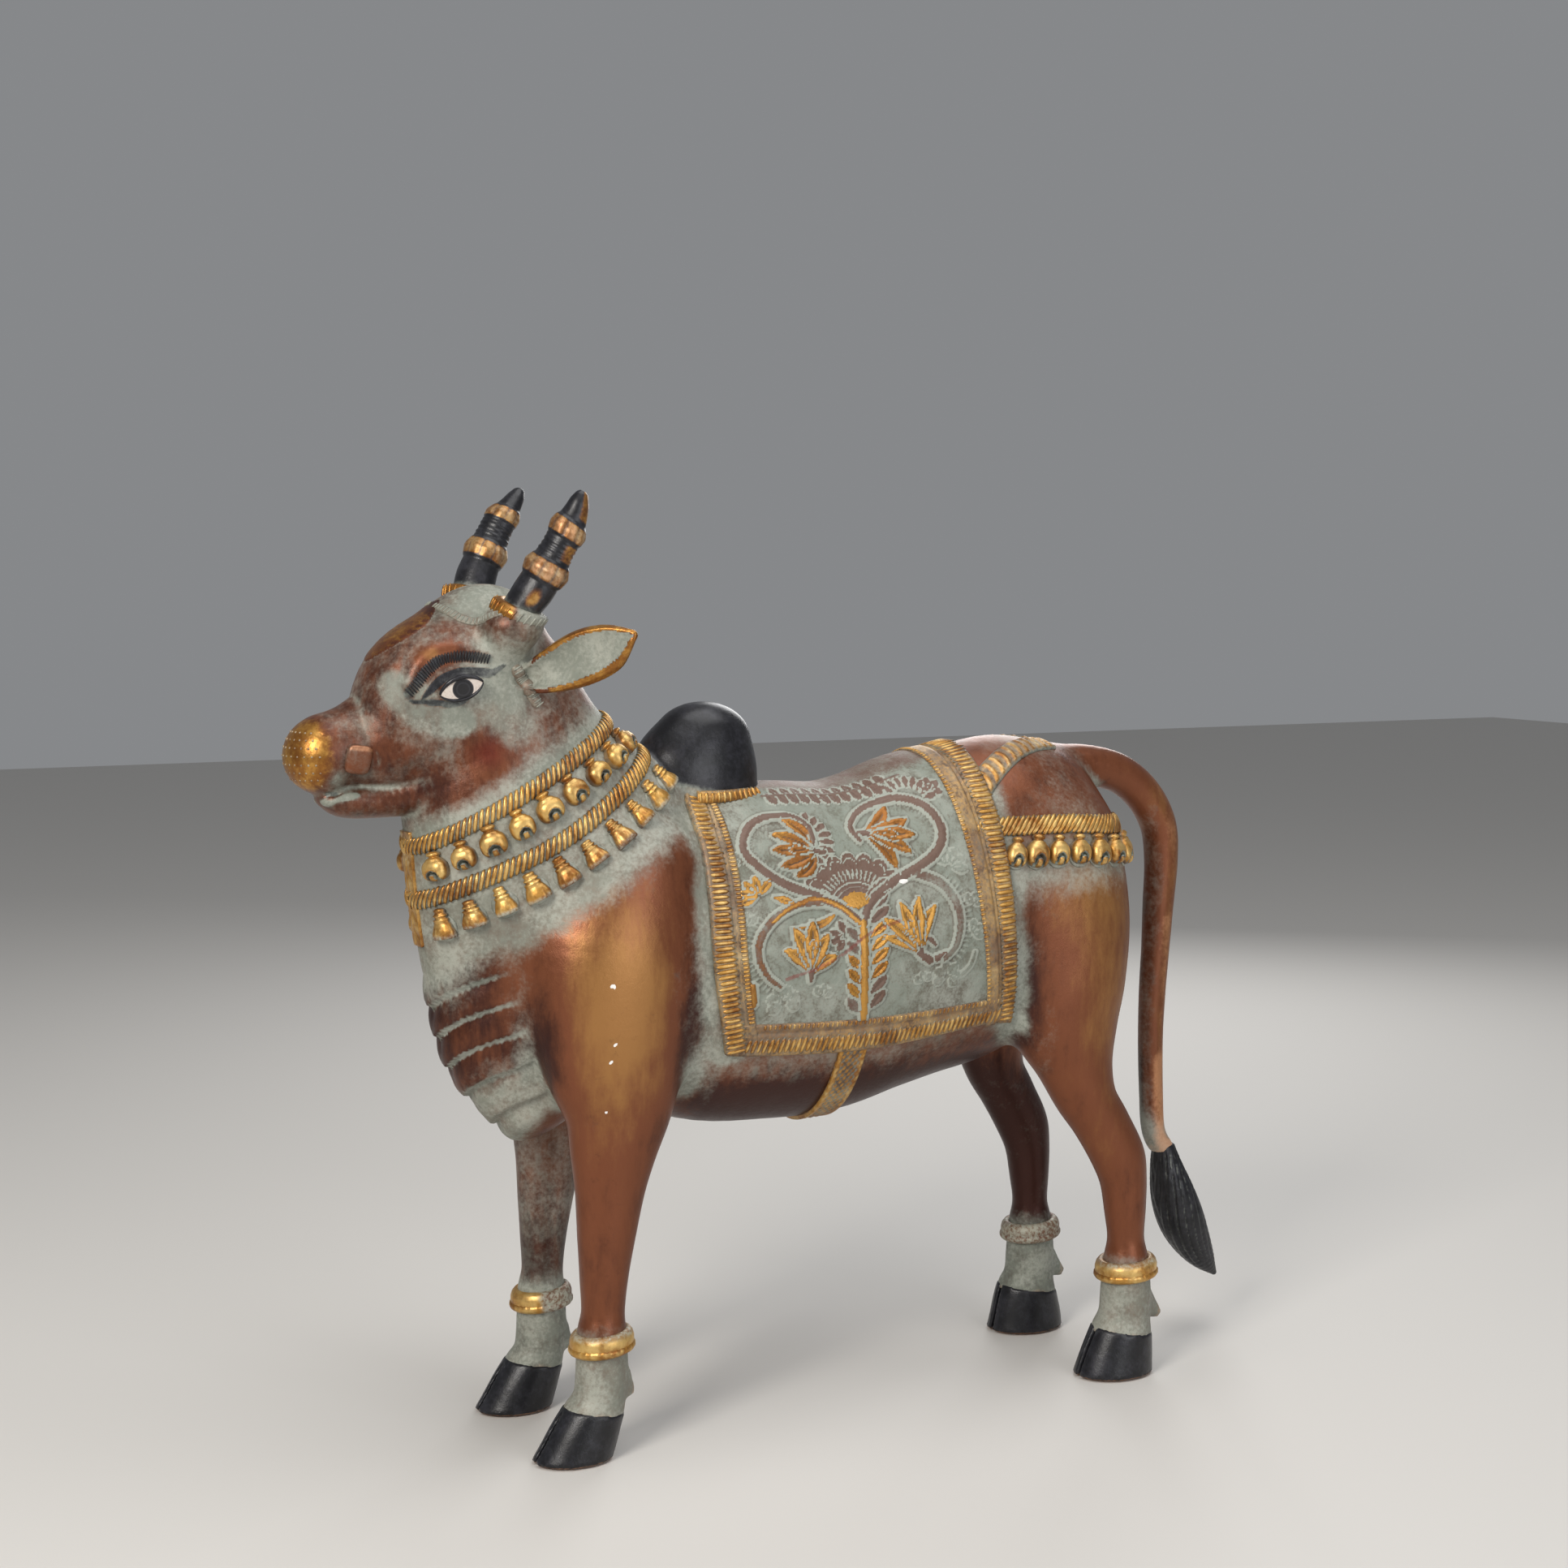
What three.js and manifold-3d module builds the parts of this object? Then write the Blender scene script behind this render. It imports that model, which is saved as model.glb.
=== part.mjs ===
// Standing nandi bull, cast in one piece. Millimetres, +Z up, head towards -Y, its left side towards +X.
import * as THREE from "three";
import Module from "manifold-3d";

const wasm = await Module();
wasm.setup();

const GRID = 3.2;
const BASE_TRIANGLES = 4200;
const HALF_TRIANGLES = 4900;
const HALF_BOX = [140, 900, 800];

// Vector helpers on plain arrays.
const add = (a, b) => [a[0] + b[0], a[1] + b[1], a[2] + b[2]];
const sub = (a, b) => [a[0] - b[0], a[1] - b[1], a[2] - b[2]];
const mul = (a, s) => [a[0] * s, a[1] * s, a[2] * s];
const dot = (a, b) => a[0] * b[0] + a[1] * b[1] + a[2] * b[2];
const cross = (a, b) => [
  a[1] * b[2] - a[2] * b[1],
  a[2] * b[0] - a[0] * b[2],
  a[0] * b[1] - a[1] * b[0],
];
const unit = (a) => mul(a, 1 / Math.max(1e-9, Math.hypot(...a)));
const mix = (a, b, t) => a.map((v, i) => v + (b[i] - v) * t);
const clamp = (v, lo, hi) => Math.min(hi, Math.max(lo, v));

// A row of numbers at t along a list of rows, passing smoothly through every row.
function alongRows(rows, t) {
  const last = rows.length - 1;
  const i = clamp(Math.floor(t * last), 0, last - 1);
  const s = t * last - i;
  const p0 = rows[Math.max(0, i - 1)];
  const p1 = rows[i];
  const p2 = rows[i + 1];
  const p3 = rows[Math.min(last, i + 2)];
  return p1.map((v, k) => {
    const m1 = (p2[k] - p0[k]) / 2;
    const m2 = (p3[k] - v) / 2;
    const s2 = s * s;
    const s3 = s2 * s;
    return (
      v * (2 * s3 - 3 * s2 + 1) +
      m1 * (s3 - 2 * s2 + s) +
      p2[k] * (3 * s2 - 2 * s3) +
      m2 * (s3 - s2)
    );
  });
}

// Chains: every station is centre, height direction, side direction, half height, half width, taper.
const STEPS_PER_ROW = 4;

function chain(stations, blend) {
  const count = (stations.length - 1) * STEPS_PER_ROW;
  const rows = [];
  for (let i = 0; i <= count; i++) rows.push(alongRows(stations, i / count));
  const lo = [1e9, 1e9, 1e9];
  const hi = [-1e9, -1e9, -1e9];
  for (const r of rows)
    for (let k = 0; k < 3; k++) {
      const reach = Math.max(r[9], r[10]);
      lo[k] = Math.min(lo[k], r[k] - reach);
      hi[k] = Math.max(hi[k], r[k] + reach);
    }
  return { rows, lo, hi, blend };
}

// Rows of [y, z] top and bottom outline points in the middle plane, half width and taper.
const middleChain = (rows, blend) =>
  chain(
    rows.map(([yt, zt, yb, zb, w, taper]) => {
      const half = Math.hypot(yt - yb, zt - zb) / 2;
      const n = [0, (yt - yb) / (2 * half), (zt - zb) / (2 * half)];
      return [0, (yt + yb) / 2, (zt + zb) / 2, ...n, 1, 0, 0, half, w, taper];
    }),
    blend,
  );

// Rows of x, y, z, half length along Y, half width along X.
const legChain = (rows, blend) =>
  chain(
    rows.map(([x, y, z, long, wide]) => [x, y, z, 0, 1, 0, 1, 0, 0, long, wide, 0]),
    blend,
  );

// Rows of x, y, z, radius.
const roundChain = (rows, blend) =>
  chain(
    rows.map(([x, y, z, r]) => [x, y, z, 0, 0, 1, 1, 0, 0, r, r, 0]),
    blend,
  );

function chainDistance(c, x, y, z) {
  let best = 1e9;
  const rows = c.rows;
  for (let i = 0; i + 1 < rows.length; i++) {
    const a = rows[i];
    const b = rows[i + 1];
    const dx = b[0] - a[0];
    const dy = b[1] - a[1];
    const dz = b[2] - a[2];
    const px = x - a[0];
    const py = y - a[1];
    const pz = z - a[2];
    const t = clamp((px * dx + py * dy + pz * dz) / (dx * dx + dy * dy + dz * dz), 0, 1);
    const qx = px - t * dx;
    const qy = py - t * dy;
    const qz = pz - t * dz;
    const at = (k) => a[k] + t * (b[k] - a[k]);
    const u = qx * at(3) + qy * at(4) + qz * at(5);
    const v = qx * at(6) + qy * at(7) + qz * at(8);
    const s2 = Math.max(0, qx * qx + qy * qy + qz * qz - u * u - v * v);
    const h = a[9] + t * (b[9] - a[9]);
    let w = a[10] + t * (b[10] - a[10]);
    const taper = a[11] + t * (b[11] - a[11]);
    w *= 1 + taper * clamp(u / h, -1, 1);
    const e = Math.min(h, w);
    const un = u / h;
    const vn = v / w;
    const k0 = Math.sqrt(un * un + vn * vn + s2 / (e * e));
    const k1 = Math.sqrt((un / h) ** 2 + (vn / w) ** 2 + s2 / e ** 4);
    const d = k1 > 1e-9 ? (k0 * (k0 - 1)) / k1 : -e;
    if (d < best) best = d;
  }
  return best;
}

function blendMin(a, b, k) {
  const h = Math.max(0, k - Math.abs(a - b)) / k;
  return Math.min(a, b) - h * h * k * 0.25;
}

// The body in stance coordinates. Outline pairs run back line to belly line.
const TORSO = middleChain(
  [
    [-140, 440, -160, 240, 68, 0],
    [-95, 450, -105, 214, 82, 0],
    [-45, 451, -50, 209, 86, 0],
    [0, 449, -5, 210, 87, 0],
    [40, 456, 36, 220, 87, 0],
    [75, 468, 72, 228, 86, 0],
    [110, 474, 112, 236, 84, 0],
    [145, 481, 146, 251, 80, 0],
    [176, 476, 170, 270, 72, 0],
  ],
  10,
);
const NECK = middleChain(
  [
    [-120, 455, -239, 213, 64, 0.25],
    [-132, 471, -275, 254, 64, 0.25],
    [-142, 479, -290, 310, 64, 0.2],
    [-153, 486, -299, 360, 61, 0.1],
    [-168, 501, -303, 400, 56, 0],
    [-184, 522, -307, 430, 50, 0],
    [-202, 552, -300, 452, 42, 0],
  ],
  12,
);
const HEAD = middleChain(
  [
    [-243, 593, -243, 470, 36, 0],
    [-258, 595, -260, 455, 44, 0.1],
    [-280, 581, -286, 450, 44, 0.1],
    [-304, 566, -304, 452, 41, 0.1],
    [-316, 541, -321, 455, 35, 0],
    [-335, 526, -338, 459, 27, -0.1],
    [-354, 514, -352, 461, 25, 0],
    [-366, 509, -365, 459, 25, 0],
  ],
  10,
);
const JAW = middleChain(
  [
    [-262, 500, -268, 448, 34, 0],
    [-300, 478, -302, 441.5, 28, 0],
    [-330, 466, -332, 440, 21, 0],
    [-353, 464, -355, 441, 18, 0],
    [-364, 462, -366, 447, 15, 0],
  ],
  3,
);
const NOSE = roundChain(
  [
    [0, -366, 486, 21.5],
    [0, -370, 482.5, 22.5],
  ],
  11,
);
const HUMP = legChain(
  [
    [0, -101, 430, 47.5, 33],
    [0, -100.5, 462, 48, 33],
    [0, -93.5, 485, 36, 27],
  ],
  6,
);
const FORE_LEG = legChain(
  [
    [44, -165, 398, 46, 36],
    [50, -180, 350, 58, 40],
    [54, -184, 305, 56, 36],
    [57, -184, 265, 48, 29],
    [58, -182, 236, 38, 24],
    [59, -186, 210, 31, 20.5],
    [59, -189, 184, 25, 18],
    [59, -192, 152, 20.5, 16.5],
    [59, -194, 125, 17, 15.5],
    [59, -195, 100, 15, 14.5],
    [59, -196, 84, 17, 17],
    [59, -196, 64, 18, 17.5],
    [59, -197, 48, 18, 17.5],
    [59, -199, 36, 18.5, 18],
    [59, -203, 29, 20.5, 19],
    [59, -210, 15, 23.5, 20.5],
    [59, -216, 2, 25.5, 21.5],
    [59, -221, -10, 28, 23],
  ],
  18,
);
const HIND_LEG = legChain(
  [
    [38, 176, 405, 48, 34],
    [46, 181, 350, 52, 38],
    [53, 177.5, 305, 50, 34],
    [57, 175, 270, 44, 28],
    [60, 182, 240, 31, 23],
    [62, 191, 214, 24.5, 20],
    [63, 204.5, 193, 23, 18],
    [64, 218.5, 168, 22, 17],
    [64, 224.5, 148, 18.5, 16],
    [64, 226.5, 125, 16, 15],
    [64, 227.5, 102, 14, 13.5],
    [64, 228, 84, 17, 17],
    [64, 228, 64, 19, 18.5],
    [64, 227.5, 48, 19.5, 19],
    [64, 226.5, 38, 20.5, 19.5],
    [64, 224.5, 31, 23, 21],
    [64, 221, 16, 27, 22.5],
    [64, 218, 2, 30, 24],
    [64, 216, -10, 32, 26],
  ],
  18,
);
const DEWCLAWS = [
  roundChain(
    [
      [59, -182, 52, 7],
      [59, -176, 42, 4],
    ],
    6,
  ),
  roundChain(
    [
      [64, 244, 53, 8],
      [64, 254, 42, 5],
    ],
    6,
  ),
];
const TAIL = roundChain(
  [
    [0, 190, 454, 17.5],
    [0, 224, 455.5, 16],
    [0, 257, 448.5, 15],
    [0, 281.5, 430.5, 14.5],
    [0, 296, 406, 14],
    [0, 299, 378, 13],
    [0, 297, 345, 12],
    [0, 295, 312, 11],
    [0, 292.5, 275, 10.3],
    [0, 291.5, 240, 9.6],
    [0, 292.5, 200, 9.2],
    [0, 295, 166, 9],
    [0, 303, 150, 9],
  ],
  10,
);
const TUFT = roundChain(
  [
    [0, 305, 150, 9],
    [0, 309, 131, 13],
    [0, 316, 108, 17.5],
    [0, 326, 84, 17.5],
    [0, 340, 61, 11.5],
    [0, 355, 43, 2.5],
  ],
  3,
);
// The cushion each horn stands on; the horn itself is swept along HORN_LINE by HORN_PROFILE,
// whose rows are the length along the line and the radius there.
const HORN_PAD = roundChain(
  [
    [35, -252, 562, 19],
    [40, -249.5, 570, 21],
  ],
  7,
);
const HORN_LINE = [
  [40, -249, 573],
  [43.5, -246, 583],
  [47.5, -240, 596],
  [50.4, -231.8, 611.5],
  [52.3, -224.8, 625],
  [54.2, -217, 638.5],
  [55.6, -211.3, 648],
  [57.2, -205.8, 659.5],
];
const HORN_PROFILE = [
  [0, 12],
  [9, 13.4],
  [25, 13.5],
  [34, 12.9],
  [37, 14.3],
  [43.8, 15.8],
  [50, 13.2],
  [53, 11.6],
  [59, 11],
  [66, 11.2],
  [73.4, 12.5],
  [78.5, 10.6],
  [80, 9],
  [92, 6.3],
  [97.3, 3.6],
  [98.5, 1.4],
];
const EYE = roundChain(
  [
    [37, -295, 527, 7],
    [38, -286, 530, 8.5],
    [40, -276, 532, 6],
  ],
  2,
);

// Ear: a leaf that runs out, back and up from the side of the head, hollow towards the front.
const EAR_ROOT = [42, -240, 533];
const EAR_TIP = [98, -188, 565];
const EAR_ALONG = unit(sub(EAR_TIP, EAR_ROOT));
const EAR_FACING = unit(sub([0.9, -0.436, 0.09], mul(EAR_ALONG, dot([0.9, -0.436, 0.09], EAR_ALONG))));
const EAR_WIDE = cross(EAR_ALONG, EAR_FACING);
const EAR_ROWS = [
  [0.0, 8, 8, 0],
  [0.16, 13, 7.5, 2],
  [0.38, 17.5, 7, 2.5],
  [0.6, 19.5, 6.5, 2],
  [0.8, 17.5, 5.5, 2],
  [0.93, 10.5, 4.5, 1.5],
  [0.99, 5, 4, 1],
];

const earChain = (share, lift, thick, blend) =>
  chain(
    EAR_ROWS.map(([t, half, depth, low]) => [
      ...add(mix(EAR_ROOT, EAR_TIP, t), add(mul(EAR_FACING, lift), mul(EAR_WIDE, low))),
      ...EAR_WIDE,
      ...EAR_FACING,
      half * share,
      depth * thick,
      0,
    ]),
    blend,
  );
const EAR = earChain(1, 0, 1, 4);
const EAR_HOLLOW = earChain(0.72, 6.5, 0.95, 0);

const SOLID_CHAINS = [
  TORSO,
  NECK,
  HEAD,
  JAW,
  NOSE,
  HUMP,
  FORE_LEG,
  HIND_LEG,
  ...DEWCLAWS,
  TAIL,
  TUFT,
  HORN_PAD,
  EYE,
  EAR,
];

function boxGap(c, x, y, z) {
  const gx = Math.max(c.lo[0] - x, 0, x - c.hi[0]);
  const gy = Math.max(c.lo[1] - y, 0, y - c.hi[1]);
  const gz = Math.max(c.lo[2] - z, 0, z - c.hi[2]);
  return Math.sqrt(gx * gx + gy * gy + gz * gz);
}

function joined(chains, x, y, z) {
  const side = Math.abs(x);
  let d = 1e9;
  for (const c of chains) {
    if (boxGap(c, side, y, z) > Math.min(d, 1e8) + c.blend) continue;
    const own = chainDistance(c, side, y, z);
    d = d > 1e8 ? own : blendMin(d, own, c.blend);
  }
  return d;
}

// Signed distance to the plain body, without its ornaments.
function body(x, y, z) {
  const side = Math.abs(x);
  let d = joined(SOLID_CHAINS, x, y, z);
  if (boxGap(EAR_HOLLOW, side, y, z) < 12) d = Math.max(d, -chainDistance(EAR_HOLLOW, side, y, z));
  return d;
}

const gradient = (f, p) => {
  const e = 0.4;
  return unit([
    f(p[0] + e, p[1], p[2]) - f(p[0] - e, p[1], p[2]),
    f(p[0], p[1] + e, p[2]) - f(p[0], p[1] - e, p[2]),
    f(p[0], p[1], p[2] + e) - f(p[0], p[1], p[2] - e),
  ]);
};

// The crossed edges of a cell, each with the label of the surface patch it belongs to.
// An edge is written corner * 4 + axis; on a face crossed four times the inside corners stay apart.
function cellPatches(corner) {
  const label = new Map();
  for (let c = 0; c < 8; c++)
    for (let a = 0; a < 3; a++) {
      const crossed = !(c & (1 << a)) && corner[c] < 0 !== corner[c | (1 << a)] < 0;
      if (crossed) label.set(c * 4 + a, c * 4 + a);
    }
  const join = (e, o) => {
    const from = label.get(e);
    const to = label.get(o);
    for (const [key, l] of label) if (l === from) label.set(key, to);
  };
  for (let a = 0; a < 3; a++)
    for (const side of [0, 1]) {
      const [u, v] = [(a + 1) % 3, (a + 2) % 3];
      const base = side << a;
      const around = [base, base | (1 << u), base | (1 << u) | (1 << v), base | (1 << v)];
      const edges = [base * 4 + u, (base | (1 << u)) * 4 + v, (base | (1 << v)) * 4 + u, base * 4 + v];
      const crossed = edges.filter((e) => label.has(e));
      if (crossed.length === 2) join(crossed[0], crossed[1]);
      if (crossed.length === 4)
        for (let q = 0; q < 4; q++) if (corner[around[q]] < 0) join(edges[q], edges[(q + 3) % 4]);
    }
  return label;
}

// Closed mesh of the zero surface of f inside the box lo..hi, one vertex per crossed cell.
function surfaceMesh(f, lo, hi, step) {
  const n = [0, 1, 2].map((k) => Math.ceil((hi[k] - lo[k]) / step) + 1);
  const size = n[0] * n[1] * n[2];
  const value = new Float32Array(size).fill(50);
  const at = (i, j, k) => (k * n[1] + j) * n[0] + i;
  const BLOCK = 4;
  for (let k0 = 0; k0 < n[2]; k0 += BLOCK)
    for (let j0 = 0; j0 < n[1]; j0 += BLOCK)
      for (let i0 = 0; i0 < n[0]; i0 += BLOCK) {
        const middle = [i0, j0, k0].map((v, k) => lo[k] + (v + BLOCK / 2 - 0.5) * step);
        const d = f(...middle);
        const far = Math.abs(d) > BLOCK * step * 1.6;
        for (let k = k0; k < Math.min(n[2], k0 + BLOCK); k++)
          for (let j = j0; j < Math.min(n[1], j0 + BLOCK); j++)
            for (let i = i0; i < Math.min(n[0], i0 + BLOCK); i++)
              value[at(i, j, k)] = far ? d : f(lo[0] + i * step, lo[1] + j * step, lo[2] + k * step);
      }
  const cellEdges = new Map();
  const positions = [];
  for (let k = 0; k + 1 < n[2]; k++)
    for (let j = 0; j + 1 < n[1]; j++)
      for (let i = 0; i + 1 < n[0]; i++) {
        let inside = 0;
        const corner = [];
        for (let c = 0; c < 8; c++) {
          const v = value[at(i + (c & 1), j + ((c >> 1) & 1), k + (c >> 2))];
          corner.push(v);
          if (v < 0) inside++;
        }
        if (inside === 0 || inside === 8) continue;
        const group = cellPatches(corner);
        const ids = new Map();
        const own = new Int32Array(24).fill(-1);
        for (const [edge, label] of group) {
          if (!ids.has(label)) ids.set(label, []);
          ids.get(label).push(edge);
        }
        for (const edges of ids.values()) {
          const sum = [0, 0, 0];
          for (const edge of edges) {
            const c = edge >> 2;
            const axis = edge & 3;
            const t = corner[c] / (corner[c] - corner[c | (1 << axis)]);
            for (let a = 0; a < 3; a++) sum[a] += ((c >> a) & 1) + (a === axis ? t : 0);
            own[c * 3 + axis] = positions.length / 3;
          }
          positions.push(
            lo[0] + (i + sum[0] / edges.length) * step,
            lo[1] + (j + sum[1] / edges.length) * step,
            lo[2] + (k + sum[2] / edges.length) * step,
          );
        }
        cellEdges.set(at(i, j, k), own);
      }
  const faces = [];
  const quad = (axis, i, j, k, flip) => {
    const [u, v] = [(axis + 1) % 3, (axis + 2) % 3];
    const q = [
      [0, 0],
      [1, 0],
      [1, 1],
      [0, 1],
    ].map(([du, dv]) => {
      const cell = [i, j, k];
      cell[u] -= du;
      cell[v] -= dv;
      const local = (du << u) | (dv << v);
      return cellEdges.get(at(...cell))[local * 3 + axis];
    });
    if (flip) q.reverse();
    faces.push(q[0], q[1], q[2], q[0], q[2], q[3]);
  };
  for (let k = 1; k + 1 < n[2]; k++)
    for (let j = 1; j + 1 < n[1]; j++)
      for (let i = 1; i + 1 < n[0]; i++) {
        const here = value[at(i, j, k)] < 0;
        if (here !== value[at(i + 1, j, k)] < 0) quad(0, i, j, k, !here);
        if (here !== value[at(i, j + 1, k)] < 0) quad(1, i, j, k, !here);
        if (here !== value[at(i, j, k + 1)] < 0) quad(2, i, j, k, !here);
      }
  return { positions, faces };
}

// Collapses the edges that change the shape least until the mesh has the wanted number of triangles.
function simplify({ positions, faces }, wanted) {
  const nv = positions.length / 3;
  const P = Float64Array.from(positions);
  const Q = new Float64Array(nv * 10);
  const tris = [];
  const around = Array.from({ length: nv }, () => new Set());
  const normalOf = (a, b, c) => {
    const u = [P[b * 3] - P[a * 3], P[b * 3 + 1] - P[a * 3 + 1], P[b * 3 + 2] - P[a * 3 + 2]];
    const v = [P[c * 3] - P[a * 3], P[c * 3 + 1] - P[a * 3 + 1], P[c * 3 + 2] - P[a * 3 + 2]];
    return cross(u, v);
  };
  for (let i = 0; i < faces.length; i += 3) {
    const t = [faces[i], faces[i + 1], faces[i + 2]];
    const m = normalOf(...t);
    const area = Math.hypot(...m);
    if (area < 1e-9) continue;
    const [a, b, c] = mul(m, 1 / area);
    const d = -(a * P[t[0] * 3] + b * P[t[0] * 3 + 1] + c * P[t[0] * 3 + 2]);
    const q = [a * a, a * b, a * c, a * d, b * b, b * c, b * d, c * c, c * d, d * d];
    const id = tris.length;
    tris.push(t);
    for (const v of t) {
      around[v].add(id);
      for (let k = 0; k < 10; k++) Q[v * 10 + k] += q[k] * area;
    }
  }
  const cost = (q, x, y, z) =>
    q[0] * x * x +
    2 * q[1] * x * y +
    2 * q[2] * x * z +
    2 * q[3] * x +
    q[4] * y * y +
    2 * q[5] * y * z +
    2 * q[6] * y +
    q[7] * z * z +
    2 * q[8] * z +
    q[9];
  function best(a, b) {
    const q = new Array(10);
    for (let k = 0; k < 10; k++) q[k] = Q[a * 10 + k] + Q[b * 10 + k];
    const columns = [
      [q[0], q[1], q[2]],
      [q[1], q[4], q[5]],
      [q[2], q[5], q[7]],
    ];
    const right = [-q[3], -q[6], -q[8]];
    const volume = (u, v, w) => dot(u, cross(v, w));
    const det = volume(...columns);
    const pa = [P[a * 3], P[a * 3 + 1], P[a * 3 + 2]];
    const pb = [P[b * 3], P[b * 3 + 1], P[b * 3 + 2]];
    const length = Math.hypot(...sub(pa, pb));
    const options = [mix(pa, pb, 0.5), pa, pb];
    const scale = (q[0] + q[4] + q[7]) / 3;
    if (Math.abs(det) > 1e-3 * scale ** 3) {
      const [u, v, w] = columns;
      const point = [volume(right, v, w) / det, volume(u, right, w) / det, volume(u, v, right) / det];
      if (Math.hypot(...sub(point, options[0])) < 2 * length) options.unshift(point);
    }
    let low = null;
    for (const o of options) {
      const e = cost(q, ...o) + 1e-4 * length * length * length;
      if (!low || e < low.e) low = { e, at: o };
    }
    return low;
  }
  const heap = [];
  const stamp = new Int32Array(nv);
  const push = (item) => {
    let i = heap.push(item) - 1;
    while (i > 0) {
      const p = (i - 1) >> 1;
      if (heap[p].e <= item.e) break;
      heap[i] = heap[p];
      i = p;
    }
    heap[i] = item;
  };
  const pop = () => {
    const top = heap[0];
    const item = heap.pop();
    if (heap.length) {
      let i = 0;
      for (;;) {
        let c = 2 * i + 1;
        if (c >= heap.length) break;
        if (c + 1 < heap.length && heap[c + 1].e < heap[c].e) c++;
        if (heap[c].e >= item.e) break;
        heap[i] = heap[c];
        i = c;
      }
      heap[i] = item;
    }
    return top;
  };
  const neighbours = (v) => {
    const set = new Set();
    for (const id of around[v]) for (const o of tris[id]) if (o !== v) set.add(o);
    return set;
  };
  const offer = (a, b) => {
    const { e, at: where } = best(a, b);
    push({ e, a, b, where, sa: stamp[a], sb: stamp[b] });
  };
  for (let v = 0; v < nv; v++) for (const o of neighbours(v)) if (o > v) offer(v, o);
  let live = tris.length;
  while (live > wanted && heap.length) {
    const { a, b, where, sa, sb } = pop();
    if (stamp[a] !== sa || stamp[b] !== sb || !around[a].size || !around[b].size) continue;
    const na = neighbours(a);
    const shared = [...neighbours(b)].filter((v) => na.has(v));
    if (shared.length !== 2) continue;
    let good = true;
    for (const [v, other] of [
      [a, b],
      [b, a],
    ])
      for (const id of around[v]) {
        const t = tris[id];
        if (t.includes(other)) continue;
        const before = normalOf(...t);
        const saved = [P[v * 3], P[v * 3 + 1], P[v * 3 + 2]];
        P.set(where, v * 3);
        const after = normalOf(...t);
        P.set(saved, v * 3);
        const la = Math.hypot(...after);
        if (dot(unit(before), after) < 0.35 * la || la < 0.05) good = false;
      }
    if (!good) continue;
    P.set(where, a * 3);
    for (let k = 0; k < 10; k++) Q[a * 10 + k] += Q[b * 10 + k];
    for (const id of [...around[b]]) {
      const t = tris[id];
      if (t.includes(a)) {
        for (const v of t) around[v].delete(id);
        tris[id] = null;
        live--;
      } else {
        t[t.indexOf(b)] = a;
        around[a].add(id);
        around[b].delete(id);
      }
    }
    stamp[a]++;
    stamp[b]++;
    for (const o of neighbours(a)) offer(a, o);
  }
  const index = new Map();
  const out = [];
  const outFaces = [];
  for (const t of tris)
    if (t)
      for (const v of t) {
        if (!index.has(v)) {
          index.set(v, out.length / 3);
          out.push(P[v * 3], P[v * 3 + 1], P[v * 3 + 2]);
        }
        outFaces.push(index.get(v));
      }
  return { positions: out, faces: outFaces };
}

const solid = ({ positions, faces }) =>
  new wasm.Manifold(
    new wasm.Mesh({
      numProp: 3,
      vertProperties: Float32Array.from(positions),
      triVerts: Uint32Array.from(faces),
    }),
  );

const REACH = 6;
const halfField = (x, y, z) => Math.max(body(x, y, z), -x - REACH, -z - REACH);
const base = simplify(surfaceMesh(halfField, [-12, -410, -12], [118, 372, 674], GRID), BASE_TRIANGLES);

// A solid from a closed mesh, whichever way round its faces were written.
function turnedOut(mesh) {
  const made = solid(mesh);
  if (made.volume() > 0) return made;
  for (let i = 0; i < mesh.faces.length; i += 3)
    [mesh.faces[i + 1], mesh.faces[i + 2]] = [mesh.faces[i + 2], mesh.faces[i + 1]];
  return solid(mesh);
}

// The trunk alone, which the saddle cloth lies on: it passes beneath the hump.
const TRUNK_CHAINS = [TORSO, NECK, FORE_LEG, HIND_LEG];
const trunk = (x, y, z) => joined(TRUNK_CHAINS, x, y, z);

const NECK_CHAINS = [TORSO, NECK, HEAD, FORE_LEG];
const neckSkin = (x, y, z) => joined(NECK_CHAINS, x, y, z);

// Where a line from inside the body comes out, with the direction the surface faces there.
function outward(f, from, dir, reach = 200) {
  const at = (t) => add(from, mul(dir, t));
  let inside = 0;
  let t = 3;
  while (f(...at(t)) < 0 && t < reach) {
    inside = t;
    t += 3;
  }
  for (let i = 0; i < 12; i++) {
    const middle = (inside + t) / 2;
    if (f(...at(middle)) < 0) inside = middle;
    else t = middle;
  }
  return { at: at(t), out: gradient(f, at(t)) };
}

// The surface point nearest to p.
function nearest(f, p) {
  let q = p;
  for (let i = 0; i < 6; i++) q = sub(q, mul(gradient(f, q), 0.8 * f(...q)));
  return { at: q, out: gradient(f, q) };
}

const raised = (spot, by) => add(spot.at, mul(spot.out, by));

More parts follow.
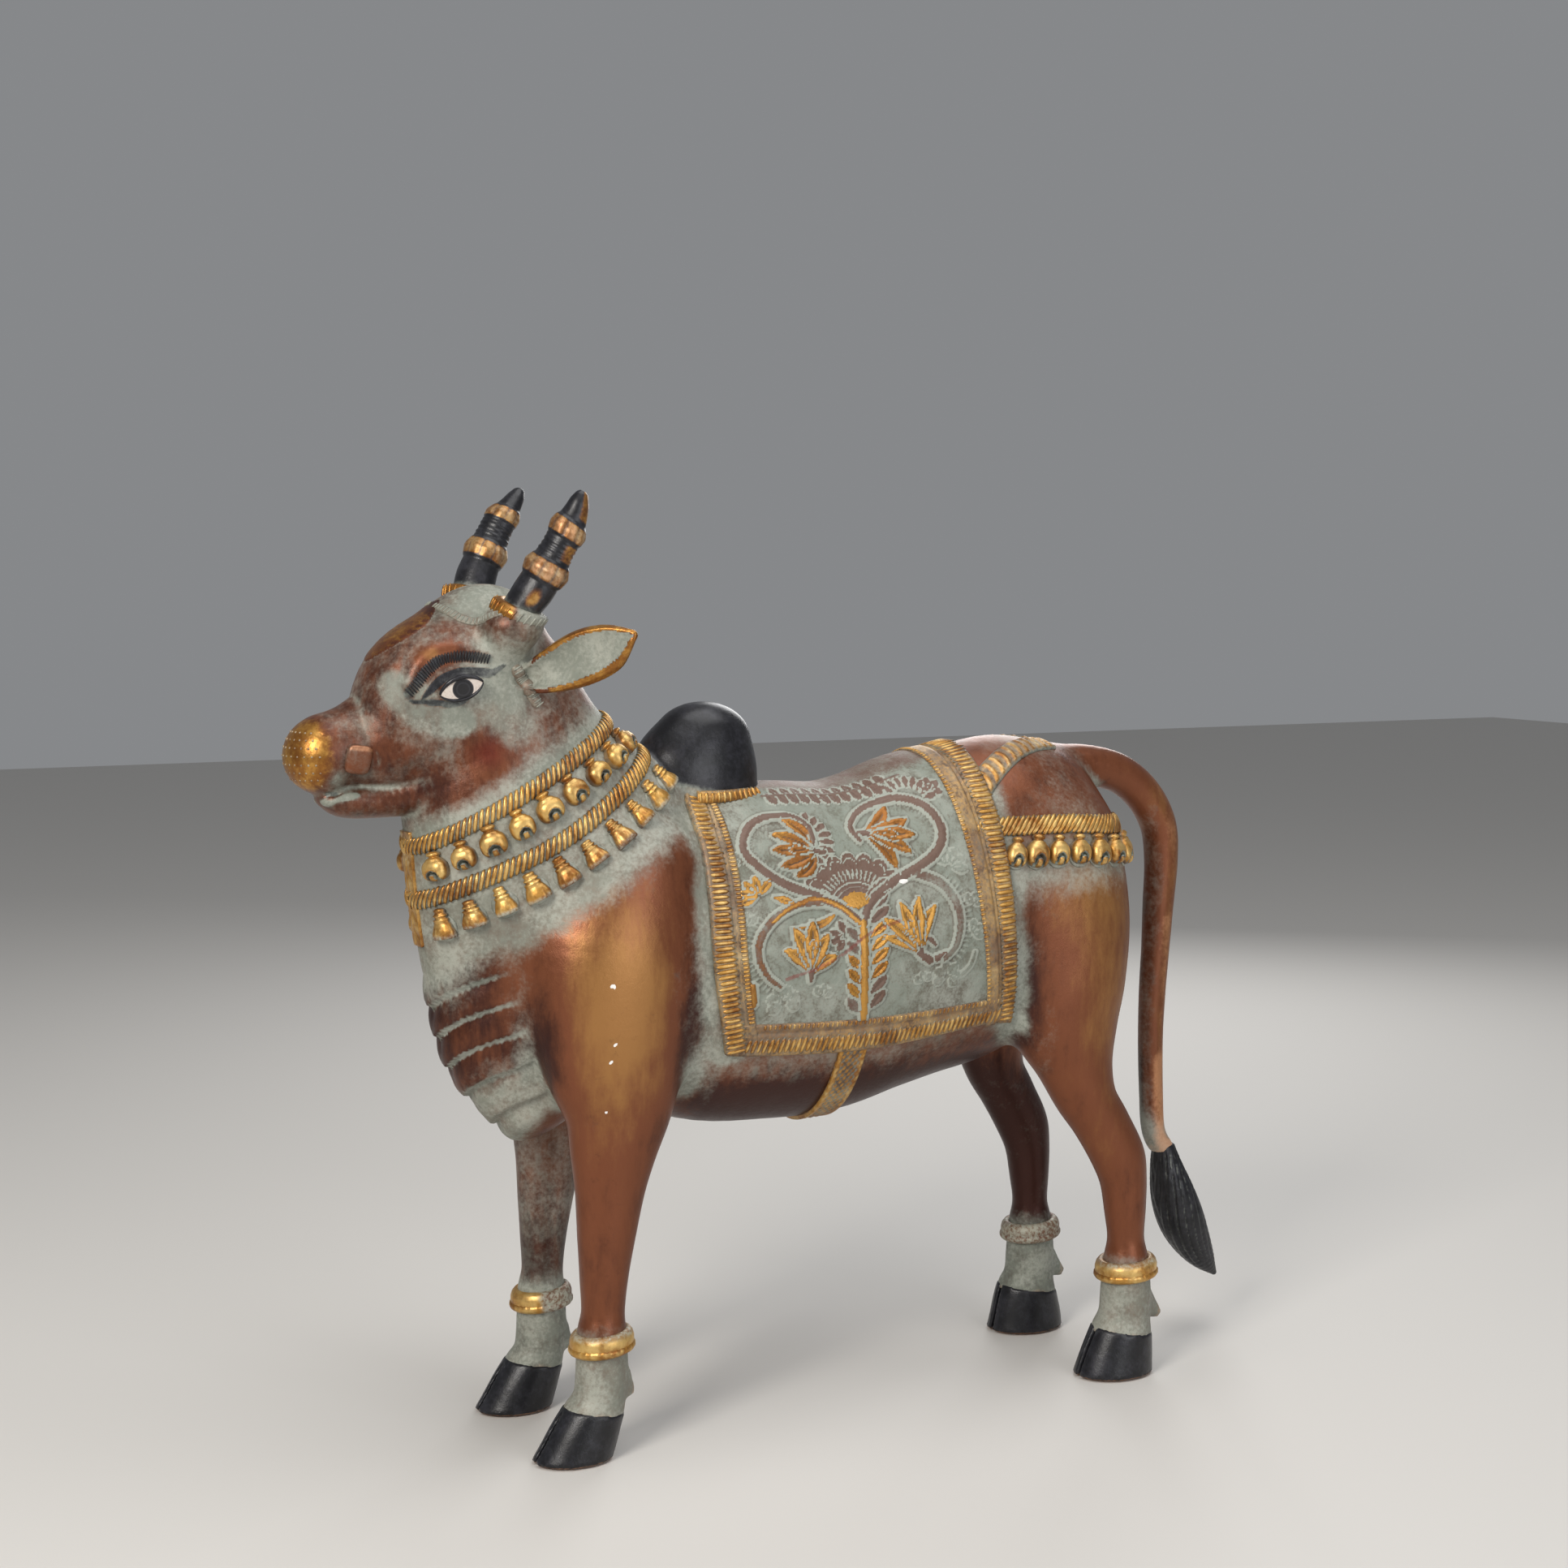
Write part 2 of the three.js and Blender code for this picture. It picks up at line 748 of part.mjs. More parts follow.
// A bar of round section through the points, closed at both ends; a hoop joins its ends instead.
function bar(points, radii, sides, ups, hoop = false) {
  const positions = [];
  const faces = [];
  const n = points.length;
  points.forEach((p, i) => {
    const before = hoop ? points[(i + n - 1) % n] : points[Math.max(0, i - 1)];
    const after = hoop ? points[(i + 1) % n] : points[Math.min(n - 1, i + 1)];
    const along = unit(sub(after, before));
    const side = unit(cross(along, ups[i]));
    const up = cross(side, along);
    const [ru, rs] = [radii[i]].flat().length > 1 ? radii[i] : [radii[i], radii[i]];
    for (let k = 0; k < sides; k++) {
      const a = (2 * Math.PI * (k + 0.5)) / sides;
      positions.push(...add(p, add(mul(up, ru * Math.cos(a)), mul(side, rs * Math.sin(a)))));
    }
  });
  const rings = hoop ? n : n - 1;
  for (let i = 0; i < rings; i++)
    for (let k = 0; k < sides; k++) {
      const a = i * sides + k;
      const b = i * sides + ((k + 1) % sides);
      const c = ((i + 1) % n) * sides + k;
      const d = ((i + 1) % n) * sides + ((k + 1) % sides);
      faces.push(a, b, d, a, d, c);
    }
  if (!hoop)
    for (let k = 1; k + 1 < sides; k++) {
      const z = (n - 1) * sides;
      faces.push(0, k + 1, k, z, z + k, z + k + 1);
    }
  return turnedOut({ positions, faces });
}

// A bar that lies on the body, its middle `lift` above the surface.
const onBody = (spots, radius, sides, lift) =>
  bar(
    spots.map((s) => raised(s, lift)),
    spots.map((s, i) => (Array.isArray(radius) ? radius[i] : radius)),
    sides,
    spots.map((s) => s.out),
  );

// A plate over a grid of surface spots, from `under` below the surface to `over` above it.
function plate(rows, over, under = 4) {
  const nr = rows.length;
  const nc = rows[0].length;
  const positions = [];
  const faces = [];
  for (const by of [over, -under])
    for (const row of rows) for (const spot of row) positions.push(...raised(spot, by));
  const id = (layer, r, c) => (layer * nr + r) * nc + c;
  for (let r = 0; r + 1 < nr; r++)
    for (let c = 0; c + 1 < nc; c++)
      for (const layer of [0, 1]) {
        const q = [id(layer, r, c), id(layer, r, c + 1), id(layer, r + 1, c + 1), id(layer, r + 1, c)];
        if (layer) q.reverse();
        faces.push(q[0], q[1], q[2], q[0], q[2], q[3]);
      }
  const rim = [];
  for (let c = 0; c + 1 < nc; c++) rim.push([0, c]);
  for (let r = 0; r + 1 < nr; r++) rim.push([r, nc - 1]);
  for (let c = nc - 1; c > 0; c--) rim.push([nr - 1, c]);
  for (let r = nr - 1; r > 0; r--) rim.push([r, 0]);
  rim.forEach((a, i) => {
    const b = rim[(i + 1) % rim.length];
    faces.push(id(0, ...a), id(1, ...a), id(1, ...b), id(0, ...a), id(1, ...b), id(0, ...b));
  });
  return turnedOut({ positions, faces });
}

// A turned shape of few sides along an axis: rows of height share and radius share.
const ROUND_BELL = [
  [-0.5, 0.36],
  [-0.2, 0.5],
  [-0.08, 0.95],
  [0.22, 1],
  [0.5, 0.55],
];
const TASSEL = [
  [-0.5, 0.35],
  [-0.08, 0.55],
  [0.5, 1],
];
function turned(profile, centre, along, up, length, radius, sides = 5) {
  const points = profile.map(([t]) => add(centre, mul(along, t * length)));
  return bar(
    points,
    profile.map(([, r]) => r * radius),
    sides,
    points.map(() => up),
  );
}

// A small pointed grain, as for a petal.
function grain(from, to, out, width, height) {
  const middle = mix(from, to, 0.55);
  const side = mul(unit(cross(sub(to, from), out)), width / 2);
  const up = mul(out, height);
  const positions = [from, to, add(middle, side), sub(middle, side), add(middle, up), sub(middle, up)].flat();
  const faces = [0, 2, 4, 2, 1, 4, 1, 3, 4, 3, 0, 4, 2, 0, 5, 1, 2, 5, 3, 1, 5, 0, 3, 5];
  return turnedOut({ positions, faces });
}

const range = (n, from, to) => Array.from({ length: n }, (_, i) => from + ((to - from) * i) / (n - 1));

// Spots at even distances along a closely sampled line of spots.
function spread(spots, count, from, to) {
  const length = [0];
  for (let i = 1; i < spots.length; i++)
    length.push(length[i - 1] + Math.hypot(...sub(spots[i].at, spots[i - 1].at)));
  const total = length[length.length - 1];
  return range(count, from, to).map((share) => {
    const i = Math.max(
      1,
      length.findIndex((l) => l >= share * total - 1e-6),
    );
    const t = (share * total - length[i - 1]) / (length[i] - length[i - 1]);
    return { at: mix(spots[i - 1].at, spots[i].at, t), out: unit(mix(spots[i - 1].out, spots[i].out, t)) };
  });
}

// Necklaces: slanting hoops from the nape to the throat that sag at the sides.
const NECKLACES = [
  {
    nape: [0, -165, 508],
    throat: [0, -311, 413],
    sag: 8,
    rope: 6.2,
    drop: 15,
    bells: 9,
    from: 0.14,
    to: 0.92,
    profile: ROUND_BELL,
    size: [17.5, 8.5],
  },
  {
    nape: [0, -139, 483],
    throat: [0, -308, 380],
    sag: 15,
    rope: 6.2,
    drop: 16,
    bells: 10,
    from: 0.15,
    to: 0.92,
    profile: TASSEL,
    size: [18, 8.5],
  },
];
const HOOP_STEPS = 41;

function hoopSpots({ nape, throat, sag }, drop) {
  const centre = mix(nape, throat, 0.5);
  const back = unit(sub(nape, throat));
  const down = [0, -back[2], back[1]];
  const below = down[2] < 0 ? down : mul(down, -1);
  return range(HOOP_STEPS, -0.06, Math.PI + 0.06).map((a) => {
    const from = add(centre, mul(below, sag * Math.sin(a) ** 2 + drop));
    return outward(neckSkin, from, add(mul(back, Math.cos(a)), [Math.sin(a), 0, 0]));
  });
}

const ornaments = [];

for (const n of NECKLACES) {
  const line = hoopSpots(n, 0);
  ornaments.push(onBody(spread(line, 17, 0, 1), n.rope, 6, 0.4));
  const above = spread(line, n.bells, n.from, n.to);
  const below = spread(hoopSpots(n, n.drop), n.bells, n.from, n.to);
  above.forEach((top, i) => {
    const along = unit(sub(below[i].at, top.at));
    ornaments.push(turned(n.profile, raised(below[i], 3.2), along, below[i].out, ...n.size));
  });
}

// The upright strip that joins the necklaces at the throat.
const STRIP_HALF = 8;
ornaments.push(
  plate(
    range(6, 428, 352).map((z) =>
      [-STRIP_HALF, 0, STRIP_HALF].map((x) => outward(neckSkin, [0, -250, z], unit([x, -62, 0]))),
    ),
    3.2,
  ),
);

// Saddle cloth: places on it are [Y, angle down from the spine in degrees].
const CLOTH_AXIS = 345;
const CLOTH_LOW = 135;
const frontEdge = (angle) => -122 + 13 * Math.max(0, (angle - 80) / 55) ** 2;
const rearEdge = (angle) => 109 + 15 * (angle / 135) ** 2;
const frontBorder = 25;
const rearBorder = (angle) => 37 - 12 * (angle / 135);
const BOTTOM_BORDER = 13;
const CLOTH_THICK = 3;
const BORDER_THICK = 5;
const RADIAN = Math.PI / 180;
const onCloth = (y, angle) =>
  outward(trunk, [0, y, CLOTH_AXIS], [Math.sin(angle * RADIAN), 0, Math.cos(angle * RADIAN)]);
const clothGrid = (rows, cols, left, right, top, bottom) =>
  range(rows, top, bottom).map((a) => range(cols, left(a), right(a)).map((y) => onCloth(y, a)));

ornaments.push(
  plate(clothGrid(11, 9, (a) => frontEdge(a) + 2, (a) => rearEdge(a) - 2, -8, CLOTH_LOW - 1), CLOTH_THICK),
  plate(clothGrid(13, 2, frontEdge, (a) => frontEdge(a) + frontBorder, -8, CLOTH_LOW), BORDER_THICK),
  plate(clothGrid(13, 2, (a) => rearEdge(a) - rearBorder(a), rearEdge, -8, CLOTH_LOW + 1), BORDER_THICK),
  plate(
    clothGrid(
      2,
      9,
      (a) => frontEdge(a) + 6,
      (a) => rearEdge(a) - 6,
      CLOTH_LOW - BOTTOM_BORDER,
      CLOTH_LOW + 0.5,
    ),
    BORDER_THICK - 0.6,
  ),
);

// Vine relief on the cloth.
const STEM = [
  [-12, 127],
  [-9, 100],
  [-6, 72],
];
const SCROLLS = [
  [
    [-7, 78],
    [-38, 68],
    [-78, 60],
    [-92, 42],
    [-72, 26],
    [-42, 26],
    [-26, 40],
  ],
  [
    [-5, 78],
    [22, 66],
    [56, 58],
    [66, 40],
    [46, 25],
    [16, 25],
    [2, 36],
  ],
  [
    [-10, 100],
    [-26, 80],
    [-58, 72],
    [-82, 86],
    [-76, 106],
    [-52, 112],
    [-40, 102],
  ],
  [
    [-8, 100],
    [8, 82],
    [36, 64],
    [66, 76],
    [68, 100],
    [44, 108],
    [28, 98],
  ],
];
const LOTUSES = [
  { at: [-32, 42], tip: [-62, 36] },
  { at: [10, 40], tip: [38, 32] },
  { at: [-52, 98], tip: [-56, 76] },
  { at: [34, 88], tip: [12, 72] },
];
const VINE_LIFT = CLOTH_THICK + 0.3;
for (const [path, count] of [[STEM, 5], ...SCROLLS.map((s) => [s, 12])]) {
  const spots = range(count, 0, 1).map((t) => onCloth(...alongRows(path, t)));
  ornaments.push(onBody(spots, range(count, 2.4, 1.7), 4, VINE_LIFT));
}
for (const { at, tip } of LOTUSES) {
  const root = onCloth(...at);
  const end = onCloth(...tip);
  const long = sub(raised(end, VINE_LIFT), raised(root, VINE_LIFT));
  const across = cross(root.out, long);
  for (const turn of [-1.1, -0.55, 0, 0.55, 1.1]) {
    const way = add(mul(long, Math.cos(turn)), mul(across, Math.sin(turn)));
    const reach = nearest(trunk, add(root.at, mul(way, 0.9 - 0.12 * Math.abs(turn))));
    const start = add(raised(root, VINE_LIFT - 0.3 * turn), mul(way, 0.1));
    ornaments.push(grain(start, raised(reach, VINE_LIFT), root.out, 7, 2.6));
  }
}
// Palmette where the scrolls part.
for (const turn of range(7, -1.35, 1.35)) {
  const root = onCloth(-6, 66);
  const reach = onCloth(-6 + 17 * Math.sin(turn), 66 - 12 * Math.cos(turn));
  const start = mix(raised(root, VINE_LIFT - 0.2 * turn), raised(reach, VINE_LIFT), 0.12);
  ornaments.push(grain(start, raised(reach, VINE_LIFT), root.out, 5.5, 2.6));
}

// Girth strap under the belly.
ornaments.push(
  plate(
    range(6, 130, 186).map((a) => [-22, -1].map((y) => onCloth(y - 4 * Math.sin((a - 130) / 56), a))),
    2.6,
  ),
);

// Hump collar on the cloth.
ornaments.push(
  onBody(
    range(9, -0.3, Math.PI / 2 + 0.15).map((b) =>
      outward(body, [0, -94, 456], [Math.cos(b), Math.sin(b), 0]),
    ),
    [4.5, 4.5, 4.5, 4.5, 4.5, 4.5, 4.5, 4.5, 4.5],
    5,
    0.5,
  ),
);

// Straps over the rump to the root of the tail.
const STRAP_FROM = [54, 100];
const STRAP_TO = [12, 196];
const STRAP_HALF = 12;
const strapSide = unit([STRAP_TO[1] - STRAP_FROM[1], STRAP_FROM[0] - STRAP_TO[0], 0]);
ornaments.push(
  plate(
    range(6, 0, 1).map((t) =>
      [-STRAP_HALF, 0, STRAP_HALF].map((w) => {
        const [x, y] = mix(STRAP_FROM, STRAP_TO, t);
        return outward(body, [x + strapSide[0] * w, y + strapSide[1] * w, 400], [0, 0, 1]);
      }),
    ),
    2.6,
  ),
);

// Breeching band round the haunches, with bells.
const BREECH_CENTRE = [0, 170];
const breech = (count, z) =>
  range(count, -48 * RADIAN, Math.PI / 2 + 0.1).map((b) =>
    outward(body, [...BREECH_CENTRE, z - 6 * Math.max(0, Math.sin(b))], [Math.cos(b), Math.sin(b), 0]),
  );
const BREECH_BELLS = 8;
ornaments.push(onBody(spread(breech(25, 420), 13, 0, 1), 5.6, 5, 1.4));
{
  const above = spread(breech(41, 420), BREECH_BELLS, 0.09, 0.93);
  const below = spread(breech(41, 403), BREECH_BELLS, 0.09, 0.93);
  above.forEach((top, i) => {
    const along = unit(sub(below[i].at, top.at));
    ornaments.push(turned(ROUND_BELL, raised(below[i], 3), along, below[i].out, 20, 8.5));
  });
}

// Anklets over the fetlocks.
for (const [x, y, radius] of [
  [59, -196, 18.5],
  [64, 228, 19.5],
])
  for (const [z, thick] of [
    [83, 3.4],
    [76, 3.8],
  ]) {
    const points = range(13, 0, 2 * Math.PI)
      .slice(1)
      .map((a) => [x + (radius - 0.8) * Math.cos(a), y + radius * Math.sin(a), z + 1.5 * Math.sin(a)]);
    ornaments.push(
      bar(
        points,
        points.map(() => thick),
        4,
        points.map(() => [0, 0, 1]),
        true,
      ),
    );
  }

// Horns, swept.
{
  const line = range(41, 0, 1).map((t) => alongRows(HORN_LINE, t));
  const length = [0];
  for (let i = 1; i < line.length; i++) length.push(length[i - 1] + Math.hypot(...sub(line[i], line[i - 1])));
  const points = HORN_PROFILE.map(([s]) => {
    const i = Math.min(line.length - 1, Math.max(1, length.findIndex((l) => l >= s)));
    return mix(line[i - 1], line[i], (s - length[i - 1]) / (length[i] - length[i - 1]));
  });
  ornaments.push(
    bar(
      points,
      HORN_PROFILE.map(([, r]) => r),
      9,
      points.map(() => [1, 0, 0]),
    ),
  );
}

// Head: collar at the horn root, brow, leaf mark, poll band, ear strap and the square boss by the mouth.
const HORN_ROOT = [43, -246.5, 581];
const HORN_WAY = unit([6, 10, 25]);
{
  const u = unit(cross(HORN_WAY, [1, 0, 0]));
  const v = cross(HORN_WAY, u);
  const points = range(11, 0, 2 * Math.PI)
    .slice(1)
    .map((a) => add(HORN_ROOT, add(mul(u, 14 * Math.cos(a)), mul(v, 14 * Math.sin(a)))));
  ornaments.push(
    bar(
      points,
      points.map(() => 3.2),
      4,
      points.map(() => HORN_WAY),
      true,
    ),
  );
}
const lineOnHead = (points, radius, lift, count = 7) =>
  onBody(
    range(count, 0, 1).map((t) => nearest(body, alongRows(points, t))),
    radius,
    5,
    lift,
  );
ornaments.push(
  lineOnHead(
    [
      [37, -316, 517],
      [39, -304, 536],
      [40, -289, 547],
      [44, -264, 546],
    ],
    [1.8, 2.4, 2.8, 2.8, 2.6, 2.2, 1.6],
    0.8,
  ),
  lineOnHead(
    [
      [-3, -285, 588],
      [18, -283, 580],
      [34, -268, 574],
      [42, -256, 566],
    ],
    2.2,
    0.8,
  ),
  lineOnHead(
    [
      [43, -247, 538],
      [45, -240, 526],
      [43, -231, 513],
    ],
    2.4,
    0.6,
    5,
  ),
);
ornaments.push(
  plate(
    range(6, 0, 1).map((t) => {
      const [y, z] = mix([-324, 550], [-292, 580], t);
      const wide = 1.5 + 9 * Math.sin(Math.PI * Math.min(1, t * 1.15)) ** 0.8;
      return [-wide, 0, wide].map((x) => nearest(body, [x, y, z]));
    }),
    2,
    3,
  ),
);
{
  const boss = nearest(body, [25, -351, 482]);
  const along = unit(cross(boss.out, [0.2, 0.3, 1]));
  ornaments.push(turned([[-0.5, 0.8], [0, 1], [0.5, 0.8]], raised(boss, 0.5), along, boss.out, 13, 7.5, 4));
}

// Folds of the dewlap, from its front edge up towards the shoulder.
const FOLDS = range(5, 0, 1).map((t) => ({
  low: [-1.5, -294 + 49 * t * (0.5 + 0.5 * t), 306 - 84 * t],
  high: [46, -262 + 36 * t, 334 - 80 * t],
}));
for (const { low, high } of FOLDS) {
  const spots = range(6, 0, 1).map((t) => nearest(body, mix(low, high, t)));
  ornaments.push(onBody(spots, [3.4, 3.6, 3.6, 3.2, 2.6, 1.6], 4, 0));
}

const box = new THREE.BoxGeometry(...HALF_BOX).translate(HALF_BOX[0] / 2, 0, HALF_BOX[2] / 2);
const boxMesh = { positions: [], faces: [] };
{
  const seen = new Map();
  const p = box.getAttribute("position");
  const id = [];
  for (let i = 0; i < p.count; i++) {
    const key = [p.getX(i), p.getY(i), p.getZ(i)].join();
    if (!seen.has(key)) {
      seen.set(key, boxMesh.positions.length / 3);
      boxMesh.positions.push(p.getX(i), p.getY(i), p.getZ(i));
    }
    id.push(seen.get(key));
  }
  for (const i of box.index.array) boxMesh.faces.push(id[i]);
}
const dressed = ornaments.reduce((sum, piece) => sum.add(piece), solid(base));
// Small pockets closed in beneath the ornaments are filled: only the outer skin is kept.
const outerSkin = (s) => s.decompose().reduce((most, o) => (o.volume() > most.volume() ? o : most));
const plainMesh = ({ vertProperties, triVerts }) => ({
  positions: [...vertProperties],
  faces: [...triVerts],
});
const carved = simplify(plainMesh(outerSkin(dressed).getMesh()), HALF_TRIANGLES);
const half = outerSkin(solid(carved).intersect(solid(boxMesh))).getMesh();

// The half, without its cut face, and its mirror image, joined along the middle plane.
function mirrored(mesh) {
  const n = mesh.numProp;
  const key = new Map();
  const positions = [];
  const idOf = (x, y, z) => {
    const name = [x, y, z].map((v) => Math.round(v * 1e3)).join();
    if (!key.has(name)) {
      key.set(name, positions.length / 3);
      positions.push(x, y, z);
    }
    return key.get(name);
  };
  const faces = [];
  for (let i = 0; i < mesh.triVerts.length; i += 3) {
    const pts = [0, 1, 2].map((k) => {
      const v = mesh.triVerts[i + k] * n;
      const x = mesh.vertProperties[v];
      return [Math.abs(x) < 1e-3 ? 0 : x, mesh.vertProperties[v + 1], mesh.vertProperties[v + 2]];
    });
    if (pts.every((p) => p[0] === 0)) continue;
    const a = pts.map((p) => idOf(...p));
    const b = pts.map((p) => idOf(-p[0] || 0, p[1], p[2]));
    faces.push(...a, b[0], b[2], b[1]);
  }
  return { positions, faces };
}

// The statue isn't quite even: its right horn stands higher and further forward than the left one,
// and its right hind leg a little further forward.
const ease = (v, from, to) => {
  const t = clamp((v - from) / (to - from), 0, 1);
  return t * t * (3 - 2 * t);
};
const HORN_UP = -0.115;
const HORN_BACK = 0.07;
const LEG_FORWARD = -6;

function uneven([x, y, z]) {
  const horn = ease(z, 555, 600) * (1 - 0.7 * ease(z, 630, 665));
  const leg = ease(-x, 0, 45) * ease(y, 120, 190) * (1 - ease(z, 190, 290)) * ease(z, 0, 40);
  return [x, y + HORN_BACK * x * horn + LEG_FORWARD * leg, z + HORN_UP * x * horn];
}

const whole = mirrored(half);
for (let i = 0; i < whole.positions.length; i += 3) {
  const moved = uneven(whole.positions.slice(i, i + 3));
  for (let k = 0; k < 3; k++) whole.positions[i + k] = moved[k];
}

const geometry = new THREE.BufferGeometry()
  .setAttribute("position", new THREE.Float32BufferAttribute(whole.positions, 3))
  .setIndex(whole.faces);
// The stance is laid out about its middle; the bounding box is then centred on X = Y = 0, the soles at Z = 0.
geometry.computeBoundingBox();
const { min, max } = geometry.boundingBox;
geometry.translate(-(min.x + max.x) / 2, -(min.y + max.y) / 2, -min.z);
geometry.computeVertexNormals();

const root = new THREE.Group();
root.name = "nandi";
const bull = new THREE.Mesh(
  geometry,
  new THREE.MeshStandardMaterial({ color: 0x8a4a2a, roughness: 0.42, metalness: 0.8 }),
);
bull.name = "nandi_bull";
root.add(bull);

export default root;
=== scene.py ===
"""Standing nandi bull: the carved, gilded and patinated surface of the casting.

Laid out as a Blender add-on, whose operators make one part of the statue each.
"""

import itertools
import math

import bpy
import numpy as np
from mathutils import Matrix, Vector


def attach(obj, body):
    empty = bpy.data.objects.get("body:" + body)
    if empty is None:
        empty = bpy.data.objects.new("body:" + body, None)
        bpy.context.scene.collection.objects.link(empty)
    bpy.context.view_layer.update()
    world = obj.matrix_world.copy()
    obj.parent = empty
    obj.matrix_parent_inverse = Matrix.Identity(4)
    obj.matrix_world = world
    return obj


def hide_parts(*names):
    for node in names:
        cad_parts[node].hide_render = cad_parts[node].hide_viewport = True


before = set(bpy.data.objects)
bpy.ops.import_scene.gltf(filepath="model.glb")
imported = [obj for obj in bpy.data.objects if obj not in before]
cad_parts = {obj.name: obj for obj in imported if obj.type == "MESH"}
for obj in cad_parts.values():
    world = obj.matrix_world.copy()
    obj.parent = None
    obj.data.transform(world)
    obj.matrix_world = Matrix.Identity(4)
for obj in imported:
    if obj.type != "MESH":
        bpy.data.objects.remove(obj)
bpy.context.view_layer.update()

bl_info = {
    "name": "Nandi Bull",
    "version": (1, 0, 0),
    "blender": (4, 5, 0),
    "location": "3D View > Sidebar > Nandi",
    "description": "A standing nandi bull with carved cloth, necklaces and painted patina",
    "category": "Add Mesh",
}

NODE = "nandi_bull"
TAG = "nandi_"

# Lengths in this file are millimetres about the middle of the stance until a piece is settled into the frame.
MM = 0.001
SHIFT_Y = 19.3
HORN_UP = -0.115
HORN_BACK = 0.07
LEG_FORWARD = -6.0

CLOTH_AXIS = 345.0
CLOTH_LOW = 135.0
BOTTOM_BORDER = 13.0
PER_DEGREE = 1.7
# Larger than any distance on the statue.
FAR = 1e9


# Numbers, rows and vectors


def ease(v, start, end):
    """Smooth step from 0 at start to 1 at end."""
    t = np.clip((v - start) / (end - start), 0, 1)
    return t * t * (3 - 2 * t)


def unit(v):
    return v / np.maximum(np.linalg.norm(v, axis=-1, keepdims=True), 1e-9)


def peak(v, middle, width):
    """1 at the middle, falling away on both sides like a bell curve."""
    return np.exp(-(((v - middle) / width) ** 2))


def near_spot(p, centre, radius):
    """1 at the centre, fading to 0 at the radius. The radius may differ along X, Y and Z."""
    gap = np.linalg.norm((p - np.array(centre, float)) / np.array(radius, float), axis=-1)
    return 1 - ease(gap, 0, 1)


def spots(values, p, rows):
    """The values with soft spots added to them. A row holds how much, the centre and the radius."""
    for amount, centre, radius in rows:
        values = values + amount * near_spot(p, centre, radius)
    return values


def mirrored(p):
    """The points p, those on the animal's right moved to its left."""
    q = p.copy()
    q[:, 0] = np.abs(q[:, 0])
    return q


def distances(points):
    """How far along the line each of its points lies."""
    return np.concatenate([[0], np.cumsum(np.linalg.norm(np.diff(points, axis=0), axis=1))])


def line_length(points):
    return np.linalg.norm(np.diff(points, axis=0), axis=1).sum()


def along_rows(rows, t):
    """Rows of numbers at the shares t of the way along, passing smoothly through every row."""
    rows = np.asarray(rows, float)
    t = np.atleast_1d(np.asarray(t, float))
    last = len(rows) - 1
    i = np.clip(np.floor(t * last).astype(int), 0, last - 1)
    s = (t * last - i)[:, None]
    p0, p1 = rows[np.maximum(i - 1, 0)], rows[i]
    p2, p3 = rows[i + 1], rows[np.minimum(i + 2, last)]
    m1, m2 = (p2 - p0) / 2, (p3 - p1) / 2
    s2, s3 = s * s, s * s * s
    return p1 * (2 * s3 - 3 * s2 + 1) + m1 * (s3 - 2 * s2 + s) + p2 * (3 * s2 - 2 * s3) + m2 * (s3 - s2)


def smooth_line(points, step):
    """A smooth line through the points with a point every step or so."""
    rough = along_rows(points, np.linspace(0, 1, 8 * len(points)))
    return along_rows(points, np.linspace(0, 1, max(3, int(line_length(rough) / step) + 1)))


# The body as swollen chains of stations. A station holds its centre, the ways up and sideways, half height,
# half width and taper.

STEPS_BETWEEN = 6


class Chain:
    def __init__(self, stations, blend):
        count = (len(stations) - 1) * STEPS_BETWEEN
        self.rows = along_rows(stations, np.linspace(0, 1, count + 1))
        reach = self.rows[:, 9:11].max(axis=1, keepdims=True)
        self.lo = (self.rows[:, :3] - reach).min(axis=0)
        self.hi = (self.rows[:, :3] + reach).max(axis=0)
        self.blend = blend

    def gap(self, p):
        return np.linalg.norm(np.maximum(np.maximum(self.lo - p, 0), p - self.hi), axis=1)

    def distance(self, p):
        best = np.full(len(p), FAR)
        x, y, z = p[:, 0], p[:, 1], p[:, 2]
        for a, b in zip(self.rows[:-1], self.rows[1:]):
            d = b - a
            px, py, pz = x - a[0], y - a[1], z - a[2]
            t = np.clip((px * d[0] + py * d[1] + pz * d[2]) / (d[:3] @ d[:3]), 0, 1)
            px -= t * d[0]
            py -= t * d[1]
            pz -= t * d[2]
            u = px * (a[3] + t * d[3]) + py * (a[4] + t * d[4]) + pz * (a[5] + t * d[5])
            v = px * (a[6] + t * d[6]) + py * (a[7] + t * d[7]) + pz * (a[8] + t * d[8])
            rest = np.maximum(0, px * px + py * py + pz * pz - u * u - v * v)
            h = a[9] + t * d[9]
            w = a[10] + t * d[10]
            if a[11] or b[11]:
                w = w * (1 + (a[11] + t * d[11]) * np.clip(u / h, -1, 1))
            e2 = np.minimum(h, w) ** 2
            un, vn = u / h, v / w
            k0 = np.sqrt(un * un + vn * vn + rest / e2)
            k1 = np.sqrt((un / h) ** 2 + (vn / w) ** 2 + rest / (e2 * e2))
            np.minimum(best, k0 * (k0 - 1) / np.maximum(k1, 1e-9), out=best)
        return best


def middle_chain(rows, blend):
    """Rows of [y, z] of the upper and of the lower outline in the middle plane, half width and taper."""
    made = []
    for yt, zt, yb, zb, wide, taper in rows:
        half = math.hypot(yt - yb, zt - zb) / 2
        n = [0, (yt - yb) / (2 * half), (zt - zb) / (2 * half)]
        made.append([0, (yt + yb) / 2, (zt + zb) / 2, *n, 1, 0, 0, half, wide, taper])
    return Chain(made, blend)


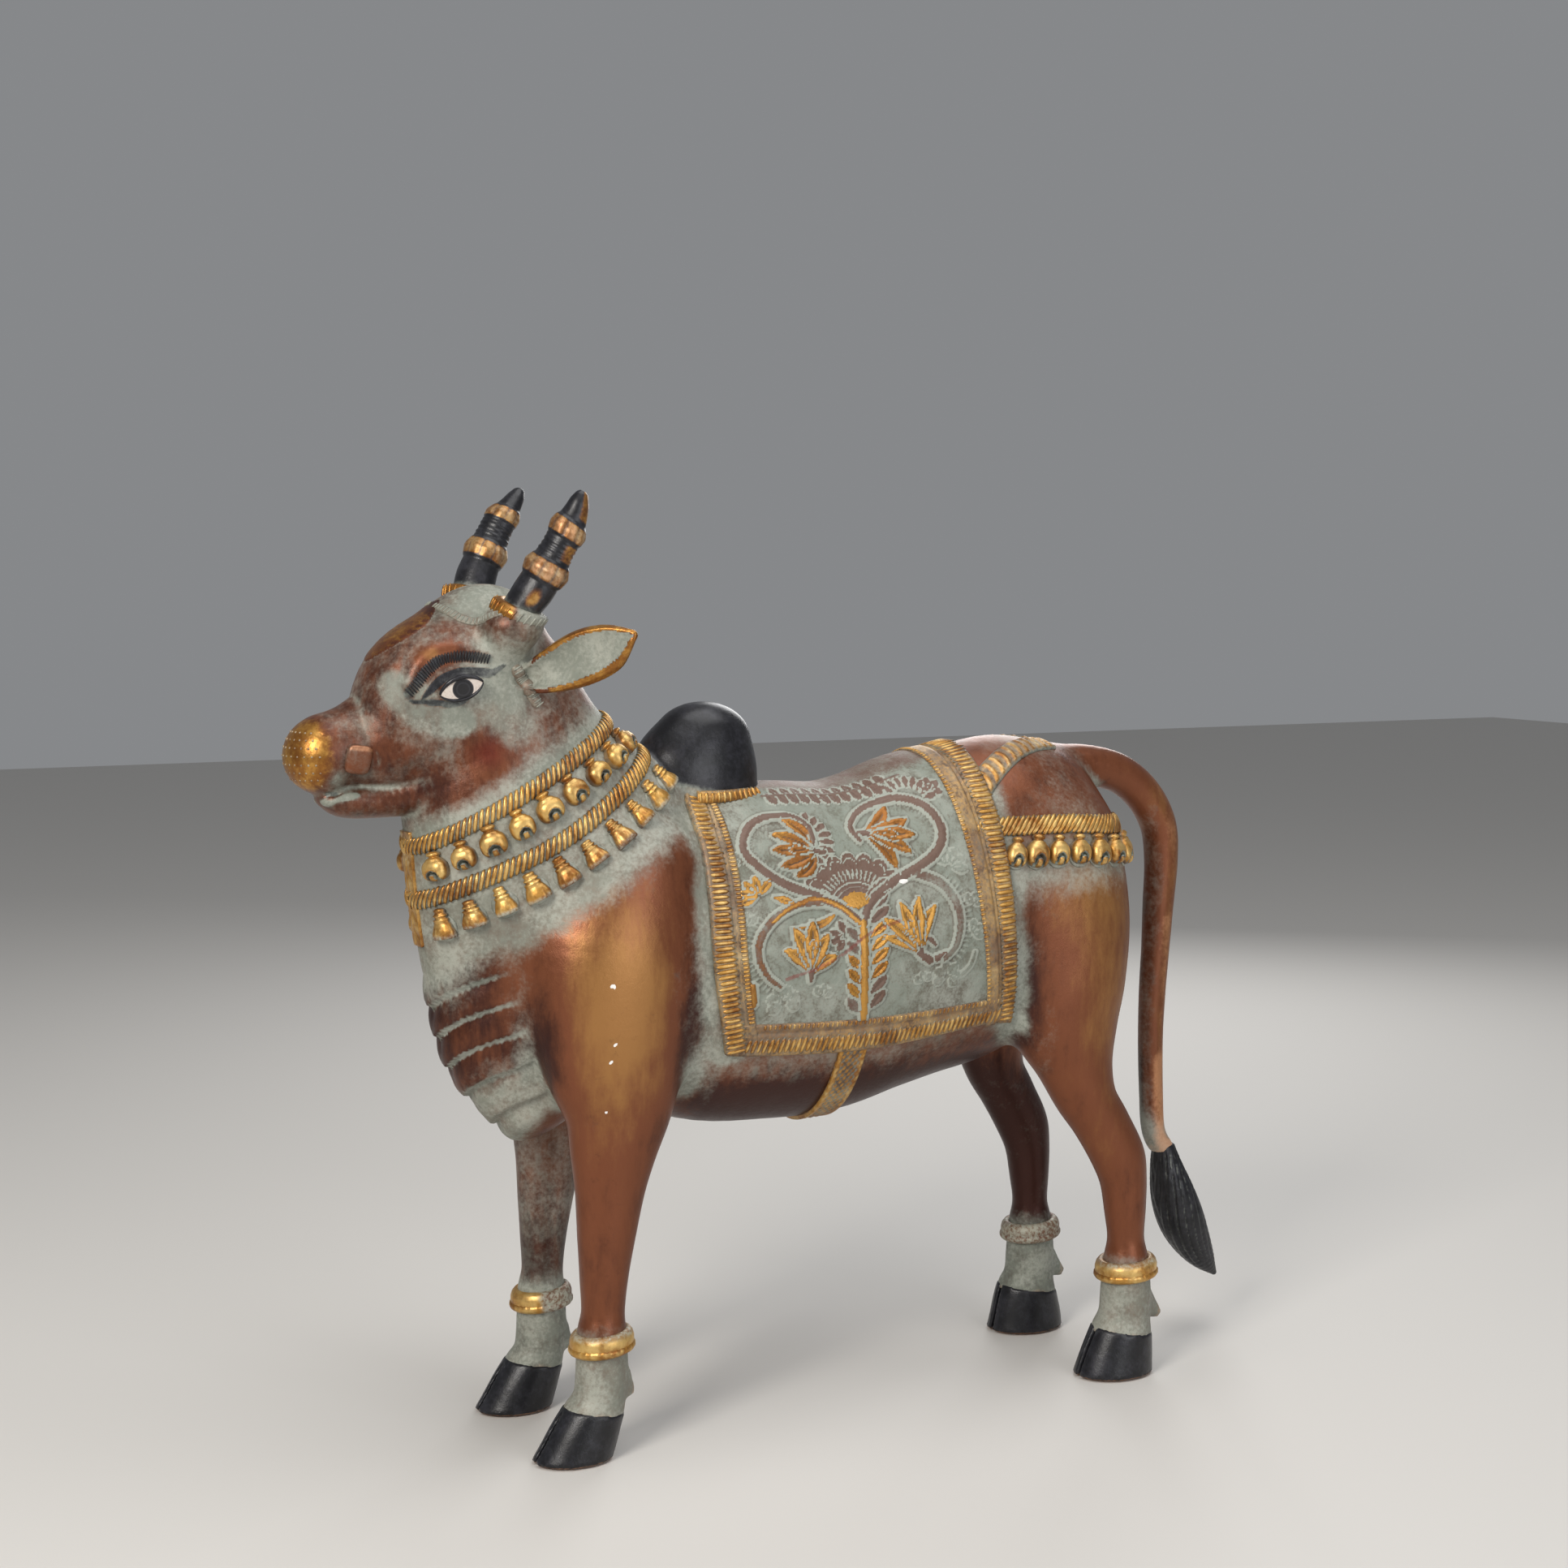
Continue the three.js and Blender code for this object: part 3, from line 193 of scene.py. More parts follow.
def leg_chain(rows, blend):
    """Rows of x, y, z, half length along Y and half width along X."""
    return Chain([[x, y, z, 0, 1, 0, 1, 0, 0, deep, wide, 0] for x, y, z, deep, wide in rows], blend)


def round_chain(rows, blend):
    """Rows of x, y, z and radius."""
    return Chain([[x, y, z, 0, 0, 1, 1, 0, 0, r, r, 0] for x, y, z, r in rows], blend)


TORSO = middle_chain(
    [
        (-140, 440, -160, 240, 68, 0),
        (-95, 450, -105, 214, 82, 0),
        (-45, 451, -50, 209, 86, 0),
        (0, 449, -5, 210, 87, 0),
        (40, 456, 36, 220, 87, 0),
        (75, 468, 72, 228, 86, 0),
        (110, 474, 112, 236, 84, 0),
        (145, 481, 146, 251, 80, 0),
        (176, 476, 170, 270, 72, 0),
    ],
    10,
)
NECK = middle_chain(
    [
        (-120, 455, -239, 213, 64, 0.25),
        (-132, 471, -275, 254, 64, 0.25),
        (-142, 479, -290, 310, 64, 0.2),
        (-153, 486, -299, 360, 61, 0.1),
        (-168, 501, -303, 400, 56, 0),
        (-184, 522, -307, 430, 50, 0),
        (-202, 552, -300, 452, 42, 0),
    ],
    12,
)
HEAD = middle_chain(
    [
        (-243, 593, -243, 470, 36, 0),
        (-258, 595, -260, 455, 44, 0.1),
        (-280, 581, -286, 450, 44, 0.1),
        (-304, 566, -304, 452, 41, 0.1),
        (-316, 541, -321, 455, 35, 0),
        (-335, 526, -338, 459, 27, -0.1),
        (-354, 514, -352, 461, 25, 0),
        (-366, 509, -365, 459, 25, 0),
    ],
    10,
)
JAW = middle_chain(
    [
        (-262, 500, -268, 448, 34, 0),
        (-300, 478, -302, 441.5, 28, 0),
        (-330, 466, -332, 440, 21, 0),
        (-353, 464, -355, 441, 18, 0),
        (-364, 462, -366, 447, 15, 0),
    ],
    3,
)
NOSE = round_chain([(0, -366, 486, 21.5), (0, -370, 482.5, 22.5)], 11)
HUMP = leg_chain([(0, -101, 430, 47.5, 33), (0, -100.5, 462, 48, 33), (0, -93.5, 485, 36, 27)], 6)
FORE_LEG = leg_chain(
    [
        (44, -165, 398, 46, 36),
        (50, -180, 350, 58, 40),
        (54, -184, 305, 56, 36),
        (57, -184, 265, 48, 29),
        (58, -182, 236, 38, 24),
        (59, -186, 210, 31, 20.5),
        (59, -189, 184, 25, 18),
        (59, -192, 152, 20.5, 16.5),
        (59, -194, 125, 17, 15.5),
        (59, -195, 100, 15, 14.5),
        (59, -196, 84, 17, 17),
        (59, -196, 64, 18, 17.5),
        (59, -197, 48, 18, 17.5),
        (59, -199, 36, 18.5, 18),
        (59, -203, 29, 20.5, 19),
        (59, -210, 15, 23.5, 20.5),
        (59, -216, 2, 25.5, 21.5),
        (59, -221, -10, 28, 23),
    ],
    18,
)
HIND_LEG = leg_chain(
    [
        (38, 176, 405, 48, 34),
        (46, 181, 350, 52, 38),
        (53, 177.5, 305, 50, 34),
        (57, 175, 270, 44, 28),
        (60, 182, 240, 31, 23),
        (62, 191, 214, 24.5, 20),
        (63, 204.5, 193, 23, 18),
        (64, 218.5, 168, 22, 17),
        (64, 224.5, 148, 18.5, 16),
        (64, 226.5, 125, 16, 15),
        (64, 227.5, 102, 14, 13.5),
        (64, 228, 84, 17, 17),
        (64, 228, 64, 19, 18.5),
        (64, 227.5, 48, 19.5, 19),
        (64, 226.5, 38, 20.5, 19.5),
        (64, 224.5, 31, 23, 21),
        (64, 221, 16, 27, 22.5),
        (64, 218, 2, 30, 24),
        (64, 216, -10, 32, 26),
    ],
    18,
)
DEWCLAWS = [
    round_chain([(59, -182, 52, 7), (59, -176, 42, 4)], 6),
    round_chain([(64, 244, 53, 8), (64, 254, 42, 5)], 6),
]
TAIL = round_chain(
    [
        (0, 190, 454, 17.5),
        (0, 224, 455.5, 16),
        (0, 257, 448.5, 15),
        (0, 281.5, 430.5, 14.5),
        (0, 296, 406, 14),
        (0, 299, 378, 13),
        (0, 297, 345, 12),
        (0, 295, 312, 11),
        (0, 292.5, 275, 10.3),
        (0, 291.5, 240, 9.6),
        (0, 292.5, 200, 9.2),
        (0, 295, 166, 9),
        (0, 303, 150, 9),
    ],
    10,
)
TUFT = round_chain(
    [
        (0, 305, 150, 9),
        (0, 309, 131, 13),
        (0, 316, 108, 17.5),
        (0, 326, 84, 17.5),
        (0, 340, 61, 11.5),
        (0, 355, 43, 2.5),
    ],
    3,
)
HORN_PAD = round_chain([(35, -252, 562, 19), (40, -249.5, 570, 21)], 7)
HORN_LINE = [
    (40, -249, 573),
    (43.5, -246, 583),
    (47.5, -240, 596),
    (50.4, -231.8, 611.5),
    (52.3, -224.8, 625),
    (54.2, -217, 638.5),
    (55.6, -211.3, 648),
    (57.2, -205.8, 659.5),
]
# Distance along the horn and radius there.
HORN_PROFILE = [
    (0, 13), (8, 13.4), (25, 13.5), (34, 12.9), (37, 14.3), (43.8, 15.8), (50, 13.2), (52, 12), (59, 11)
]
HORN_PROFILE += [
    (66, 11.2), (68.5, 11.9), (73.4, 12.5), (78.5, 10.6), (80, 9), (92, 6.3), (97.5, 3.8), (99.3, 1.2)
]
EYE_BULGE = round_chain([(37, -295, 527, 7), (38, -286, 530, 8.5), (40, -276, 532, 6)], 2)

EAR_ROOT = np.array([42.0, -240, 533])
EAR_TIP = np.array([98.0, -188, 565])
EAR_ALONG = unit(EAR_TIP - EAR_ROOT)
EAR_FACING = np.array([0.9, -0.436, 0.09])
EAR_FACING = unit(EAR_FACING - EAR_ALONG * (EAR_FACING @ EAR_ALONG))
EAR_WIDE = np.cross(EAR_ALONG, EAR_FACING)
EAR_ROWS = [
    (0, 8, 8, 0), (0.16, 13, 7.5, 2), (0.38, 17.5, 7, 2.5), (0.6, 19.5, 6.5, 2), (0.8, 17.5, 5.5, 2),
    (0.93, 10.5, 4.5, 1.5), (0.99, 5, 4, 1)
]


def ear_chain(share, lift, thick, blend):
    rows = []
    for t, half, depth, low in EAR_ROWS:
        centre = EAR_ROOT + (EAR_TIP - EAR_ROOT) * t + EAR_FACING * lift + EAR_WIDE * low
        rows.append([*centre, *EAR_WIDE, *EAR_FACING, half * share, depth * thick, 0])
    return Chain(rows, blend)


EAR = ear_chain(1, 0, 1, 4)
EAR_HOLLOW = ear_chain(0.72, 6.5, 0.95, 0)

BROW = round_chain(
    [(34, -318, 531, 3), (31, -307, 546, 5), (32, -294, 552, 5), (35, -282, 551, 4.5), (40, -268, 549, 3)],
    7
)
MUZZLE_SIDE = round_chain([(20.5, -333, 489, 8), (25, -321, 486, 8)], 7)

TRUNK_CHAINS = [TORSO, NECK, FORE_LEG, HIND_LEG]
NECK_CHAINS = [TORSO, NECK, HEAD, FORE_LEG]
BODY_CHAINS = [TORSO, NECK, HEAD, JAW, NOSE, HUMP, FORE_LEG, HIND_LEG, *DEWCLAWS, TAIL]
HEAD_CHAINS = [NECK, HEAD, JAW, NOSE, HORN_PAD, EYE_BULGE, EAR, BROW, MUZZLE_SIDE]


def joined(chains, p):
    """Signed distance to the chains, blended into one another, the same on both sides of the middle plane."""
    q = mirrored(p)
    d = np.full(len(q), FAR)
    for c in chains:
        near = np.nonzero(c.gap(q) <= np.minimum(d, FAR / 10) + c.blend)[0]
        if not len(near):
            continue
        own = c.distance(q[near])
        was = d[near]
        h = np.maximum(0, c.blend - np.abs(own - was)) / c.blend
        d[near] = np.where(was > FAR / 10, own, np.minimum(own, was) - h * h * c.blend * 0.25)
    return d


def trunk(p):
    return joined(TRUNK_CHAINS, p)


def neck_skin(p):
    return joined(NECK_CHAINS, p)


def body(p):
    return joined(BODY_CHAINS, p)


def cut_by(d, chain, p, soft):
    """The solid d without the chain, its edge rounded by soft."""
    q = mirrored(p)
    near = np.nonzero(chain.gap(q) < 6)[0]
    if len(near):
        own = -chain.distance(q[near])
        h = np.maximum(0, soft - np.abs(own - d[near])) / soft
        d[near] = np.maximum(own, d[near]) + h * h * soft * 0.25
    return d


def head(p):
    return cut_by(joined(HEAD_CHAINS, p), EAR_HOLLOW, p, 1.6)


def gradient(f, p):
    sides = [f(p + d) - f(p - d) for d in np.eye(3) * 0.35]
    return unit(np.stack(sides, axis=1))


def nearest(f, p):
    """The places on the surface of f nearest to the points p, with the way the surface faces."""
    q = np.array(p, float)
    for _ in range(6):
        q = q - gradient(f, q) * (0.8 * f(q))[:, None]
    return q, gradient(f, q)


def outward(f, start, way, first=3.0, last=200.0, step=4.0):
    """Where lines from inside come out of f, with the way the surface faces there."""
    start = np.broadcast_to(start, way.shape).astype(float)
    way = unit(way)
    reach = np.arange(first, last, step)
    grid = start[:, None, :] + way[:, None, :] * reach[None, :, None]
    outside = f(grid.reshape(-1, 3)).reshape(len(way), -1) >= 0
    i = np.where(outside.any(axis=1), outside.argmax(axis=1), len(reach) - 1)
    hi = reach[i]
    lo = np.maximum(first, hi - step)
    for _ in range(9):
        mid = (lo + hi) / 2
        out = f(start + way * mid[:, None]) >= 0
        hi = np.where(out, mid, hi)
        lo = np.where(out, lo, mid)
    at = start + way * hi[:, None]
    return at, gradient(f, at)


# Shapes: points, faces and marks, which are numbers that the paint reads


class Shape:
    def __init__(self, v, f, **marks):
        self.v = np.asarray(v, float)
        self.f = [np.asarray(part, int) for part in (f if isinstance(f, list) else [f])]
        self.marks = {}
        self.paint(**marks)

    def paint(self, **marks):
        """Sets marks, each one number for the whole shape or one for each point."""
        for key, values in marks.items():
            self.marks[key] = np.broadcast_to(np.asarray(values, float), (len(self.v),)).copy()

    def plus(self, other):
        names = set(self.marks) | set(other.marks)
        marks = {}
        for k in names:
            mine = self.marks.get(k, np.zeros(len(self.v)))
            theirs = other.marks.get(k, np.zeros(len(other.v)))
            marks[k] = np.concatenate([mine, theirs])
        faces = self.f + [part + len(self.v) for part in other.f]
        return Shape(np.concatenate([self.v, other.v]), faces, **marks)

    def used(self):
        """The shape without the points that no face uses."""
        kept = np.unique(np.concatenate([part.ravel() for part in self.f]))
        number = np.zeros(len(self.v), int)
        number[kept] = np.arange(len(kept))
        marks = {k: m[kept] for k, m in self.marks.items()}
        return Shape(self.v[kept], [number[part] for part in self.f], **marks)

    def normals(self):
        n = np.zeros_like(self.v)
        for part in self.f:
            c = self.v[part]
            a = np.cross(c[:, 2] - c[:, 0], c[:, -1] - c[:, 1])
            for k in range(part.shape[1]):
                np.add.at(n, part[:, k], a)
        return unit(n)

    def neighbours(self):
        pairs = []
        for part in self.f:
            after = np.roll(part, -1, axis=1)
            pairs += [np.stack([part[:, k], after[:, k]], 1) for k in range(part.shape[1])]
        return np.concatenate(pairs)

    def smoothed(self, values, times):
        """Values averaged with those of the neighbouring points."""
        pairs = self.neighbours()
        count = np.bincount(pairs.ravel(), minlength=len(self.v))
        for _ in range(times):
            total = np.bincount(pairs[:, 0], values[pairs[:, 1]], len(self.v))
            total += np.bincount(pairs[:, 1], values[pairs[:, 0]], len(self.v))
            values = (values + total / np.maximum(1, count)) / 2
        return values

    def relaxed(self, times, free):
        """Irons out small unevenness of the free points without shrinking the shape."""
        pairs = self.neighbours()
        a, b = np.concatenate([pairs, pairs[:, ::-1]]).T
        count = np.maximum(1, np.bincount(a, minlength=len(self.v)))[:, None]
        for share in (0.5, -0.52) * times:
            around = np.stack([np.bincount(a, self.v[b, k], len(self.v)) for k in range(3)], axis=1) / count
            self.v = self.v + share * (around - self.v) * free[:, None]
        return self

    def hollow(self, reach):
        """How far each point lies below the surface around it: positive in hollows, negative on crests."""
        n = self.normals()
        around = np.stack([self.smoothed(self.v[:, k], reach) for k in range(3)], axis=1)
        return ((around - self.v) * n).sum(axis=1)


def together(shapes):
    """The shapes as one, in their order."""
    whole = shapes[0]
    for shape in shapes[1:]:
        whole = whole.plus(shape)
    return whole


def reversed_faces(parts):
    return [part[:, ::-1] for part in parts]


CELL_CORNERS = list(itertools.product((0, 1), repeat=3))


def skin_mesh(f, lo, hi, step, clip=None, relax=0):
    """Surface of f between lo and hi, even about the middle plane, cut where clip is positive."""
    half = int(math.ceil(hi[0] / step))
    xs = np.arange(0, half + 1) * step
    ys = np.arange(lo[1], hi[1] + step, step)
    zs = np.arange(lo[2], hi[2] + step, step)
    shape = (len(xs), len(ys), len(zs))
    block = 4

    def whole(p):
        d = f(p)
        return d if clip is None else np.maximum(d, clip(p))

    starts = [np.arange(0, n, block) for n in shape]
    corner = np.stack(np.meshgrid(*starts, indexing="ij"), axis=-1).reshape(-1, 3)
    origin = np.array([0.0, ys[0], zs[0]])
    middle = origin + (corner + (block - 1) / 2) * step
    rough = whole(middle)
    value = np.full([n + block for n in shape], 50.0, np.float32)
    cell = np.stack(np.meshgrid(*[np.arange(block)] * 3, indexing="ij"), axis=-1).reshape(-1, 3)
    # Blocks that the surface may cross are worked out in full; the others take the value of their middle.
    crossing = np.abs(rough) <= block * step * 1.25
    for fine in (False, True):
        row = crossing == fine
        at = (corner[row][:, None, :] + cell[None]).reshape(-1, 3)
        made = whole(origin + at * step) if fine else np.repeat(rough[row], len(cell))
        value[at[:, 0], at[:, 1], at[:, 2]] = made
    value = value[: shape[0], : shape[1], : shape[2]]
    value = np.concatenate([value[:0:-1], value], axis=0)
    origin = np.array([-xs[-1], ys[0], zs[0]])

    inside = value < 0
    total = np.zeros([n - 1 for n in value.shape], np.int8)
    for i, j, k in CELL_CORNERS:
        total += inside[i : i + total.shape[0], j : j + total.shape[1], k : k + total.shape[2]]
    cells = np.argwhere((total > 0) & (total < 8))
    number = np.full(total.shape, -1, np.int32)
    number[cells[:, 0], cells[:, 1], cells[:, 2]] = np.arange(len(cells))
    corners = {
        (i, j, k): value[cells[:, 0] + i, cells[:, 1] + j, cells[:, 2] + k] for i, j, k in CELL_CORNERS
    }
    place = np.zeros((len(cells), 3))
    count = np.zeros(len(cells))
    for key, v0 in corners.items():
        for axis in range(3):
            if key[axis]:
                continue
            far = list(key)
            far[axis] = 1
            v1 = corners[tuple(far)]
            crossed = (v0 < 0) != (v1 < 0)
            t = np.where(crossed, v0 / np.where(crossed, v0 - v1, 1), 0)
            for a in range(3):
                place[:, a] += np.where(crossed, key[a] + (t if a == axis else 0), 0)
            count += crossed
    points = origin + (cells + place / np.maximum(count, 1)[:, None]) * step

    faces = []
    for axis in range(3):
        near = [slice(1, -1)] * 3
        far = list(near)
        near[axis] = slice(0, -1)
        far[axis] = slice(1, None)
        here, there = inside[tuple(near)], inside[tuple(far)]
        u, w = (axis + 1) % 3, (axis + 2) % 3
        for solid_first in (True, False):
            found = np.argwhere((here != there) & (here == solid_first))
            found += [0 if a == axis else 1 for a in range(3)]
            quad = []
            for du, dw in ((0, 0), (1, 0), (1, 1), (0, 1)):
                c = found.copy()
                c[:, u] -= du
                c[:, w] -= dw
                quad.append(number[c[:, 0], c[:, 1], c[:, 2]])
            quad = np.stack(quad, axis=1)
            faces.append(quad if solid_first else quad[:, ::-1])
    faces = np.concatenate(faces)
    faces = faces[(faces >= 0).all(axis=1)]
    made = Shape(points, faces)

    free = np.ones(len(points), bool) if clip is None else clip(points) < -0.6 * step
    for _ in range(2):
        p = made.v[free]
        d = f(p)
        slope = np.stack([f(p + e) - d for e in np.eye(3) * 0.3], axis=1) / 0.3
        size = np.maximum(0.3, (slope * slope).sum(axis=1))
        made.v[free] = p - slope * np.clip(d / size, -step, step)[:, None]
    return made.relaxed(relax, free) if relax else made


def line_gap(p, points, reach):
    """How far each place lies from a smooth line and how far along it, from 0 to 1; far places get 1000."""
    line = smooth_line(points, 1.5)
    gap = np.full(len(p), 1e3)
    share = np.zeros(len(p))
    near = np.nonzero(((p > line.min(axis=0) - reach) & (p < line.max(axis=0) + reach)).all(axis=1))[0]
    q = p[near]
    best, own = np.full(len(q), 1e3), np.zeros(len(q))
    for i, (a, b) in enumerate(zip(line[:-1], line[1:])):
        d = b - a
        s = np.clip((q - a) @ d / max(1e-9, d @ d), 0, 1)
        g = np.linalg.norm(q - a - s[:, None] * d, axis=1)
        closer = g < best
        best = np.where(closer, g, best)
        own = np.where(closer, (i + s) / (len(line) - 1), own)
    gap[near], share[near] = best, own
    return gap, share


def band(p, points, widths):
    """1 on a line of the given half widths, fading to 0 at their edge."""
    gap, share = line_gap(p, points, max(widths) + 2)
    half = np.interp(share, np.linspace(0, 1, len(widths)), widths)
    return 1 - ease(gap, 0.55 * half, half)


def tube(points, radii, sides, ups, hoop=False):
    """A bar of round section through the points. A radius may be a pair, for the ways up and across."""
    points = np.asarray(points, float)
    n = len(points)
    if hoop:
        along = np.roll(points, -1, axis=0) - np.roll(points, 1, axis=0)
    else:
        padded = np.concatenate([points[:1], points, points[-1:]])
        along = padded[2:] - padded[:-2]
    along = unit(along)
    side = unit(np.cross(along, ups))
    up = np.cross(side, along)
    radii = np.asarray(radii, float)
    if radii.ndim == 0:
        radii = np.full((n, 2), float(radii))
    elif radii.ndim == 1:
        radii = np.stack([radii, radii], axis=1)
    a = 2 * np.pi * np.arange(sides) / sides
    ring = points[:, None] + up[:, None] * (radii[:, :1, None] * np.cos(a)[None, :, None])
    ring = ring + side[:, None] * (radii[:, 1:, None] * np.sin(a)[None, :, None])
    i = np.arange(n if hoop else n - 1)[:, None]
    k = np.arange(sides)[None, :]
    j, m = (i + 1) % n, (k + 1) % sides
    faces = np.stack([i * sides + k, i * sides + m, j * sides + m, j * sides + k], axis=-1).reshape(-1, 4)
    crest = np.tile((1 + np.cos(a)) / 2, n)
    parts = [faces]
    if not hoop:
        parts += [np.arange(sides)[None, ::-1], (n - 1) * sides + np.arange(sides)[None]]
    return Shape(ring.reshape(-1, 3), parts, crest=crest)


def plate(at, out, lift, under, open_start=False, backed=True, **marks):
    """A plate over a grid of surface places, from lift above the surface to under below it."""
    nr, nc = at.shape[:2]
    top = at + out * lift[..., None]
    back = at - out * under
    v = np.concatenate([top.reshape(-1, 3), back.reshape(-1, 3)])
    r, c = np.meshgrid(np.arange(nr - 1), np.arange(nc - 1), indexing="ij")
    a = (r * nc + c).ravel()
    faces = np.stack([a, a + 1, a + nc + 1, a + nc], axis=1)
    size = nr * nc
    rim = [(0, i) for i in range(nc - 1)] + [(i, nc - 1) for i in range(nr - 1)]
    rim += [(nr - 1, i) for i in range(nc - 1, 0, -1)] + [(i, 0) for i in range(nr - 1, 0, -1)]
    loop = np.array([i * nc + k for i, k in rim])
    after = np.roll(loop, -1)
    keep = np.ones(len(loop), bool)
    if open_start:
        keep[: nc - 1] = False
    wall = np.stack([loop, loop + size, after + size, after], axis=1)[keep]
    full = {k: np.concatenate([m.ravel(), np.zeros(size)]) for k, m in marks.items()}
    made = Shape(v, [faces, faces[:, ::-1] + size, wall] if backed else [faces, wall], **full)
    c = made.v[faces]
    facing = np.cross(c[:, 1] - c[:, 0], c[:, 2] - c[:, 0])
    if (facing * out.reshape(-1, 3)[faces[:, 0]]).sum() < 0:
        made.f = reversed_faces(made.f)
    return made if backed else made.used()


# Settling a shape into the frame as a finished piece


def uneven(v):
    """The statue isn't quite even: the right horn stands higher and the right hind leg further forward."""
    x, y, z = v[:, 0], v[:, 1], v[:, 2]
    horn = ease(z, 555, 600) * (1 - 0.7 * ease(z, 630, 665))
    leg = ease(-x, 0, 45) * ease(y, 120, 190) * (1 - ease(z, 190, 290)) * ease(z, 0, 40)
    return np.stack([x, y + HORN_BACK * x * horn + LEG_FORWARD * leg, z + HORN_UP * x * horn], axis=1)


def both_sides(shape):
    """The shape and its mirror image, sharing the points on the middle plane."""
    n = len(shape.v)
    middle = np.abs(shape.v[:, 0]) < 0.02
    other = np.where(middle, np.arange(n), 0)
    free = np.nonzero(~middle)[0]
    other[free] = n + np.arange(len(free))
    mirror = shape.v[free] * [-1, 1, 1]
    marks = {k: np.concatenate([m, m[free]]) for k, m in shape.marks.items()}
    faces = []
    for part in shape.f:
        flat = middle[part].all(axis=1)
        part = part[~flat]
        faces += [part, other[part][:, ::-1]]
    return Shape(np.concatenate([shape.v, mirror]), faces, **marks)


def mesh_of(name, shape):
    mesh = bpy.data.meshes.new(name)
    faces = [face for part in shape.f for face in part.tolist()]
    mesh.from_pydata(shape.v.tolist(), [], faces)
    for key, values in shape.marks.items():
        mark = mesh.attributes.new(key, "FLOAT", "POINT")
        mark.data.foreach_set("value", values.astype(np.float32))
    mesh.shade_smooth()
    return mesh


def settle(name, shape, finish, mirror=True):
    """Makes the shape a piece of the casting, in metres, at its place in the frame."""
    if mirror:
        shape = both_sides(shape)
    v = uneven(shape.v)
    v[:, 1] += SHIFT_Y
    shape.v = v * MM
    obj = bpy.data.objects.new(TAG + name, mesh_of(TAG + name, shape))
    bpy.context.scene.collection.objects.link(obj)
    obj.data.materials.append(finish)
    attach(obj, "root")
    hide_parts(NODE)
    return obj


# Geometry Nodes: one small piece repeated on spots that carry the way they face and run


def repeat_tree():
    name = TAG + "repeat_on_spots"
    if name in bpy.data.node_groups:
        return bpy.data.node_groups[name]
    tree = bpy.data.node_groups.new(name, "GeometryNodeTree")
    face = tree.interface
    face.new_socket("Spots", in_out="INPUT", socket_type="NodeSocketGeometry")
    for label, kind, default in (
        ("Piece", "NodeSocketObject", None),
        ("Length", "NodeSocketFloat", 1.0),
        ("Width", "NodeSocketFloat", 1.0),
        ("Height", "NodeSocketFloat", 1.0),
        ("Unevenness", "NodeSocketFloat", 0.1),
        ("Seed", "NodeSocketInt", 1),
        ("Finish", "NodeSocketMaterial", None),
    ):
        socket = face.new_socket(label, in_out="INPUT", socket_type=kind)
        if default is not None:
            socket.default_value = default
    face.new_socket("Geometry", in_out="OUTPUT", socket_type="NodeSocketGeometry")

    def add(kind, **settings):
        node = tree.nodes.new(kind)
        for key, value in settings.items():
            setattr(node, key, value)
        return node

    def mark(name):
        node = add("GeometryNodeInputNamedAttribute", data_type="FLOAT_VECTOR")
        node.inputs["Name"].default_value = name
        return node.outputs["Attribute"]

    link = tree.links.new

    source = add("NodeGroupInput")
    facing, running, size = mark("facing"), mark("running"), mark("size")
    stand = add("FunctionNodeAlignRotationToVector", axis="Z", pivot_axis="AUTO")
    turn = add("FunctionNodeAlignRotationToVector", axis="X", pivot_axis="Z")
    link(facing, stand.inputs["Vector"])
    link(stand.outputs["Rotation"], turn.inputs["Rotation"])
    link(running, turn.inputs["Vector"])
    wanted = add("ShaderNodeCombineXYZ")
    for axis, label in zip("XYZ", ("Length", "Width", "Height")):
        link(source.outputs[label], wanted.inputs[axis])
    scale = add("ShaderNodeVectorMath", operation="MULTIPLY")
    link(wanted.outputs["Vector"], scale.inputs[0])
    link(size, scale.inputs[1])
    chance = add("FunctionNodeRandomValue", data_type="FLOAT_VECTOR")
    chance.inputs["Min"].default_value = (-1, -1, -1)
    chance.inputs["Max"].default_value = (1, 1, 1)
    link(source.outputs["Seed"], chance.inputs["Seed"])
    slack = add("ShaderNodeVectorMath", operation="SCALE")
    link(chance.outputs["Value"], slack.inputs[0])
    link(source.outputs["Unevenness"], slack.inputs["Scale"])
    around = add("ShaderNodeVectorMath", operation="ADD")
    around.inputs[1].default_value = (1, 1, 1)
    link(slack.outputs["Vector"], around.inputs[0])
    final = add("ShaderNodeVectorMath", operation="MULTIPLY")
    link(scale.outputs["Vector"], final.inputs[0])
    link(around.outputs["Vector"], final.inputs[1])
    piece = add("GeometryNodeObjectInfo", transform_space="ORIGINAL")
    link(source.outputs["Piece"], piece.inputs["Object"])
    repeat = add("GeometryNodeInstanceOnPoints")
    link(source.outputs["Spots"], repeat.inputs["Points"])
    link(piece.outputs["Geometry"], repeat.inputs["Instance"])
    link(turn.outputs["Rotation"], repeat.inputs["Rotation"])
    link(final.outputs["Vector"], repeat.inputs["Scale"])
    real = add("GeometryNodeRealizeInstances")
    link(repeat.outputs["Instances"], real.inputs["Geometry"])
    paint = add("GeometryNodeSetMaterial")
    link(real.outputs["Geometry"], paint.inputs["Geometry"])
    link(source.outputs["Finish"], paint.inputs["Material"])
    result = add("NodeGroupOutput")
    link(paint.outputs["Geometry"], result.inputs["Geometry"])
    return tree


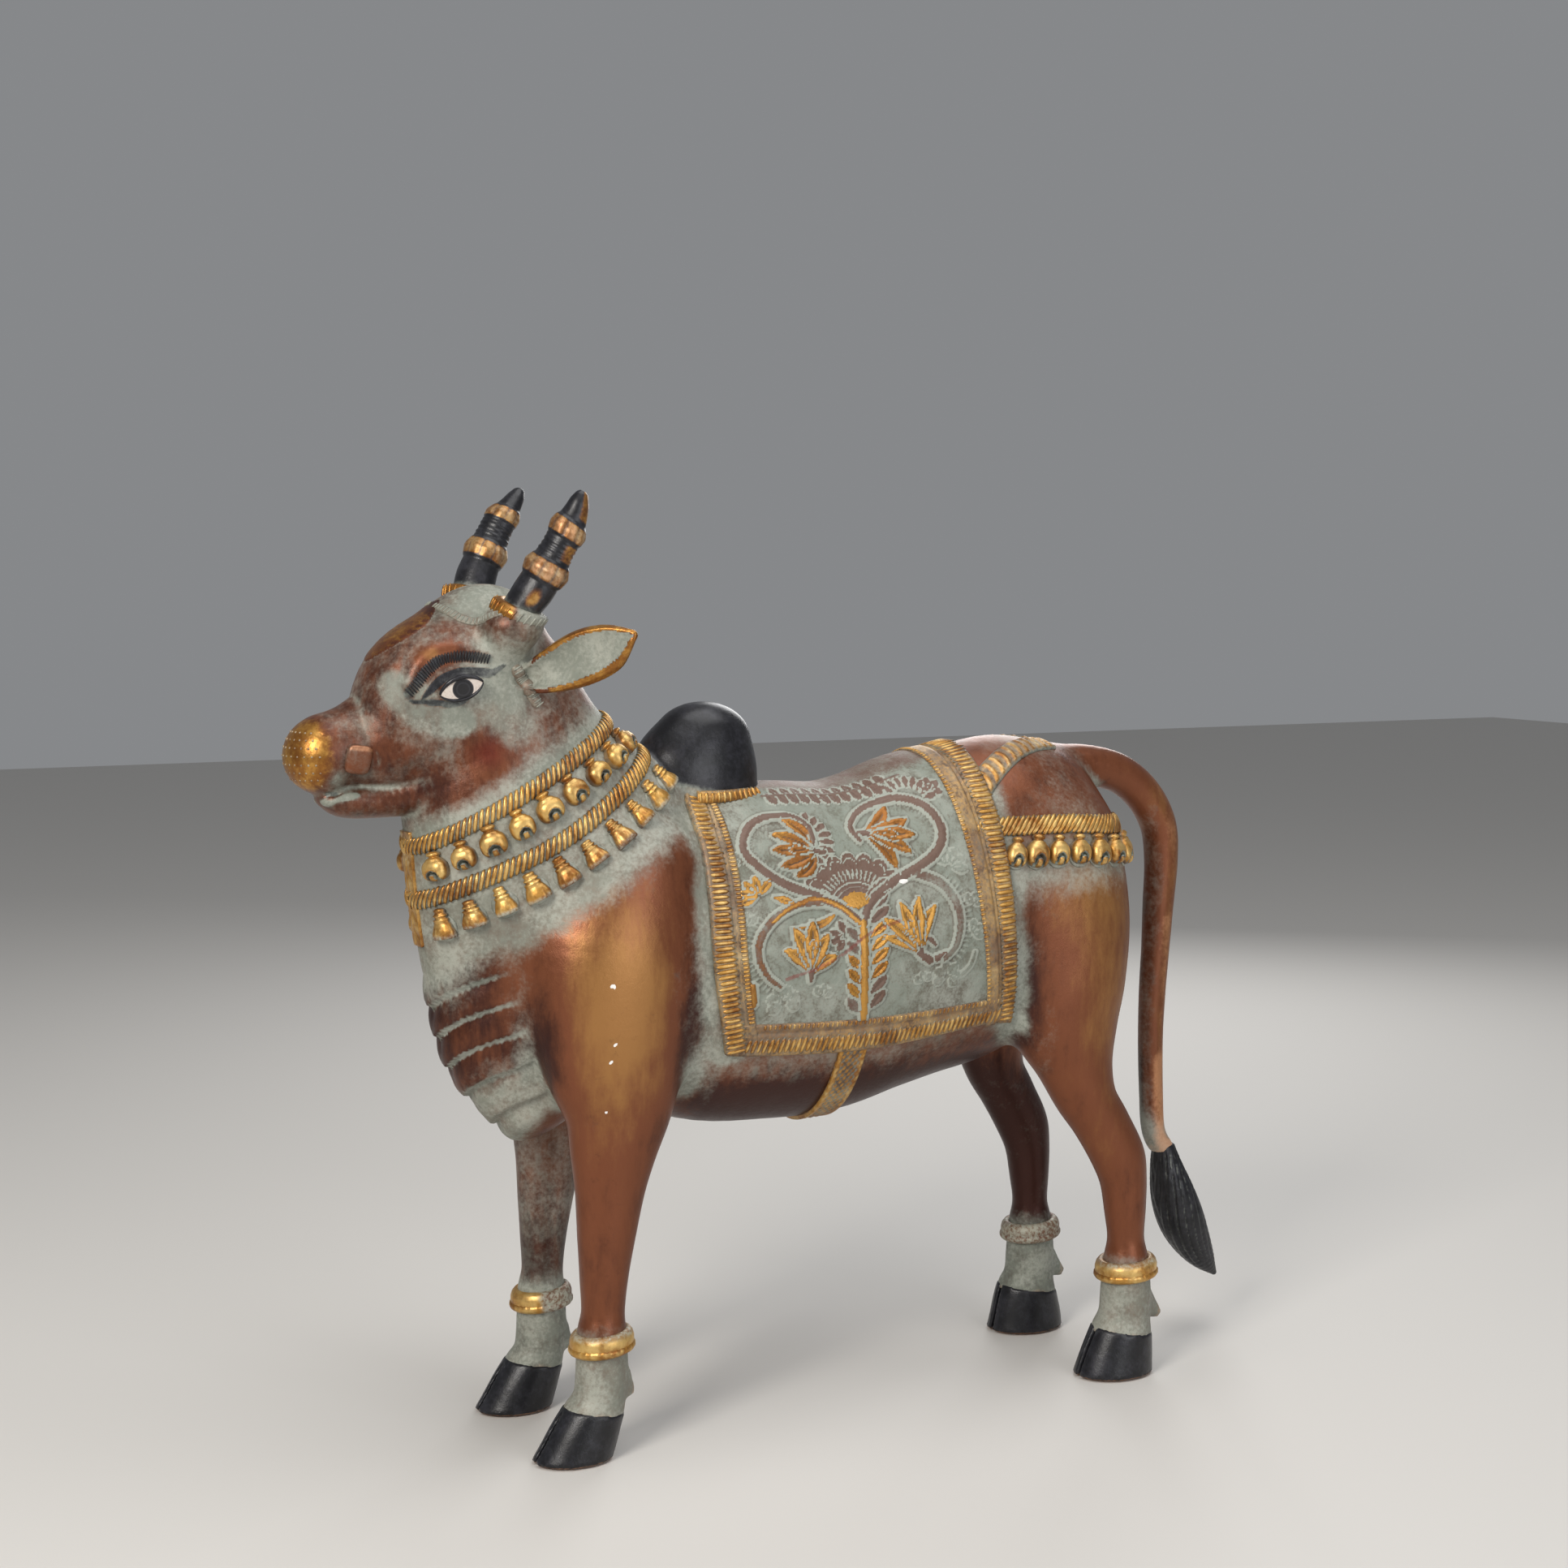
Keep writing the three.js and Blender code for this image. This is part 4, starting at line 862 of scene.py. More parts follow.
def repeated(unit_shape, at, facing, running, size, finish, uneven_by, seed):
    """The unit shape on every spot, as one shape. Size is a row of three for each spot, or one for all."""
    piece = bpy.data.objects.new("unit", mesh_of("unit", unit_shape))
    host = bpy.data.objects.new("spots", mesh_of("spots", Shape(at, np.zeros((0, 3), int))))
    rows = np.broadcast_to(np.asarray(size, float), (len(at), 3))
    for key, values in (("facing", facing), ("running", running), ("size", rows)):
        mark = host.data.attributes.new(key, "FLOAT_VECTOR", "POINT")
        mark.data.foreach_set("vector", np.ascontiguousarray(values, np.float32).ravel())
    for obj in (piece, host):
        bpy.context.scene.collection.objects.link(obj)
    modifier = host.modifiers.new("repeat", "NODES")
    tree = repeat_tree()
    modifier.node_group = tree
    values = {"Piece": piece, "Unevenness": uneven_by, "Seed": seed, "Finish": finish}
    for item in tree.interface.items_tree:
        if item.in_out == "INPUT" and item.name in values:
            modifier[item.identifier] = values[item.name]
    graph = bpy.context.evaluated_depsgraph_get()
    grown = host.evaluated_get(graph)
    made = bpy.data.meshes.new_from_object(grown, preserve_all_data_layers=True, depsgraph=graph)
    host.modifiers.clear()
    v = np.empty(len(made.vertices) * 3)
    made.vertices.foreach_get("co", v)
    sizes = np.empty(len(made.polygons), int)
    made.polygons.foreach_get("loop_total", sizes)
    loops = np.empty(len(made.loops), int)
    made.loops.foreach_get("vertex_index", loops)
    starts = np.concatenate([[0], np.cumsum(sizes)[:-1]])
    faces = [loops[starts[sizes == n][:, None] + np.arange(n)] for n in np.unique(sizes)]
    kept = {}
    for key in unit_shape.marks:
        if key in made.attributes:
            data = np.empty(len(made.vertices))
            made.attributes[key].data.foreach_get("value", data)
            kept[key] = data
    for obj in (piece, host):
        mesh = obj.data
        bpy.data.objects.remove(obj)
        bpy.data.meshes.remove(mesh)
    bpy.data.meshes.remove(made)
    if not len(v):
        raise RuntimeError("nothing was repeated on the spots")
    return Shape(v.reshape(-1, 3), faces, **kept)


# Lines laid on the body


def spread(at, out, count, first, last):
    """Spots at even distances along a closely sampled line, with the way the line runs at each."""
    length = distances(at)
    wanted = np.linspace(first, last, count) * length[-1]

    def read(rows, where):
        return np.stack([np.interp(where, length, rows[:, k]) for k in range(3)], axis=1)

    return read(at, wanted), unit(read(out, wanted)), unit(read(at, wanted + 1) - read(at, wanted - 1))


def capsule(length, width, height, rings=6, sides=6):
    """A rounded grain along X, half sunk, for one rib."""
    t = np.linspace(-1, 1, rings)
    fat = np.maximum(0.12, 1 - np.abs(t) ** 4)
    points = np.stack([t * length / 2, 0 * t, 0 * t], axis=1)
    up = np.tile([0.0, 0, 1], (rings, 1))
    made = tube(points, np.stack([fat * height, np.sqrt(fat) * width / 2], axis=1), sides, up)
    made.marks["crest"] = np.clip(made.v[:, 2] / height, 0, 1)
    return made


def twist(radius, thick, slant):
    """One slanting strand of a rope, wrapped over its upper half; the rope runs along X."""
    a = np.radians(np.linspace(-80, 80, 9))
    points = np.stack([slant * np.sin(a), radius * np.sin(a), radius * np.cos(a)], axis=1)
    up = np.stack([0 * a, np.sin(a), np.cos(a)], axis=1)
    fat = np.maximum(0.25, np.cos(a) ** 0.35)
    made = tube(points, fat * thick, 6, up)
    rise = (made.v[:, 1] ** 2 + made.v[:, 2] ** 2) ** 0.5
    made.marks["crest"] = np.clip((rise - radius) / thick, 0, 1)
    return made


def solid_unit(f, size, step):
    """A small turned or carved piece from its own field, about the origin."""
    lo = -np.array(size, float)
    return skin_mesh(f, lo, -lo, step)


# Cloth


def front_edge(a):
    return -122 + 13 * np.maximum(0, (a - 80) / 55) ** 2


def rear_edge(a):
    return 109 + 15 * (a / 135) ** 2


FRONT_BORDER = 25.0


def rear_border(a):
    return 37 - 12 * (a / 135)


class Cover:
    """Places on the trunk given by Y and by the angle down from the spine, read from a coarse grid."""

    def __init__(self, ys, angles):
        self.ys, self.angles = ys, angles
        y, a = np.meshgrid(ys, np.radians(angles), indexing="ij")
        way = np.stack([np.sin(a), 0 * a, np.cos(a)], axis=-1).reshape(-1, 3)
        start = np.stack([0 * y, y, 0 * y + CLOTH_AXIS], axis=-1).reshape(-1, 3)
        at, out = outward(trunk, start, way, first=60, last=172)
        self.grid = np.concatenate([at, out], axis=1).reshape(len(ys), len(angles), 6)

    def at(self, y, a):
        y, a = np.broadcast_arrays(np.asarray(y, float), np.asarray(a, float))
        fy = np.clip((y - self.ys[0]) / (self.ys[1] - self.ys[0]), 1, len(self.ys) - 2.001)
        fa = np.clip((a - self.angles[0]) / (self.angles[1] - self.angles[0]), 1, len(self.angles) - 2.001)
        iy, ia = np.floor(fy).astype(int), np.floor(fa).astype(int)
        wy, wa = self.weights(fy - iy), self.weights(fa - ia)
        total = 0
        for m in range(4):
            row = 0
            for n in range(4):
                row = row + self.grid[iy + m - 1, ia + n - 1] * wa[n][..., None]
            total = total + row * wy[m][..., None]
        at = total[..., :3]
        at[..., 0] = np.where(np.abs(a) < 1e-9, 0, at[..., 0])
        return at, unit(total[..., 3:])

    @staticmethod
    def weights(s):
        s2, s3 = s * s, s * s * s
        return [(-s + 2 * s2 - s3) / 2, (2 - 5 * s2 + 3 * s3) / 2, (s + 4 * s2 - 3 * s3) / 2, (s3 - s2) / 2]


class Relief:
    """Low relief on the cloth, in millimetres along the back (u) and down the side (v)."""

    def __init__(self, u, v):
        self.u, self.v = u, v
        self.height = np.zeros_like(u)
        self.gilt = np.zeros_like(u)
        self.worn = np.zeros_like(u)
        self.line = np.zeros_like(u)

    def lay(self, height, gilt=0.0, worn=0.0, line=0.0):
        above = height > self.height
        self.height = np.where(above, height, self.height)
        cover = np.clip(height / 0.45, 0, 1) * above
        self.gilt = self.gilt * (1 - cover) + gilt * cover
        self.worn = self.worn * (1 - cover) + worn * cover
        self.line = self.line * (1 - cover) + line * cover

    def trace(self, points, margin):
        """For the places near a smooth line: how far off it, on which side, and how far along it they lie."""
        line = smooth_line(points, 2.0)
        lo, hi = line.min(axis=0) - margin, line.max(axis=0) + margin
        mask = (self.u > lo[0]) & (self.u < hi[0]) & (self.v > lo[1]) & (self.v < hi[1])
        u, v = self.u[mask], self.v[mask]
        best, side, along = np.full(len(u), FAR), np.zeros(len(u)), np.zeros(len(u))
        run = 0.0
        for a, b in zip(line[:-1], line[1:]):
            d = b - a
            length = np.hypot(*d)
            t = np.clip(((u - a[0]) * d[0] + (v - a[1]) * d[1]) / max(1e-9, length**2), 0, 1)
            du, dv = u - a[0] - t * d[0], v - a[1] - t * d[1]
            gap = np.hypot(du, dv)
            closer = gap < best
            best = np.where(closer, gap, best)
            side = np.where(closer, np.sign(d[0] * dv - d[1] * du), side)
            along = np.where(closer, run + t * length, along)
            run += length
        return mask, best, side, along, run

    def put(self, mask, values, **paint):
        full = np.zeros_like(self.u)
        full[mask] = values
        self.lay(full, **paint)

    def stroke(self, points, widths, height, gilt=0.0, worn=0.0, rims=0.0):
        """A ridge along a smooth line, with thin pale lines along its edges where rims is given."""
        mask, gap, _, along, length = self.trace(points, max(widths) + 3)
        half = np.interp(along / length, np.linspace(0, 1, len(widths)), widths)
        self.put(mask, height * np.sqrt(np.clip(1 - (gap / half) ** 2, 0, 1)), gilt=gilt, worn=worn)
        if rims:
            self.put(mask, rims * np.clip(1.35 - np.abs(gap - half - 0.6) / 1.1, 0, 1), line=1.0)

    def frill(self, points, near, far, pitch, height, side, **paint):
        """Short strokes standing on one side of a line."""
        mask, gap, which, along, length = self.trace(points, far + 3)
        stripe = np.clip(np.sin(2 * np.pi * along / pitch) * 1.4, 0, 1)
        within = ease(gap, near - 0.5, near + 0.5) * (1 - ease(gap, far - 1, far + 0.5))
        within = within * (which == side) * (along > 0.5) * (along < length - 0.5)
        self.put(mask, height * stripe * within, **paint)

    def petal(self, base, tip, width, height, gilt=0.0, worn=0.0, bend=0.0, rim=1.0):
        """A pointed leaf with a pale raised edge and a groove down its middle."""
        base, tip = np.array(base, float), np.array(tip, float)
        way = tip - base
        length = np.hypot(*way)
        way = way / length
        s = ((self.u - base[0]) * way[0] + (self.v - base[1]) * way[1]) / length
        side = -(self.u - base[0]) * way[1] + (self.v - base[1]) * way[0]
        side = side - bend * length * s * (1 - s) * 4
        inside = np.clip(s, 1e-3, 1 - 1e-3)
        half = width * np.sin(np.pi * inside**1.2) ** 0.75 + 0.15
        within = (s > 0) & (s < 1)
        gap = half - np.abs(side)
        swell = height * (0.75 + 0.25 * ease(gap, 2.5, 0.5)) * ease(gap, -0.2, 0.8)
        groove = 0.45 * height * peak(side, 0, 0.7) * ease(s, 0.1, 0.2) * (1 - ease(s, 0.7, 0.85))
        self.lay(np.where(within, swell - groove, 0), gilt, worn)
        if rim:
            edge = np.clip(1.35 - np.abs(gap + 0.85) / 0.9, 0, 1) * (s > -0.02) * (s < 1.03)
            self.lay(rim * 0.75 * height * edge, line=1.0)

    def fan(self, centre, radius, start, end, count, height, gilt, worn):
        """A scalloped fan with rays, opening between two angles from the way up the cloth."""
        du, dv = self.u - centre[0], centre[1] - self.v
        r = np.hypot(du, dv)
        a = np.degrees(np.arctan2(du, dv))
        share = (a - start) / (end - start)
        within = (share > -0.02) & (share < 1.02)
        lobe = np.abs(np.sin(np.pi * np.clip(share, 0, 1) * count))
        edge = radius * (0.86 + 0.14 * lobe**0.6)

        def arc(at, width):
            return np.where(within, np.clip(1.3 - np.abs(r - at) / width, 0, 1), 0)

        self.lay(np.where(within & (r < edge), height * 0.5, 0), 0.05, worn)
        self.lay(height * arc(edge, 0.9), line=1.0)
        self.lay(0.8 * height * arc(edge - 4.5, 0.7) * (r > radius * 0.72), line=0.9)
        ray = np.clip(np.sin(2 * np.pi * share * count * 2.6) * 1.5, 0, 1)
        rays = ease(r, radius * 0.5, radius * 0.54) * (1 - ease(r, radius * 0.68, radius * 0.74))
        self.lay(np.where(within, height * ray * rays, 0), line=0.8)
        self.lay(height * arc(radius * 0.47, 0.8), line=0.9)
        self.lay(height * arc(radius * 0.39, 0.7), line=0.5, worn=0.5)
        dome = height * (1.3 * np.sqrt(np.clip(1 - (r / (radius * 0.34)) ** 2, 0, 1)))
        texture = 0.25 * np.sin(r * 2.2) * np.sin(np.radians(a) * 9)
        self.lay(np.where(within, dome + texture * (dome > 0.3), 0), gilt, 0.1)


# Points of the carving on the cloth: distance along the back and down the side.
SCROLLS = {
    "front_upper": [
        (-12, 135), (-26, 123), (-44, 113), (-65, 103), (-81, 90), (-91, 74), (-84, 58), (-69, 50),
        (-49, 50), (-38, 60), (-38, 73)
    ],
    "rear_upper": [
        (-9, 136), (-2, 121), (17, 107), (39, 97), (55, 87), (62, 74), (58, 60), (48, 50), (33, 44),
        (14, 46), (2, 52), (-5, 62), (-1, 72)
    ],
    "front_lower": [
        (-15, 133), (-33, 120), (-53, 118), (-73, 126), (-86, 140), (-90, 156), (-84, 172), (-74, 181)
    ],
    "rear_lower": [(36, 102), (53, 110), (64, 125), (67, 143), (63, 160), (54, 169)],
}
LOTUSES = [
    {"base": (-39, 79), "tips": [(-57, 52), (-68, 64), (-71, 76), (-67, 89), (-57, 98)], "gilt": 0.62},
    {"base": (7, 68), "tips": [(27, 49), (39, 62), (42, 74), (36, 87), (22, 98)], "gilt": 0.72},
    {"base": (-51, 170), "tips": [(-71, 153), (-64, 136), (-49, 132), (-37, 143), (-31, 160)], "gilt": 1.0},
    {"base": (34, 160), "tips": [(6, 149), (6, 134), (20, 122), (35, 119), (48, 126)], "gilt": 1.0},
]
# Gilding and wear of each scroll.
SCROLL_PAINT = {
    "front_upper": (0.1, 0.85), "rear_upper": (0.05, 0.95), "front_lower": (0.35, 0.6),
    "rear_lower": (0.0, 0.5)
}

# Small leaves of the ground: centre, inner and outer radius, angles, width, height and wear.
GROUND_LEAVES = [
    ((62, 99), 2, 15, (-40, -5, 30, 65, 100), 3.2, 0.9, 0.15),
    ((78, 128), 0, 10, (-30, 20, 70), 2.6, 0.7, 0),
    ((77, 150), 0, 11, (10, 60, 110), 2.8, 0.7, 0),
    ((-97, 132), 0, 10, (-60, 0, 50), 2.6, 0.7, 0),
    ((-97, 160), 0, 10, (-40, 10, 60), 2.6, 0.7, 0),
    ((-95, 84), 0, 10, (-70, -20, 30), 2.6, 0.7, 0.3),
    ((-71, 193), 2, 13, (-120, -75, -30, 15, 60, 105), 3.6, 0.9, 0),
    ((57, 183), 2, 12, (-110, -60, -10, 40, 90, 130), 3.4, 0.9, 0),
    ((38, 186), 1, 9, (-60, -10, 40), 2.6, 0.7, 0),
    ((-42, 190), 1, 9, (-40, 10, 60), 2.6, 0.7, 0),
]


def carve_lotus(relief, lotus):
    base, tips = np.array(lotus["base"], float), np.array(lotus["tips"], float)
    centre = tips.mean(axis=0)
    for rank, i in enumerate((0, 4, 1, 3, 2)):
        start = base + (tips[i] - centre) * 0.14
        relief.petal(start, tips[i], 4.7, 1.8 + 0.25 * rank, lotus["gilt"], 0.35, bend=0.06 * (2 - i))
    heart = base + (tips[2] - base) * 0.45
    relief.petal(base + (tips[2] - base) * 0.1, heart + (tips[2] - base) * 0.15, 2.2, 3.2, lotus["gilt"], 0.2)
    stalk = base + unit(base - centre) * 8
    relief.stroke([base + (centre - base) * 0.12, stalk], [3.2, 1.6], 1.6, lotus["gilt"] * 0.3, 0.9, rims=1.1)


def rosette(relief, centre, inner, outer, angles, width, height, **paint):
    """Leaves standing round a centre, at the angles from the way up the cloth."""
    for a in np.radians(angles):
        way = np.array([np.sin(a), -np.cos(a)])
        relief.petal(np.array(centre) + way * inner, np.array(centre) + way * outer, width, height, **paint)


def carve_vine(relief):
    """The vine of the side panel: stem, fan, four scrolls with a lotus in each, and small leaves."""
    # Faint carving of the ground.
    relief.frill(SCROLLS["rear_lower"][1:], 5, 11, 3.4, 0.8, -1, line=0.5)
    relief.frill(SCROLLS["front_lower"][3:], 5, 10, 3.2, 0.8, 1, line=0.5)
    relief.frill(SCROLLS["rear_upper"][3:9], 4.5, 10, 3.4, 0.9, -1, worn=0.3, line=0.4)
    relief.frill(SCROLLS["front_upper"][3:8], 5, 10, 3.4, 0.8, 1, worn=0.3, line=0.3)
    for *leaves, worn in GROUND_LEAVES:
        rosette(relief, *leaves, worn=worn)
    relief.stroke([(70, 183), (77, 176), (80, 166)], [1.8, 1.2], 0.8, rims=0.6)
    # Fan and leafy stem.
    relief.fan((-13, 126), 45, -64, 62, 7, 1.5, gilt=0.9, worn=0.95)
    for i, v in enumerate(np.arange(204, 132, -10.5)):
        relief.petal((-12, v), (-23, v - 12), 3.4, 1.4, gilt=0.8 if 0 < i < 4 else 0.2, worn=0.6)
    for i, v in enumerate(np.arange(204, 112, -10.5)):
        relief.petal((-5, v - 3), (7 + 0.8 * i, v - 16), 3.6, 1.5, gilt=0.8 if 1 < i < 6 else 0.1, worn=0.8)
    for name, points in SCROLLS.items():
        gilt, worn = SCROLL_PAINT[name]
        relief.stroke(points, [3.6, 3.8, 3.4, 2.9, 2.0], 1.6, gilt, worn, rims=1.5)
    relief.stroke([(-9, 207), (-10, 181), (-10, 158), (-10, 136)], [3.0, 3.2, 3.6], 1.9, 1.0, 0.1, rims=1.3)
    relief.stroke([(-12, 137), (-25, 124), (-40, 116), (-52, 116)], [2.6, 2.8, 2.0], 1.9, 0.85, 0.2, rims=1.2)
    relief.stroke([(-52, 117), (-66, 122), (-78, 131)], [2.4, 1.8], 1.9, 0.8, 0.2, rims=1.1)
    for lotus in LOTUSES:
        carve_lotus(relief, lotus)
    # Frills of the upper lotuses, the star leaf, the bud, the curl and the rows along the top.
    rosette(relief, (-46, 70), 13, 25, np.linspace(25, 150, 8), 2.4, 1.2, worn=0.95)
    rosette(relief, (-86, 110), 1, 16, (-110, -75, -40, -5, 40), 3.2, 1.6, gilt=0.95, worn=0.1)
    relief.petal((-77, 111), (-60, 118), 3.0, 1.6, gilt=0.9)
    relief.petal((-62, 137), (-30, 128), 3.0, 1.4, gilt=0.9, worn=0.3, bend=0.12)
    rosette(relief, (-24, 146), 2, 13, (-150, -110, -70, -20), 2.8, 1.3, worn=0.9)
    relief.stroke(
        [(42, 169), (34, 163), (34, 155), (41, 152), (46, 157)], [3.4, 2.8, 1.6], 1.6, 0.05, 1.0, rims=1.2
    )
    relief.stroke([(48, 168), (56, 164)], [3.0, 1.5], 1.5, 0.05, 1.0, rims=1.0)
    relief.stroke([(-95, 181), (-94, 193)], [3.8, 3.4], 2.2, 0.8, 0.1, rims=0.9)
    for u in np.linspace(-58, 26, 11):
        relief.petal((u, 27), (u + 4, 39), 4.0, 1.1, gilt=0.05, worn=0.95)
    for u in np.linspace(-52, 32, 11):
        relief.petal((u, 20), (u + 3, 30), 3.2, 0.9, worn=0.8)
    relief.stroke([(-62, 30), (-20, 29), (48, 28)], [1.3, 1.3], 1.2, 0, 0.6)
    rosette(relief, (44, 52), 13, 23, np.linspace(-30, 80, 8), 2.2, 1.1, worn=0.8)
    rosette(relief, (64, 44), 0, 9, (-60, 0, 60, 120), 2.6, 1.0, worn=0.9)


# Paint


def paint_hex(text):
    """A colour written as on a paint chart, as the linear values a shader takes."""
    parts = [int(text[i : i + 2], 16) / 255 for i in (1, 3, 5)]
    return tuple(c / 12.92 if c <= 0.04045 else ((c + 0.055) / 1.055) ** 2.4 for c in parts)


class Link:
    """A socket that can be used in sums."""

    def __init__(self, shade, socket):
        self.shade, self.socket = shade, socket

    def maths(self, operation, other, swap=False):
        pair = (other, self) if swap else (self, other)
        return self.shade.node("ShaderNodeMath", {"operation": operation}, {0: pair[0], 1: pair[1]})

    def __add__(self, other):
        return self.maths("ADD", other)

    def __radd__(self, other):
        return self.maths("ADD", other, True)

    def __sub__(self, other):
        return self.maths("SUBTRACT", other)

    def __rsub__(self, other):
        return self.maths("SUBTRACT", other, True)

    def __mul__(self, other):
        return self.maths("MULTIPLY", other)

    def __rmul__(self, other):
        return self.maths("MULTIPLY", other, True)


class Shade:
    """A material under construction."""

    def __init__(self, name):
        self.material = bpy.data.materials.new(TAG + name)
        self.material.use_nodes = True
        self.tree = self.material.node_tree
        self.tree.nodes.clear()
        self.place = self.node("ShaderNodeTexCoord", {}, {}, "Object")

    def node(self, kind, settings, values, output=0):
        made = self.tree.nodes.new(kind)
        for key, value in settings.items():
            setattr(made, key, value)
        for key, value in values.items():
            socket = made.inputs[key]
            if isinstance(value, Link):
                self.tree.links.new(value.socket, socket)
            elif isinstance(value, tuple) and len(value) == 3 and socket.type == "RGBA":
                socket.default_value = (*value, 1)
            else:
                socket.default_value = value
        return Link(self, made.outputs[output])

    def mark(self, name):
        return self.node("ShaderNodeAttribute", {"attribute_name": name}, {}, "Fac")

    def noise(self, size, detail, rough, stretch=None, warp=0.0):
        """Soft noise from 0 to 1 whose patches are about size metres across."""
        place = self.place
        if stretch:
            place = self.node("ShaderNodeMapping", {}, {"Vector": place, "Scale": stretch})
        values = {
            "Vector": place, "Scale": 1 / size, "Detail": detail, "Roughness": rough, "Distortion": warp
        }
        return self.node("ShaderNodeTexNoise", {}, values, "Fac")

    def between(self, value, low, high):
        """0 where value is at low and 1 where it is at high, with a soft step."""
        values = {"Value": value, "From Min": low, "From Max": high}
        return self.node("ShaderNodeMapRange", {"interpolation_type": "SMOOTHSTEP"}, values, "Result")

    def mix(self, share, first, second):
        """Two colours mixed. The node has its colours at inputs 6 and 7 and at output 2."""
        return self.node("ShaderNodeMix", {"data_type": "RGBA"}, {0: share, 6: first, 7: second}, 2)

    def blend(self, share, first, second):
        """Numbers mixed as colours are."""
        change = (second - first) * share
        return first + change if isinstance(first, Link) else change + first

    def bump(self, height, depth, strength=1.0, under=None):
        values = {"Height": height, "Distance": depth, "Strength": strength}
        if under:
            values["Normal"] = under
        return self.node("ShaderNodeBump", {}, values, "Normal")

    def done(self, **values):
        names = {key.replace("_", " ").title(): value for key, value in values.items()}
        surface = self.node("ShaderNodeBsdfPrincipled", {}, names, "BSDF")
        made = self.tree.nodes.new("ShaderNodeOutputMaterial")
        self.tree.links.new(surface.socket, made.inputs["Surface"])
        return self.material


def patina(colours):
    """Copper-brown casting: dark and golden reaches, grey-green wash, soot black and gilding by marks."""
    s = Shade("patina")
    cloud = s.noise(0.05, 3, 0.5, warp=0.5)
    mottle = s.noise(0.014, 5, 0.6, warp=0.4)
    grain = s.noise(0.003, 4, 0.65)
    streak = s.noise(0.016, 4, 0.6, stretch=(2.4, 2.4, 0.7))
    fine = s.noise(0.0010, 3, 0.6)
    specks = s.node(
        "ShaderNodeTexVoronoi", {"feature": "F1"}, {"Vector": s.place, "Scale": 300.0}, "Distance"
    )

    glow = s.mark("glow") + (cloud - 0.5) * 0.5 + (streak - 0.5) * 0.55 + (grain - 0.5) * 0.15
    metal = s.mix(s.between(glow, 0.0, 0.5), colours["dark"], colours["copper"])
    metal = s.mix(s.between(glow, 0.5, 1.15), metal, colours["bronze"])
    metal = s.mix(
        s.between(s.mark("blush") + (mottle - 0.5) * 0.5, 0.2, 0.95) * 0.85, metal, colours["blush"]
    )
    metal = s.mix(s.between(mottle + (grain - 0.5) * 0.5, 0.62, 0.85) * 0.4, metal, colours["dark"])

    gilt = s.between(s.mark("gilt") + (mottle - 0.5) * 0.4 + (grain - 0.5) * 0.3, 0.3, 0.75)
    gold = s.mix(s.between(mottle + (grain - 0.5) * 0.5, 0.35, 0.75), colours["gold_deep"], colours["gold"])

    # Black paint, and painted shade below the cheek, where the marks put them.
    soot = s.between(s.mark("soot") + (mottle - 0.5) * 0.5 + (grain - 0.5) * 0.4, 0.36, 0.66) * (1 - gilt)
    black = s.mix(s.between(mottle + (grain - 0.5) * 0.6, 0.35, 0.8), colours["black"], colours["slate"])

    wash = s.mark("wash") + (mottle - 0.5) * 0.7 + (grain - 0.5) * 0.5 + (cloud - 0.5) * 0.3
    wash = s.between(wash, 0.15, 1.0) * 0.9
    pale = s.mix(s.between(cloud + (grain - 0.5) * 0.7, 0.32, 0.68), colours["verdigris"], colours["pale"])
    pale = s.mix(s.between(mottle + (grain - 0.5) * 0.7, 0.62, 0.8) * 0.5, pale, colours["moss"])

    colour = s.mix(gilt, metal, gold)
    colour = s.mix(soot, colour, black)
    colour = s.mix(wash, colour, pale)
    # Rubbed metal on worn crests, and painted highlights where the crest mark is raised for them.
    rub = s.between(s.mark("crest") + (grain - 0.5) * 0.5, 0.45, 0.95)
    colour = s.mix(rub * 0.6, colour, colours["rub"])
    pit = s.between(specks, 0.12, 0.05) * s.between(cloud, 0.55, 0.7)
    colour = s.mix(pit * 0.5, colour, colours["umber"])
    chip = s.between(s.mark("chip") + (grain - 0.5) * 0.5, 0.4, 0.55)
    colour = s.mix(chip, colour, colours["chip"])

    rough = s.blend(soot, s.blend(gilt, 0.37 + (grain - 0.5) * 0.2 + (streak - 0.5) * 0.12, 0.34), 0.34)
    rough = rough + (0.62 - rough) * wash
    metallic = s.blend(soot, s.blend(gilt, 0.55, 0.75), 0.15)
    metallic = metallic * (1 - wash * 0.95) * (1 - chip)
    relief = s.bump(fine, 0.0002, 0.3)
    relief = s.bump(grain, 0.0005, 0.28, relief)
    relief = s.bump(mottle, 0.0012, 0.15, relief)
    return s.done(base_color=colour, roughness=rough, metallic=metallic, normal=relief)


